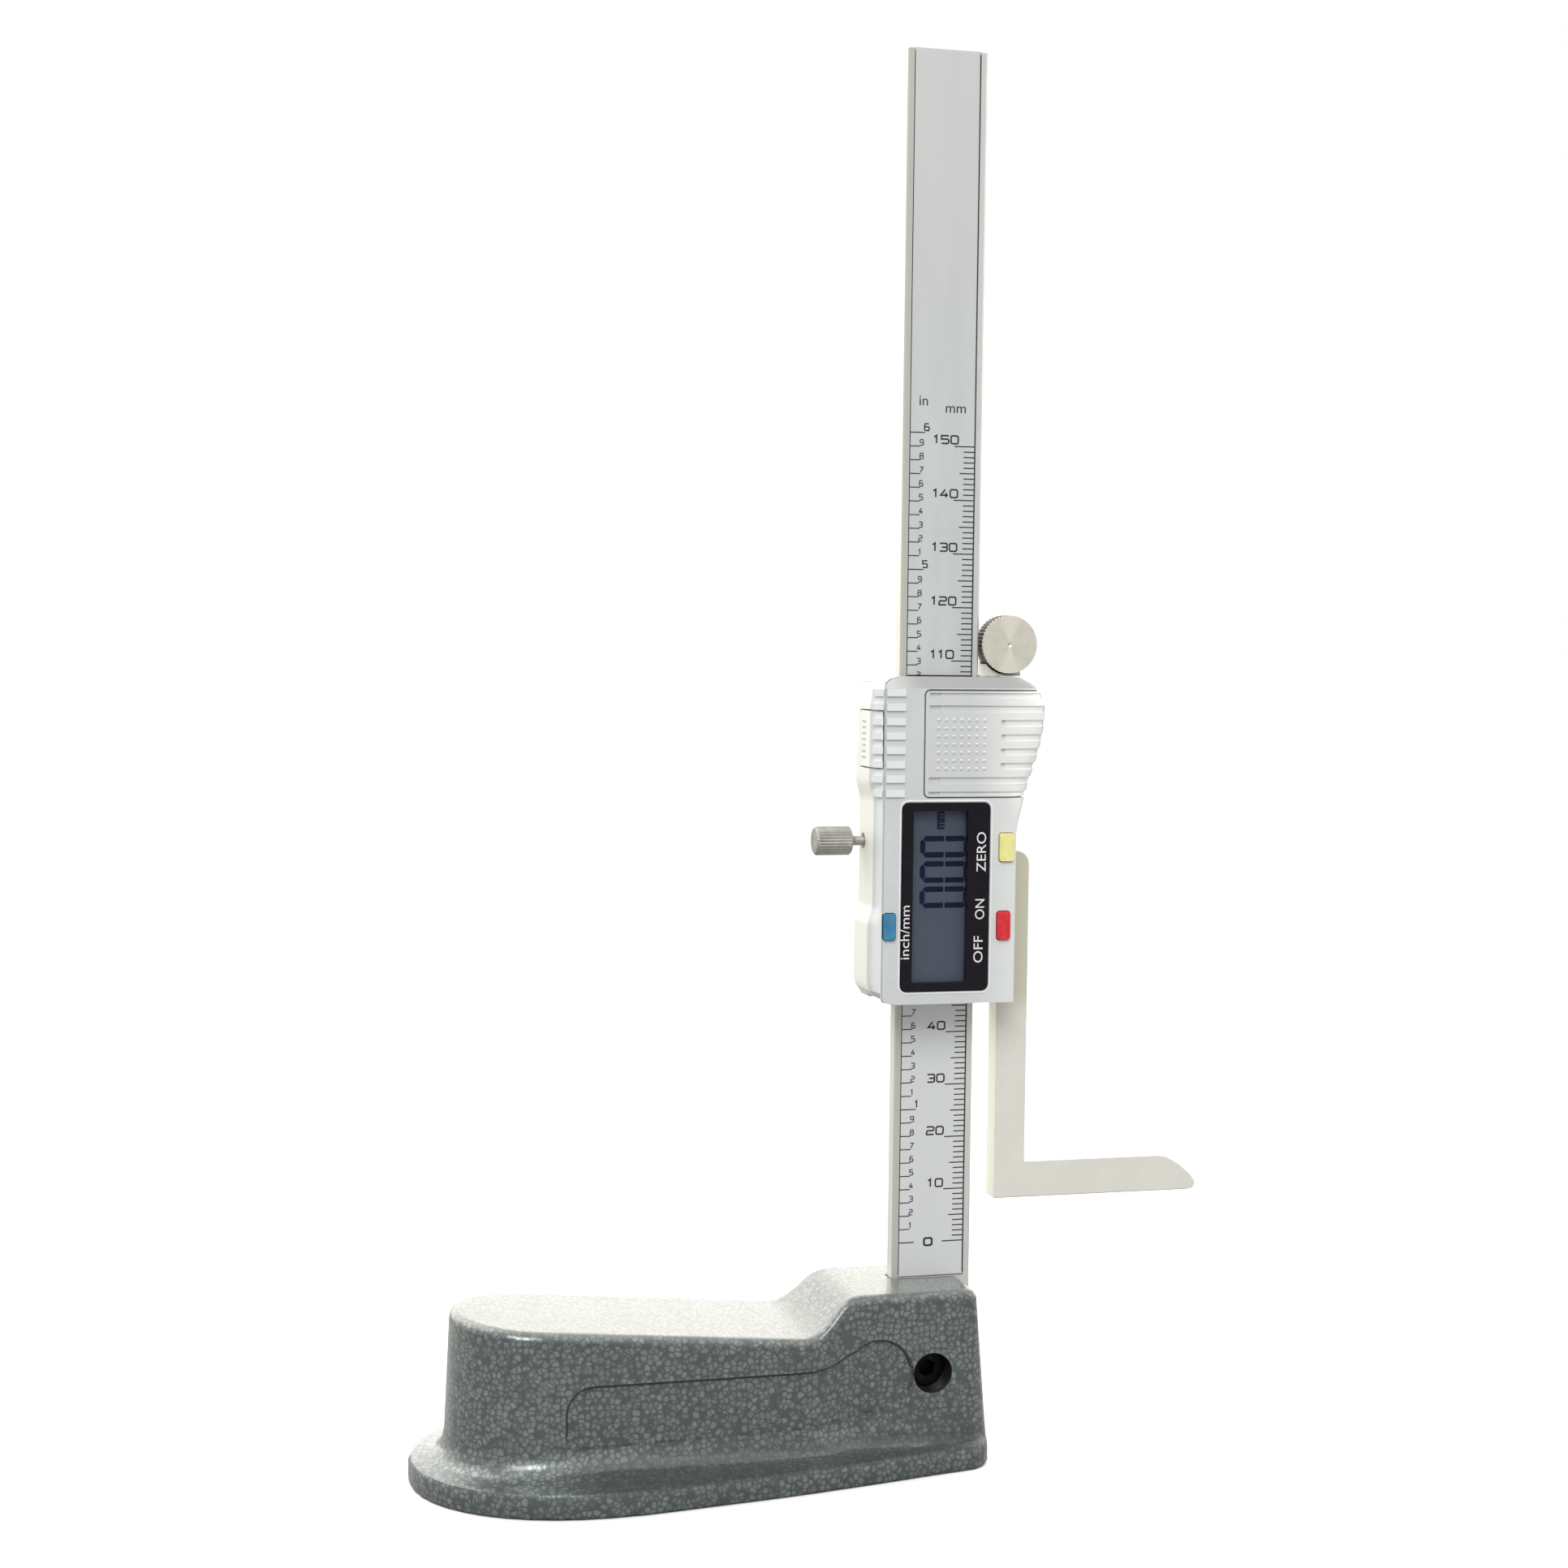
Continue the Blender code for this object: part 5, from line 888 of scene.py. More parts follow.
class Bench:
    """The moves of the modelling bench, each made with Blender's own operators."""

    @staticmethod
    def clear() -> None:
        """Leaves nothing selected, in object mode."""
        if bpy.context.mode != "OBJECT":
            bpy.ops.object.mode_set(mode="OBJECT")
        bpy.ops.object.select_all(action="DESELECT")

    @staticmethod
    def take(*pieces: bpy.types.Object) -> None:
        """Selects only these pieces and makes the first one active.

        Args:
            *pieces: The pieces to work on.
        """
        Bench.clear()
        for piece in pieces:
            piece.select_set(True)
        bpy.context.view_layer.objects.active = pieces[0]

    @staticmethod
    def settle(piece: bpy.types.Object, name: str) -> bpy.types.Object:
        """Names a piece and puts its place, turn and size into its mesh.

        Args:
            piece: The piece.
            name: Its plain name.

        Returns:
            The same piece.
        """
        Bench.take(piece)
        bpy.ops.object.transform_apply(location=True, rotation=True, scale=True)
        piece.name = name
        piece.data.name = name
        return piece

    @staticmethod
    def edit(piece: bpy.types.Object, kind: str = "FACE") -> None:
        """Opens a piece in edit mode with nothing selected.

        Args:
            piece: The piece to edit.
            kind: What is picked: VERT, EDGE or FACE.
        """
        Bench.take(piece)
        bpy.ops.object.mode_set(mode="EDIT")
        bpy.ops.mesh.select_mode(type=kind)
        bpy.ops.mesh.select_all(action="DESELECT")

    @staticmethod
    def pick_faces(piece: bpy.types.Object, test: Callable[[Vector, Vector], bool]) -> None:
        """Selects the faces whose middle and normal pass a test, in edit mode.

        Args:
            piece: The piece to edit.
            test: Says yes or no to a face's middle and normal.
        """
        Bench.edit(piece)
        form = bmesh.from_edit_mesh(piece.data)
        for face in form.faces:
            face.select_set(test(face.calc_center_median(), face.normal))
        bmesh.update_edit_mesh(piece.data)

    @staticmethod
    def modify(piece: bpy.types.Object, kind: str, **settings: object) -> None:
        """Adds a modifier, sets it and applies it.

        Args:
            piece: The piece to finish.
            kind: The type of the modifier.
            **settings: The modifier's own settings.
        """
        Bench.take(piece)
        bpy.ops.object.modifier_add(type=kind)
        tool = piece.modifiers[-1]
        for key, value in settings.items():
            setattr(tool, key, value)
        bpy.ops.object.modifier_apply(modifier=tool.name)

    @staticmethod
    def tidy(piece: bpy.types.Object, angle: float = 35.0) -> bpy.types.Object:
        """Merges doubles, turns the faces outwards and shades the piece smooth up to an angle.

        Args:
            piece: The piece.
            angle: The sharpest angle in degrees that is shaded smooth.

        Returns:
            The same piece.
        """
        Bench.take(piece)
        bpy.ops.object.mode_set(mode="EDIT")
        bpy.ops.mesh.select_all(action="SELECT")
        bpy.ops.mesh.remove_doubles(threshold=MERGE)
        bpy.ops.mesh.normals_make_consistent(inside=False)
        bpy.ops.object.mode_set(mode="OBJECT")
        bpy.ops.object.shade_smooth_by_angle(angle=math.radians(angle))
        return piece

    @staticmethod
    def block(name: str, low: Place, high: Place, edge: float = 0.0) -> bpy.types.Object:
        """Models a block between two corners, its edges eased.

        Args:
            name: The name of the piece.
            low: The lowest corner in millimetres.
            high: The highest corner in millimetres.
            edge: The width of the eased edges in millimetres.

        Returns:
            The block.
        """
        Bench.clear()
        middle = [(first + last) / 2 * MM for first, last in zip(low, high)]
        spans = [(last - first) * MM for first, last in zip(low, high)]
        bpy.ops.mesh.primitive_cube_add(size=1.0, location=middle)
        bpy.ops.transform.resize(value=spans)
        piece = Bench.settle(bpy.context.object, name)
        if edge:
            Bench.modify(piece, "BEVEL", width=edge * MM, segments=2, limit_method="NONE")
        return Bench.tidy(piece)

    @staticmethod
    def turned(
        name: str, profile: Sequence[Point], origin: Place, axis: str, steps: int
    ) -> bpy.types.Object:
        """Turns a closed profile round an axis, as on a lathe.

        Args:
            name: The name of the piece.
            profile: Corners as distance from the axis and place along it, in millimetres.
            origin: A point of the axis in millimetres.
            axis: X or Y.
            steps: Steps round the full turn.

        Returns:
            The turned piece.
        """
        Bench.clear()
        bpy.ops.mesh.primitive_circle_add(vertices=len(profile), radius=MM, fill_type="NOTHING")
        piece = bpy.context.object
        for corner, (reach, along) in zip(piece.data.vertices, profile):
            spot = (along, 0.0, reach) if axis == "X" else (reach, along, 0.0)
            corner.co = [(value + start) * MM for value, start in zip(spot, origin)]
        line = (1.0, 0.0, 0.0) if axis == "X" else (0.0, 1.0, 0.0)
        Bench.edit(piece, "VERT")
        bpy.ops.mesh.select_all(action="SELECT")
        middle = [value * MM for value in origin]
        bpy.ops.mesh.spin(steps=steps, angle=math.tau, center=middle, axis=line)
        bpy.ops.object.mode_set(mode="OBJECT")
        return Bench.tidy(Bench.settle(piece, name), 40.0)

    @staticmethod
    def pull(depth: float) -> None:
        """Pulls what is selected in edit mode forward and leaves its new front selected.

        Args:
            depth: How far it is pulled, in millimetres.
        """
        bpy.ops.mesh.extrude_region_move(TRANSFORM_OT_translate={"value": (0.0, -depth * MM, 0.0)})

    @staticmethod
    def thicken(piece: bpy.types.Object, depth: float) -> bpy.types.Object:
        """Pulls a flat piece forward into a thin solid.

        Args:
            piece: The flat piece.
            depth: How far it stands out, in millimetres.

        Returns:
            The same piece.
        """
        Bench.edit(piece)
        bpy.ops.mesh.select_all(action="SELECT")
        Bench.pull(depth)
        bpy.ops.object.mode_set(mode="OBJECT")
        return Bench.tidy(piece)

    @staticmethod
    def repeat(piece: bpy.types.Object, count: int, step: Place) -> bpy.types.Object:
        """Repeats a piece at even steps.

        Args:
            piece: The piece.
            count: How many there are in all.
            step: The step from one to the next, in millimetres.

        Returns:
            The pieces as one.
        """
        Bench.modify(
            piece,
            "ARRAY",
            count=count,
            use_relative_offset=False,
            use_constant_offset=True,
            constant_offset_displace=[value * MM for value in step],
        )
        return piece

    @staticmethod
    def ribbon(
        path: Sequence[Point], closed: bool, pen: float, face: float, depth: float
    ) -> bpy.types.Object:
        """Draws a line on the front of the gauge, pulls it forward and thickens it to the pen's width.

        Args:
            path: The corners of the line as x and z, in millimetres.
            closed: Whether the line comes back to where it started.
            pen: The width of the line in millimetres.
            face: The face that it stands on, in millimetres.
            depth: How far it stands out, in millimetres.

        Returns:
            The line as a thin solid.
        """
        Bench.clear()
        path = list(path) + [path[-1]] * max(0, 3 - len(path))
        bpy.ops.mesh.primitive_circle_add(vertices=len(path), radius=MM, fill_type="NOTHING")
        piece = bpy.context.object
        for corner, (across, up) in zip(piece.data.vertices, path):
            corner.co = (across * MM, face * MM, up * MM)
        Bench.edit(piece, "EDGE")
        form = bmesh.from_edit_mesh(piece.data)
        ends = {0, len(path) - 1}
        for edge in form.edges:
            edge.select_set(not closed and {corner.index for corner in edge.verts} == ends)
        bmesh.update_edit_mesh(piece.data)
        if not closed:
            bpy.ops.mesh.delete(type="EDGE")
        bpy.ops.mesh.select_all(action="SELECT")
        bpy.ops.mesh.remove_doubles(threshold=MERGE)
        Bench.pull(depth)
        bpy.ops.object.mode_set(mode="OBJECT")
        Bench.modify(piece, "SOLIDIFY", thickness=pen * MM, offset=0.0, use_even_offset=True)
        return Bench.tidy(piece)

    @staticmethod
    def join(name: str, pieces: Sequence[bpy.types.Object]) -> bpy.types.Object:
        """Joins pieces into one.

        Args:
            name: The name of the joined piece.
            pieces: The pieces, of which the first takes in the rest.

        Returns:
            The joined piece.
        """
        Bench.take(*pieces)
        if len(pieces) > 1:
            bpy.ops.object.join()
        return Bench.settle(pieces[0], name)

    @staticmethod
    def twin(piece: bpy.types.Object, shift: Place, size: float = 1.0) -> bpy.types.Object:
        """Copies a piece with its own mesh, sizes it and moves it.

        Args:
            piece: The piece to copy.
            shift: How far the copy moves, in millimetres.
            size: How much larger the copy is.

        Returns:
            The copy.
        """
        Bench.take(piece)
        bpy.ops.object.duplicate(linked=False)
        made = bpy.context.object
        made.scale = (size, 1.0, size)
        made.location = [value * MM for value in shift]
        bpy.ops.object.transform_apply(location=True, rotation=True, scale=True)
        return made

    @staticmethod
    def scrap(*pieces: bpy.types.Object) -> None:
        """Throws away patterns that have been copied.

        Args:
            *pieces: The patterns.
        """
        Bench.take(*pieces)
        bpy.ops.object.delete()

    @staticmethod
    def node_copy(node: str, name: str) -> bpy.types.Object:
        """Copies a node of the model and merges its loose triangles.

        Args:
            node: The name of the node.
            name: The name of the copy.

        Returns:
            The copy, free of its body.
        """
        Bench.take(frame["nodes"][node])
        bpy.ops.object.duplicate(linked=False)
        piece = bpy.context.object
        bpy.ops.object.parent_clear(type="CLEAR_KEEP_TRANSFORM")
        bpy.ops.mesh.customdata_custom_splitnormals_clear()
        bpy.ops.object.mode_set(mode="EDIT")
        bpy.ops.mesh.select_all(action="SELECT")
        bpy.ops.mesh.remove_doubles(threshold=MERGE)
        bpy.ops.object.mode_set(mode="OBJECT")
        return Bench.settle(piece, name)

    @staticmethod
    def smooth_copy(node: str, angle: float = 32.0) -> bpy.types.Object:
        """Copies a node with its curves shaded smooth and its flat faces kept flat.

        Args:
            node: The name of the node.
            angle: The sharpest angle in degrees that is shaded smooth.

        Returns:
            The copy.
        """
        piece = Bench.tidy(Bench.node_copy(node, f"{node}_smooth"), angle)
        Bench.modify(piece, "WEIGHTED_NORMAL", mode="FACE_AREA", weight=60, keep_sharp=True)
        return piece

    @staticmethod
    def words(
        name: str,
        text: str,
        spot: Place,
        facing: Facing,
        size: float,
        width: float = 1.0,
        weight: float = 0.0,
    ) -> bpy.types.Object:
        """Sets a plain word in type and makes it a thin solid.

        Args:
            name: The name of the piece.
            text: The word.
            spot: Where the word starts, in millimetres.
            facing: How the word lies.
            size: The height of the type's body in millimetres.
            width: How much wider than its cut the type is set.
            weight: How far the strokes are thickened, as a share of the body.

        Returns:
            The word.
        """
        Bench.clear()
        bpy.ops.object.text_add()
        piece = bpy.context.object
        piece.data.body = text
        piece.data.resolution_u = 4
        piece.data.offset = weight
        piece.data.extrude = PRINT_DEPTH / size
        bpy.ops.object.convert(target="MESH")
        piece = bpy.context.object
        spread = Matrix.Diagonal((width, 1.0, 1.0)) * (size * MM)
        start = Matrix.Translation([value * MM for value in spot])
        piece.matrix_world = start @ (facing.value @ spread).to_4x4()
        return Bench.tidy(Bench.settle(piece, name))


# Dressing


def wear(piece: bpy.types.Object, material: bpy.types.Material) -> bpy.types.Object:
    """Puts one material on a piece.

    Args:
        piece: The piece.
        material: Its material.

    Returns:
        The same piece.
    """
    if not piece.material_slots:
        piece.data.materials.append(material)
    for slot in piece.material_slots:
        slot.material = material
    return piece


def fit(
    piece: bpy.types.Object, body: Body, material: bpy.types.Material
) -> bpy.types.Object:
    """Dresses a new piece and lets it ride on a body.

    Args:
        piece: The new piece.
        body: The body that carries it.
        material: Its material.

    Returns:
        The same piece.
    """
    wear(piece, material)
    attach(piece, body.value)
    log.info("%s: %d faces on %s", piece.name, len(piece.data.polygons), body.value)
    return piece


def refine(
    node: str, body: Body, material: bpy.types.Material, angle: float = 32.0
) -> bpy.types.Object:
    """Puts a smooth copy in the place of a node.

    Args:
        node: The name of the node.
        body: The body that carries it.
        material: Its material.
        angle: The sharpest angle in degrees that is shaded smooth.

    Returns:
        The copy.
    """
    wear(frame["nodes"][node], material)
    piece = fit(Bench.smooth_copy(node, angle), body, material)
    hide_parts(node)
    return piece


def frame_low(node: str) -> Vector:
    """Gives the lowest corner of a node.

    Args:
        node: The name of the node.

    Returns:
        The corner in metres.
    """
    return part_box(node)[0]


# Finishes in stock


class Stock:
    """Every finish of the gauge, each made once."""

    def __init__(self) -> None:
        """Makes the materials."""
        self.paint = HammertonePaint("hammertone_paint").make()
        # Painted shadow: dark paint for the line laid under the lip of the sunk panel
        self.pooled = PlatedMetal(
            "painted_panel_shadow", (0.22, 0.24, 0.24), (0.27, 0.30, 0.30), rough=0.4, metal=0.1
        ).make()
        # The beam gets a painted highlight on its left side and painted shade on its left rail
        self.beam = GroundSteel(
            "ground_beam_steel",
            (0.85, 0.85, 0.84),
            (0.79, 0.79, 0.78),
            metal=0.35,
            side_end=-7.72,
            shade_span=(-6.3, -6.6),
        ).make()
        # The scriber gets a painted highlight on its left side and painted shadow under the housing
        self.scriber = GroundSteel(
            "ground_scriber_steel",
            (0.90, 0.895, 0.865),
            (0.86, 0.855, 0.825),
            stretch=(6.0, 6.0, 0.5),
            rough=0.42,
            metal=0.25,
            side_end=12.34,
            side=(1.0, 1.0, 0.94),
            shade_axis="Z",
            shade_span=(81.0, 88.0),
            shade=(0.79, 0.78, 0.71),
        ).make()
        self.frame = GroundSteel(
            "ground_frame_steel", (0.66, 0.65, 0.63), (0.55, 0.54, 0.52), (0.3, 8.0, 8.0), metal=0.95
        ).make()
        self.pale_steel = GroundSteel(
            "pale_ground_steel",
            (0.90, 0.90, 0.87),
            (0.85, 0.845, 0.81),
            stretch=(0.3, 8.0, 8.0),
            rough=0.4,
            metal=0.3,
        ).make()
        self.scale = PrintedScale("satin_scale_face").make()
        # The housing and the lid get a painted highlight towards the right
        self.housing = SprayedPlastic("silver_sprayed_plastic", sheen_share=0.5).make()
        self.lid = SprayedPlastic(
            "silver_lid_plastic",
            (0.84, 0.85, 0.855),
            (0.795, 0.805, 0.81),
            rough=0.34,
            side_from=50.0,
            sheen_share=0.9,
        ).make()
        self.bead = SprayedPlastic(
            "bright_bead_plastic", (0.95, 0.95, 0.945), (0.91, 0.91, 0.905), metal=0.1, rough=0.3
        ).make()
        self.bezel = GlossPlastic("black_gloss_plastic").make()
        self.pane = ClearPane("clear_acrylic").make()
        self.crystal = LiquidCrystal("liquid_crystal").make()
        self.key_zero = SoftKey("yellow_silicone").make()
        self.key_power = SoftKey("red_silicone", (0.80, 0.10, 0.165), (0.86, 0.19, 0.24)).make()
        self.key_unit = SoftKey("blue_silicone", (0.18, 0.45, 0.60), (0.25, 0.51, 0.65)).make()
        self.zebra = SoftKey("zebra_rubber", (0.13, 0.13, 0.14), (0.30, 0.30, 0.31)).make()
        # The roller gets painted shade on its knurl and a painted highlight fan on its face
        self.roller = TurnedNickel("turned_nickel_roller", soil_from=-1.3, glint_share=0.8).make()
        self.dark_steel = PlatedMetal(
            "blackened_steel", (0.13, 0.12, 0.12), (0.07, 0.065, 0.07), rough=0.34, metal=0.8
        ).make()
        self.nickel = PlatedMetal("nickel_plate").make()
        self.lock = TurnedNickel(
            "turned_lock_nickel",
            (0.71, 0.70, 0.68),
            (0.59, 0.58, 0.56),
            centre=(0.0, 1.4, 115.8),
            axis="X",
            rough=0.38,
        ).make()
        self.brass = PlatedMetal("brass", (0.78, 0.66, 0.38), (0.62, 0.50, 0.26), 0.28).make()
        self.board = SolderMask("green_solder_mask").make()
        self.ink = PrintInk("dark_scale_ink", (0.10, 0.11, 0.12), (0.19, 0.20, 0.21)).make()
        # A dark wiper felt that also stands for painted shadow in the mouth of the housing
        self.felt = PrintInk("black_wiper_felt_painted_shadow", (0.12, 0.12, 0.125), (0.19, 0.19, 0.195), 0.9).make()
        self.ink_thin = PrintInk("grey_scale_ink", (0.24, 0.25, 0.26), (0.34, 0.35, 0.36)).make()
        self.segment = PrintInk(
            "lit_crystal_segment", (0.055, 0.065, 0.165), (0.08, 0.09, 0.19), rough=0.4, shine=0.05
        ).make()
        self.white = PrintInk("white_panel_ink", (0.88, 0.88, 0.89), (0.78, 0.78, 0.80), 0.45).make()
        self.paper = StudioPaper("studio_paper").make()


# Sub-assemblies


@dataclass
class Base:
    """The painted cast base with its clamp screw."""

    stock: Stock
    hole: Place = (-3.3, -12.5, 17.95)
    hole_radius: float = 3.72
    crest_radius: float = 3.4
    # Painted shadow line under the lip of the sunk panel
    pool_radius: float = 0.6
    pool_low: float = 13.6
    pool_from: float = -60.0
    pool_slope: float = 0.08
    panel_span: Point = (-76.0, -4.0)
    panel_depth: float = -11.0
    rim_gap: float = 0.2
    fold: float = -0.7
    thread_from: float = 0.35
    thread_to: float = 3.6
    thread_sink: float = 0.02
    thread_start: float = 0.05
    crest_span: Point = (0.4, 0.6)
    pitch: float = 0.8
    steps: int = 40

    def dress(self) -> None:
        """Paints the casting and blackens the screw."""
        refine("base_casting", Body.BASE, self.stock.paint, 40.0)
        wear(frame["nodes"]["base_clamp_screw"], self.stock.dark_steel)

    def pool_paint(self) -> None:
        """Lays a painted shadow line along the upper edges of the sunk panel, where the lip shades it.
        """
        line = Bench.tidy(Bench.node_copy("base_casting", "panel_shadow_line"))
        Bench.edit(line, "EDGE")
        form = bmesh.from_edit_mesh(line.data)
        left, right = self.panel_span
        for edge in form.edges:
            across, depth, up = (edge.verts[0].co + edge.verts[1].co) / 2 / MM
            reach = math.hypot(across - self.hole[0], up - self.hole[2])
            clear = reach > self.hole_radius + self.rim_gap
            inside = left < across < right and depth < self.panel_depth and clear
            upper = inside and up > self.pool_low + (across - self.pool_from) * self.pool_slope
            hollow = len(edge.link_faces) == 2 and edge.calc_face_angle_signed(0.0) < self.fold
            edge.select_set(not (upper and hollow))
        bmesh.update_edit_mesh(line.data)
        bpy.ops.mesh.delete(type="EDGE")
        bpy.ops.object.mode_set(mode="OBJECT")
        bpy.ops.object.convert(target="CURVE")
        line.data.bevel_depth = self.pool_radius * MM
        line.data.bevel_resolution = 1
        line.data.use_fill_caps = True
        bpy.ops.object.convert(target="MESH")
        line = Bench.settle(bpy.context.object, "panel_shadow_line")
        fit(Bench.tidy(line, 60.0), Body.BASE, self.stock.pooled)

    def build_thread(self) -> None:
        """Cuts the thread of the clamp hole as rings that stand in from its wall."""
        turns = int((self.thread_to - self.thread_from) / self.pitch)
        end = self.thread_from + turns * self.pitch
        root = self.hole_radius - self.thread_sink
        profile = [(self.hole_radius, self.thread_from)]
        for turn in range(turns):
            start = self.thread_from + turn * self.pitch
            profile.append((root, start + self.thread_start))
            for share in self.crest_span:
                profile.append((self.crest_radius, start + self.pitch * share))
        profile += [(root, end), (self.hole_radius, end)]
        piece = Bench.turned("clamp_hole_thread", profile, self.hole, "Y", self.steps)
        fit(piece, Body.BASE, self.stock.dark_steel)

    def build(self) -> None:
        """Makes and dresses all of the base."""
        self.pool_paint()
        self.dress()
        self.build_thread()


# The strokes of each figure as shares of its width and height, and whether each stroke is closed
GLYPHS: dict[str, list[Stroke]] = {
    "0": [
        (
            True,
            [(0.15, 0), (0.85, 0), (1, 0.15), (1, 0.85), (0.85, 1), (0.15, 1), (0, 0.85), (0, 0.15)],
        ),
    ],
    "1": [(False, [(0.05, 0.78), (0.38, 1), (0.38, 0)])],
    "2": [
        (
            False,
            [(0, 1), (0.85, 1), (1, 0.87), (1, 0.62), (0.87, 0.5)]
            + [(0.15, 0.5), (0, 0.38), (0, 0), (1, 0)],
        ),
    ],
    "3": [
        (
            False,
            [(0, 1), (0.85, 1), (1, 0.86), (1, 0.64), (0.88, 0.52)]
            + [(0.88, 0.48), (1, 0.36), (1, 0.14), (0.85, 0), (0, 0)],
        ),
        (False, [(0.25, 0.5), (0.8, 0.5)]),
    ],
    "4": [(False, [(0.62, 1), (0, 0.28), (1, 0.28)]), (False, [(0.74, 0.62), (0.74, 0)])],
    "5": [
        (
            False,
            [(1, 1), (0, 1), (0, 0.55), (0.85, 0.55), (1, 0.42), (1, 0.14), (0.85, 0), (0, 0)],
        ),
    ],
    "6": [
        (
            False,
            [(0.9, 1), (0.15, 1), (0, 0.86), (0, 0.14), (0.15, 0)]
            + [(0.85, 0), (1, 0.14), (1, 0.42), (0.85, 0.55), (0.1, 0.55)],
        ),
    ],
    "7": [(False, [(0, 1), (1, 1), (1, 0.86), (0.4, 0.3), (0.4, 0)])],
    "8": [
        (
            True,
            [(0.15, 0), (0.85, 0), (1, 0.13), (1, 0.4)]
            + [(0.87, 0.52), (0.13, 0.52), (0, 0.4), (0, 0.13)],
        ),
        (
            False,
            [(0.13, 0.52), (0.05, 0.63), (0.05, 0.88), (0.17, 1)]
            + [(0.83, 1), (0.95, 0.88), (0.95, 0.63), (0.87, 0.52)],
        ),
    ],
    "9": [
        (
            False,
            [(0.1, 0), (0.85, 0), (1, 0.14), (1, 0.86), (0.85, 1)]
            + [(0.15, 1), (0, 0.86), (0, 0.58), (0.15, 0.45), (0.9, 0.45)],
        ),
    ],
}


@dataclass
class Typeface:
    """Square technical figures drawn with a pen of one width."""

    width: float
    height: float
    pen: float
    depth: float = PRINT_DEPTH
    narrow: float = 0.8
    cut: dict[str, bpy.types.Object] = field(default_factory=dict)

    def stroke(self, points: Sequence[Point], closed: bool) -> bpy.types.Object:
        """Draws one stroke: a path of corners, pulled forward and thickened to the pen's width.

        Args:
            points: The corners as shares of the figure's width and height.
            closed: Whether the pen comes back to where it started.

        Returns:
            The stroke as a thin solid.
        """
        half = self.pen / 2
        inner = (self.width - self.pen, self.height - self.pen)
        path = [(half + across * inner[0], half + up * inner[1]) for across, up in points]
        return Bench.ribbon(path, closed, self.pen, 0.0, self.depth)

    def figure(self, sign: str) -> bpy.types.Object:
        """Gives the pattern of one figure, drawn the first time that it is asked for.

        Args:
            sign: The figure, from 0 to 9.

        Returns:
            The pattern, standing at the origin.
        """
        if sign not in self.cut:
            strokes = [self.stroke(points, closed) for closed, points in GLYPHS[sign]]
            self.cut[sign] = Bench.join(f"figure_{sign}", strokes)
        return self.cut[sign]

    def advance(self, sign: str, gap: float) -> float:
        """Gives the room that a figure takes with the gap after it.

        Args:
            sign: The figure.
            gap: The gap in millimetres.

        Returns:
            The room in millimetres.
        """
        return (self.width * self.narrow if sign == "1" else self.width) + gap

    def number(
        self, text: str, left: float, low: float, gap: float, front: float
    ) -> list[bpy.types.Object]:
        """Sets a number from copies of its figures.

        Args:
            text: The number.
            left: The left edge in millimetres.
            low: The foot of the figures in millimetres.
            gap: The gap between figures in millimetres.
            front: The face that the print stands on, in millimetres.

        Returns:
            The copies.
        """
        made = []
        for sign in text:
            made.append(Bench.twin(self.figure(sign), (left, front, low)))
            left += self.advance(sign, gap)
        return made

    def clear(self) -> None:
        """Throws the patterns away."""
        if self.cut:
            Bench.scrap(*self.cut.values())
        self.cut.clear()


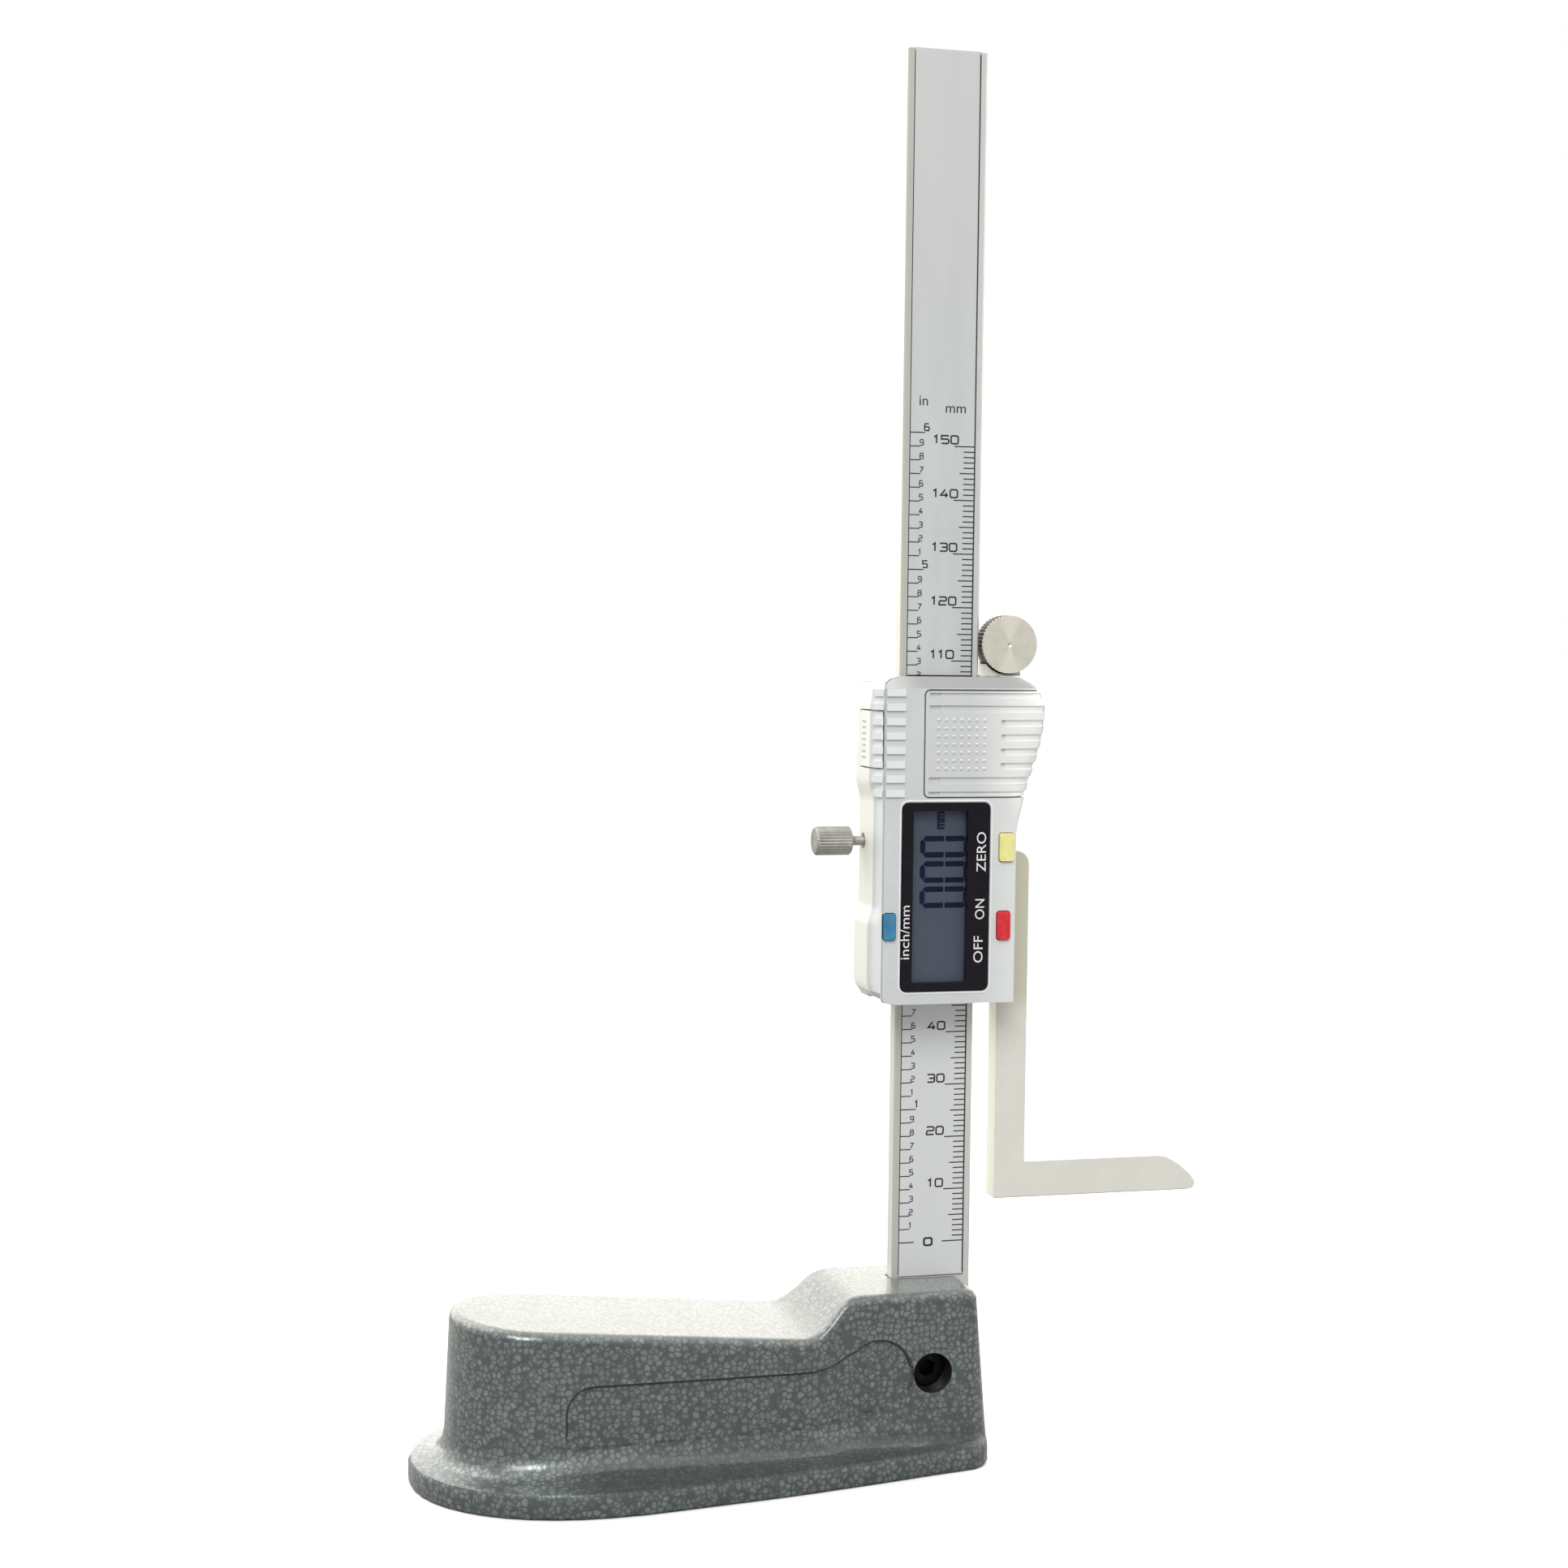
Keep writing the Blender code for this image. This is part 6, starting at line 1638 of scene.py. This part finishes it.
@dataclass
class Scale:
    """The beam and the printed scale strip that lies in it."""

    stock: Stock
    zero: float = 39.5
    length: int = 150
    inches: int = 6
    inch: float = 25.4
    edge: float = 6.375
    face: float = 0.0
    margin: float = 0.02
    line: float = 0.21
    short: float = 2.15
    middle: float = 2.9
    long: float = 4.0
    nought_long: float = 4.15
    inch_line: float = 0.19
    inch_line_whole: float = 0.2
    inch_short: float = 2.1
    inch_long: float = 3.0
    side_line: float = 0.16
    side_out: float = 0.05
    side_low: float = 0.3
    side_high: float = 222.3
    ten_left: float = -1.25
    hundred_left: float = -1.85
    one_shift: float = 0.35
    ten_up: float = 0.35
    nought_left: float = -1.5
    nought_down: float = 0.87
    tenth_left: float = -4.47
    tenth_up: float = 0.12
    inch_left: float = -3.65
    inch_up: float = 0.25
    type_high: float = 2.75
    inch_place: Place = (-4.75, 0.0, 196.9)
    millimetre_place: Place = (0.4, 0.0, 195.7)

    def tick(
        self, name: str, start: float, reach: float, height: float, width: float
    ) -> bpy.types.Object:
        """Draws one printed line: a flat strip pulled forward into a thin bar.

        Args:
            name: The name of the piece.
            start: The side edge that the line starts from.
            reach: Its length, to the right where positive.
            height: The height of its middle.
            width: Its thickness.

        Returns:
            The line.
        """
        Bench.clear()
        middle = ((start + reach / 2) * MM, self.face * MM, height * MM)
        bpy.ops.mesh.primitive_plane_add(size=1.0, location=middle, rotation=(math.pi / 2, 0.0, 0.0))
        bpy.ops.transform.resize(value=(abs(reach) * MM, 1.0, width * MM))
        piece = Bench.settle(bpy.context.object, name)
        return Bench.thicken(piece, PRINT_DEPTH)

    def rank(self, piece: bpy.types.Object, count: int, pitch: float) -> bpy.types.Object:
        """Repeats a line up the scale.

        Args:
            piece: The line.
            count: How many there are in all.
            pitch: The step between them in millimetres.

        Returns:
            The ranked lines as one piece.
        """
        return Bench.repeat(piece, count, (0.0, 0.0, pitch))

    def print_piece(self, piece: bpy.types.Object) -> None:
        """Gives a piece the dark ink and fixes it to the base.

        Args:
            piece: The printed piece.
        """
        fit(piece, Body.BASE, self.stock.ink)

    def build_millimetres(self) -> None:
        """Prints the millimetre lines from the right edge, and both lines of the nought."""
        edge = self.edge - self.margin
        ones = self.tick("millimetre_lines", edge, -self.short, self.zero + 1, self.line)
        self.rank(self.rank(ones, 4, 1.0), self.length // 5, 5.0)
        fives = self.tick("five_lines", edge, -self.middle, self.zero + 5, self.line)
        self.rank(fives, self.length // 10, 10.0)
        tens = self.tick("ten_lines", edge, -self.long, self.zero + 10, self.line)
        self.rank(tens, self.length // 10, 10.0)
        nought = self.tick("zero_line_right", edge, -self.nought_long, self.zero, self.line)
        left = self.tick("zero_line_left", -edge, self.inch_long, self.zero, self.line)
        self.print_piece(Bench.join("millimetre_lines", [ones, fives, tens, nought, left]))

    def build_inches(self) -> None:
        """Prints the inch lines from the left edge."""
        edge = -self.edge + self.margin
        tenth = self.inch / 10
        tenths = self.tick("inch_lines", edge, self.inch_short, self.zero + tenth, self.inch_line)
        self.rank(self.rank(tenths, 9, tenth), self.inches, self.inch)
        start = self.zero + self.inch
        wholes = self.tick("whole_inch_lines", edge, self.inch_long, start, self.inch_line_whole)
        self.rank(wholes, self.inches, self.inch)
        self.print_piece(Bench.join("inch_lines", [tenths, wholes]))

    def build_edges(self) -> None:
        """Prints the thin line that closes the scale on each side."""
        low = frame_low("scale_strip")[2] / MM + self.side_low
        high = self.zero + self.side_high
        middle = (low + high) / 2
        edge = self.edge + self.side_out
        left = self.tick("left_line", -edge, self.side_line, middle, high - low)
        right = self.tick("right_line", edge, -self.side_line, middle, high - low)
        self.print_piece(Bench.join("scale_edge_lines", [left, right]))

    def build_ten_figures(self) -> None:
        """Prints the figures of the millimetre scale, larger than the rest."""
        large = Typeface(width=1.7, height=1.75, pen=0.29)
        numbers = []
        for ten in range(10, self.length + 1, 10):
            text = str(ten)
            left = self.hundred_left if len(text) == 3 else self.ten_left
            left += self.one_shift if text[0] == "1" and len(text) == 2 else 0.0
            low = self.zero + ten + self.ten_up
            numbers += large.number(text, left, low, gap=0.16, front=self.face)
        self.print_piece(Bench.join("millimetre_figures", numbers))
        large.clear()
        bold = Typeface(width=1.9, height=1.75, pen=0.37)
        low = self.zero - self.nought_down
        nought = bold.number("0", self.nought_left, low, gap=0.2, front=self.face)
        self.print_piece(Bench.join("zero_figure", nought))
        bold.clear()

    def build_inch_figures(self) -> None:
        """Prints the figures of the inch scale: the tenths small and grey, the inches dark."""
        small = Typeface(width=0.84, height=1.2, pen=0.2)
        marks = []
        for inch in range(self.inches):
            for tenth in range(1, 10):
                low = self.zero + inch * self.inch + tenth * self.inch / 10 + self.tenth_up
                marks += small.number(str(tenth), self.tenth_left, low, gap=0.2, front=self.face)
        fit(Bench.join("tenth_figures", marks), Body.BASE, self.stock.ink_thin)
        small.clear()
        whole = Typeface(width=1.15, height=1.5, pen=0.24)
        signs = []
        for inch in range(1, self.inches + 1):
            low = self.zero + inch * self.inch + self.inch_up
            signs += whole.number(str(inch), self.inch_left, low, gap=0.2, front=self.face)
        self.print_piece(Bench.join("inch_figures", signs))
        whole.clear()

    def build_units(self) -> None:
        """Prints the names of the two units over their scales."""
        units = (
            ("inch_unit", "in", self.inch_place),
            ("millimetre_unit", "mm", self.millimetre_place),
        )
        for name, text, place in units:
            self.print_piece(Bench.words(name, text, place, Facing.UPRIGHT, self.type_high))

    def build(self) -> None:
        """Dresses the beam and prints the strip."""
        wear(frame["nodes"]["beam"], self.stock.beam)
        wear(frame["nodes"]["scale_strip"], self.stock.scale)
        self.build_millimetres()
        self.build_inches()
        self.build_edges()
        self.build_ten_figures()
        self.build_inch_figures()
        self.build_units()


@dataclass
class Display:
    """The bezel with its printed words, the pane, and the liquid crystal with its reading."""

    stock: Stock
    crystal_face: float = -7.05
    bezel_face: float = -8.75
    digit_left: float = -5.5
    digit_right: float = 4.0
    digit_starts: tuple[float, ...] = (103.8, 108.5, 113.2)
    digit_width: float = 4.0
    bar: float = 1.0
    bar_depth: float = 0.03
    gap: float = 0.09
    blunt: float = 0.12
    unit_across: float = -0.95
    unit_up: float = 118.4
    bead_reach: float = 0.42
    bead_width: float = 0.3
    bead_face: float = -8.48
    bead_depth: float = 0.12
    bead_edge: float = 0.05
    bead_round: float = 1.5
    bead_steps: int = 5

    def bar_piece(
        self, start: Point, end: Point, start_point: float, end_point: float
    ) -> bpy.types.Object:
        """Draws one bar of a digit: a hexagon with pointed or blunt ends, pulled forward.

        Args:
            start: One end of the bar's middle line, as x and z in millimetres.
            end: The other end.
            start_point: The length of the point at the start, in millimetres.
            end_point: The length of the point at the end.

        Returns:
            The bar.
        """
        Bench.clear()
        bpy.ops.mesh.primitive_circle_add(
            vertices=6, radius=MM, fill_type="NGON", rotation=(math.pi / 2, 0.0, 0.0)
        )
        piece = Bench.settle(bpy.context.object, "bar")
        first, last = Vector(start), Vector(end)
        along = (last - first).normalized()
        side = Vector((-along.y, along.x)) * self.bar / 2
        after, before = first + along * start_point, last - along * end_point
        corners = (first, after + side, before + side, last, before - side, after - side)
        for vertex, corner in zip(piece.data.vertices, corners):
            vertex.co = (corner.x * MM, self.crystal_face * MM, corner.y * MM)
        return Bench.thicken(piece, self.bar_depth)

    def build_reading(self) -> None:
        """Lights the bars of three noughts, which read up the panel."""
        bars = []
        half, gap, blunt = self.bar / 2, self.gap, self.blunt
        top, foot = self.digit_left + half, self.digit_right - half
        waist = (top + foot) / 2
        for start in self.digit_starts:
            left, right = start + half, start + self.digit_width - half
            for across in (top, foot):
                bars.append(self.bar_piece((across, left + gap), (across, right - gap), half, half))
            for up in (left, right):
                bars.append(self.bar_piece((top + gap, up), (waist - gap, up), half, blunt))
                bars.append(self.bar_piece((waist + gap, up), (foot - gap, up), blunt, half))
        reading = Bench.join("display_reading", bars)
        fit(reading, Body.SLIDER, self.stock.segment)
        place = (self.unit_across, self.crystal_face, self.unit_up)
        unit = Bench.words("display_unit", "mm", place, Facing.SIDEWAYS, 2.7, width=0.8, weight=0.05)
        fit(unit, Body.SLIDER, self.stock.segment)

    def build_words(self) -> None:
        """Prints the plain words for what the keys do beside them."""
        lines = (
            ("zero_word", "ZERO", 6.75, 110.55, 2.6, 1.13),
            ("on_word", "ON", 6.6, 101.65, 2.6, 0.97),
            ("off_word", "OFF", 6.4, 93.55, 2.6, 1.13),
            ("unit_word", "inch/mm", -7.9, 94.4, 2.5, 1.18),
        )
        for name, text, across, up, size, width in lines:
            place = (across, self.bezel_face, up)
            word = Bench.words(name, text, place, Facing.SIDEWAYS, size, width)
            fit(word, Body.SLIDER, self.stock.white)

    def build_bead(self) -> None:
        """Raises the bright bead of the housing round the bezel."""
        low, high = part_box("bezel")
        reach, radius = self.bead_reach, self.bead_round
        left, right = low.x / MM - reach + radius, high.x / MM + reach - radius
        foot, top = low.z / MM - reach + radius, high.z / MM + reach - radius
        path = []
        for turn, (across, up) in enumerate(((right, top), (left, top), (left, foot), (right, foot))):
            for step in range(self.bead_steps + 1):
                angle = math.pi / 2 * (turn + step / self.bead_steps)
                path.append((across + radius * math.cos(angle), up + radius * math.sin(angle)))
        bead = Bench.ribbon(path, True, self.bead_width, self.bead_face, self.bead_depth)
        bead = Bench.settle(bead, "bezel_bead")
        Bench.modify(bead, "BEVEL", width=self.bead_edge * MM, segments=1, limit_method="ANGLE")
        fit(Bench.tidy(bead), Body.SLIDER, self.stock.bead)

    def build(self) -> None:
        """Dresses the display and adds its reading, its words and the bead round it."""
        wear(frame["nodes"]["bezel"], self.stock.bezel)
        wear(frame["nodes"]["display_window"], self.stock.pane)
        wear(frame["nodes"]["lcd_panel"], self.stock.crystal)
        wear(frame["nodes"]["zebra_left"], self.stock.zebra)
        wear(frame["nodes"]["zebra_right"], self.stock.zebra)
        self.build_reading()
        self.build_words()
        self.build_bead()


@dataclass
class Housing:
    """The silver housing with its two covers."""

    stock: Stock
    dot_columns: int = 7
    dot_rows: int = 7
    dot_left: float = -2.68
    dot_low: float = 129.7
    dot_pitch: Point = (1.486, 1.5)
    dot_radius: float = 0.36
    dot_corners: int = 10
    dot_sink: float = 0.02
    dot_rises: tuple[Point, ...] = ((0.1, 0.86), (0.06, 0.5))
    port_ribs: int = 7
    port_rib_depth: Point = (-2.1, -0.2)
    port_rib_side: Point = (-0.12, 0.1)
    port_rib_low: float = 131.5
    port_rib_high: float = 0.5
    port_rib_edge: float = 0.05
    port_rib_pitch: float = 1.1
    wiper_span: Point = (-6.2, 6.3)
    wiper_depth: Point = (-0.38, -0.06)
    wiper_rise: Point = (-1.2, 0.25)
    wiper_edge: float = 0.08
    foot_side: float = -4.0
    foot_front: float = -8.0
    foot_top: float = 90.0
    foot_low: float = 86.75
    foot_drop: float = 0.6
    foot_round: float = 2.3
    foot_bend: float = 1.5
    groove_front: float = -8.3
    groove_reach: float = 0.4
    seam_near: float = -13.2

    def build_dots(self) -> None:
        """Raises the square field of small grip dots on the battery cover."""
        Bench.clear()
        front = frame_low("battery_cover").y / MM
        bpy.ops.mesh.primitive_circle_add(
            vertices=self.dot_corners,
            radius=self.dot_radius * MM,
            fill_type="NGON",
            rotation=(math.pi / 2, 0.0, 0.0),
            location=(self.dot_left * MM, (front + self.dot_sink) * MM, self.dot_low * MM),
        )
        dot = Bench.settle(bpy.context.object, "grip_dot")
        Bench.pick_faces(dot, lambda middle, normal: True)
        for rise, size in self.dot_rises:
            Bench.pull(rise)
            bpy.ops.transform.resize(value=(size, 1.0, size))
        bpy.ops.object.mode_set(mode="OBJECT")
        Bench.tidy(dot, 60.0)
        Bench.repeat(dot, self.dot_columns, (self.dot_pitch[0], 0.0, 0.0))
        Bench.repeat(dot, self.dot_rows, (0.0, 0.0, self.dot_pitch[1]))
        dots = Bench.settle(dot, "cover_grip_dots")
        fit(dots, Body.CELL_LID, self.stock.lid)

    def build_port_ribs(self) -> None:
        """Raises the short ribs that a fingertip pushes the port cover by."""
        side = frame_low("port_cover").x / MM
        out, inner = (side + reach for reach in self.port_rib_side)
        front, back = self.port_rib_depth
        foot, top = self.port_rib_low, self.port_rib_low + self.port_rib_high
        rib = Bench.block("port_rib", (out, front, foot), (inner, back, top), self.port_rib_edge)
        Bench.repeat(rib, self.port_ribs, (0.0, 0.0, self.port_rib_pitch))
        fit(Bench.settle(rib, "port_grip_ribs"), Body.PORT_LID, self.stock.lid)

    def build_wiper(self) -> None:
        """Lays the dark felt that wipes the scale in the mouth at the top of the housing, which also
        serves as painted shadow in that mouth.
        """
        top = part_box("housing_shell")[1].z / MM
        left, right = self.wiper_span
        front, back = self.wiper_depth
        low, high = (top + rise for rise in self.wiper_rise)
        felt = Bench.block("scale_wiper", (left, front, low), (right, back, high), self.wiper_edge)
        fit(felt, Body.SLIDER, self.stock.felt)

    def square_foot(self, shell: bpy.types.Object) -> None:
        """Carries the front panel square down to its lower left corner beside the seam.

        Args:
            shell: The smooth copy of the housing.
        """
        levels: dict[float, list[bpy.types.MeshVertex]] = {}
        for corner in shell.data.vertices:
            across, depth, up = corner.co / MM
            if across < self.foot_side and depth < self.foot_front and up < self.foot_top:
                levels.setdefault(round(up, 2), []).append(corner)
        for corners in levels.values():
            groove = [corner.co.x / MM for corner in corners if corner.co.y / MM > self.groove_front]
            if groove:
                near = min(groove)
                drop = max(0.0, (self.foot_low - corners[0].co.z / MM) / self.foot_drop)
                goal = self.seam_near + self.foot_round * drop**self.foot_bend
                for corner in corners:
                    if corner.co.x / MM < near + self.groove_reach:
                        corner.co.x += min(0.0, goal - near) * MM

    def build(self) -> None:
        """Dresses the housing and its covers."""
        shell = refine("housing_shell", Body.SLIDER, self.stock.housing, 28.0)
        self.square_foot(shell)
        self.build_wiper()
        self.build_port_ribs()
        refine("port_cover", Body.PORT_LID, self.stock.housing, 28.0)
        refine("battery_cover", Body.CELL_LID, self.stock.lid, 28.0)
        self.build_dots()


@dataclass
class Works:
    """The keys, the electronics, the slider's frame, roller, lock and scriber, and their screws."""

    stock: Stock
    roller_centre: Point = (13.4, 152.7)
    roller_face: float = -1.45
    face_inner: float = 4.0
    face_radius: float = 5.42

    def widen_face(self, roller: bpy.types.Object) -> None:
        """Carries the polished face of the roller out to the roots of its knurl.

        Args:
            roller: The smooth copy of the roller.
        """
        middle, level = self.roller_centre
        for corner in roller.data.vertices:
            across, depth, up = corner.co / MM
            reach = math.hypot(across - middle, up - level)
            if depth < self.roller_face and reach > self.face_inner:
                share = self.face_radius / reach
                corner.co.x = (middle + (across - middle) * share) * MM
                corner.co.z = (level + (up - level) * share) * MM

    def build(self) -> None:
        """Dresses every part that the slider carries in or on its housing."""
        stock = self.stock
        finishes = {
            "button_zero": stock.key_zero,
            "button_power": stock.key_power,
            "button_unit": stock.key_unit,
            "key_dome_zero": stock.nickel,
            "key_dome_power": stock.nickel,
            "key_dome_unit": stock.nickel,
            "circuit_board": stock.board,
            "button_cell": stock.nickel,
            "cell_contact": stock.brass,
            "slider_frame": stock.pale_steel,
            "gib_strip": stock.brass,
            "gib_screw_low": stock.dark_steel,
            "gib_screw_high": stock.dark_steel,
            "back_plate": stock.frame,
            "rear_screw_low_left": stock.nickel,
            "rear_screw_high_left": stock.nickel,
            "rear_screw_low_right": stock.nickel,
            "rear_screw_bracket": stock.nickel,
            "roller_axle": stock.nickel,
            "roller_bracket": stock.pale_steel,
            "scriber": stock.scriber,
            "scriber_screw_low": stock.nickel,
            "scriber_screw_high": stock.nickel,
        }
        for node, material in finishes.items():
            wear(frame["nodes"][node], material)
            log.info("%s dressed in %s", node, material.name)
        roller = refine("thumb_roller", Body.ROLLER, stock.roller, 30.0)
        self.widen_face(roller)
        refine("lock_screw", Body.LOCK, stock.lock, 30.0)


@dataclass(frozen=True)
class Glow:
    """One side of the room's light: the axis and the span of its fade, its strength and its tint."""

    axis: str
    span: Point
    gain: float
    tint: Colour = (1.0, 0.99, 0.965)


@dataclass(frozen=True)
class SoftBox:
    """One soft box: its name, its place and the side of its face in metres, its watts and its tint."""

    name: str
    place: Place
    size: float
    power: float
    tint: Colour = (1.0, 1.0, 1.0)


@dataclass
class Studio:
    """The paper floor, the soft lights and the camera."""

    stock: Stock
    camera_place: Place = (-0.149117, -0.450287, 0.152583)
    yaw: float = 0.259049
    pitch: float = 0.055913
    roll: float = 0.0114886
    focal_share: float = 3111.7 / 1932
    sensor: float = 36.0
    near_clip: float = 0.01
    far_clip: float = 200.0
    floor_side: float = 60.0
    floor_round: float = 12.0
    room_low: float = 0.45
    room_tint: Colour = (1.0, 0.99, 0.965)
    room: tuple[Glow, ...] = (
        Glow("Y", (-0.9, 0.3), 0.65),
        Glow("Z", (0.3, 1.0), 0.5),
        Glow("X", (0.3, 1.0), 0.6),
        Glow("Y", (0.4, 1.0), 0.95, (1.0, 0.965, 0.875)),
    )
    backdrop: Colour = (1.0, 1.0, 1.0)
    light_goal: Place = (-0.03, 0.0, 0.1)
    lights: tuple[SoftBox, ...] = (
        SoftBox("key_light", (-0.57, -1.6, 1.6), 1.1, 32.0),
        SoftBox("back_light", (-0.6, 0.5, 0.8), 0.9, 3.5, (1.0, 0.97, 0.91)),
    )

    def lay_floor(self) -> None:
        """Lays the paper: a large sheet whose edges are rounded off."""
        Bench.clear()
        bpy.ops.mesh.primitive_plane_add(size=self.floor_side, location=(0.0, 0.0, 0.0))
        paper = Bench.settle(bpy.context.object, "studio_floor")
        Bench.edit(paper, "VERT")
        bpy.ops.mesh.select_all(action="SELECT")
        bpy.ops.mesh.bevel(offset=self.floor_round, segments=8, affect="VERTICES")
        bpy.ops.object.mode_set(mode="OBJECT")
        wear(paper, self.stock.paper)

    def light_world(self) -> None:
        """Fills the room with soft light, strongest overhead and behind, against a white backdrop."""
        world = bpy.data.worlds.new("soft_room")
        bpy.context.scene.world = world
        sheet = Sheet(world)
        place = sheet.add("ShaderNodeTexCoord", out="Generated")
        total = sheet.add("ShaderNodeRGB")
        total.socket.default_value = (*(self.room_low * part for part in self.room_tint), 1.0)
        for glow in self.room:
            share = sheet.fade(sheet.part(place, glow.axis), *glow.span, 0.0, glow.gain)
            sums = {0: share, 1: glow.tint, 2: total}
            total = sheet.add("ShaderNodeVectorMath", {"operation": "MULTIPLY_ADD"}, sums, "Vector")
        seen = sheet.add("ShaderNodeLightPath", out="Is Camera Ray")
        colour = sheet.blend(seen, total, (*self.backdrop, 1.0))
        light = sheet.add("ShaderNodeBackground", {}, {"Color": colour}, "Background")
        sheet.close("ShaderNodeOutputWorld", light)

    def hang_light(self, box: SoftBox) -> None:
        """Hangs one soft box that looks at the gauge and stays out of the picture.

        Args:
            box: The soft box.
        """
        Bench.clear()
        bpy.ops.object.light_add(type="AREA", location=box.place)
        lamp = bpy.context.object
        lamp.name = box.name
        lamp.data.energy = box.power
        lamp.data.color = box.tint
        lamp.data.shape = "SQUARE"
        lamp.data.size = box.size
        lamp.visible_camera = False
        look = Vector(self.light_goal) - Vector(box.place)
        lamp.rotation_euler = look.to_track_quat("-Z", "Y").to_euler()

    def place_camera(self) -> None:
        """Puts the camera where the photograph was taken from."""
        ahead = Vector(
            (
                math.sin(self.yaw) * math.cos(self.pitch),
                math.cos(self.yaw) * math.cos(self.pitch),
                -math.sin(self.pitch),
            )
        )
        level = Vector((math.cos(self.yaw), -math.sin(self.yaw), 0.0))
        above = level.cross(ahead)
        right = level * math.cos(self.roll) + above * math.sin(self.roll)
        top = above * math.cos(self.roll) - level * math.sin(self.roll)
        data = bpy.data.cameras.new("photo_camera")
        data.lens = self.focal_share * self.sensor
        data.sensor_width = self.sensor
        data.clip_start = self.near_clip
        data.clip_end = self.far_clip
        camera = bpy.data.objects.new("photo_camera", data)
        bpy.context.scene.collection.objects.link(camera)
        turn = Matrix((right, top, -ahead)).transposed().to_4x4()
        camera.matrix_world = Matrix.Translation(self.camera_place) @ turn
        bpy.context.scene.camera = camera

    def build(self) -> None:
        """Sets up the whole studio."""
        self.lay_floor()
        self.light_world()
        for box in self.lights:
            self.hang_light(box)
        self.place_camera()
        bpy.context.scene.view_settings.view_transform = "Standard"


def main() -> None:
    """Builds the gauge's dress in order and reports each piece."""
    logging.basicConfig(level=logging.INFO, format="%(name)s %(message)s")
    stock = Stock()
    for kind in (Base, Scale, Housing, Display, Works, Studio):
        assembly = kind(stock)
        assembly.build()
        log.info("%s is done", type(assembly).__name__)


if __name__ == "__main__":
    main()
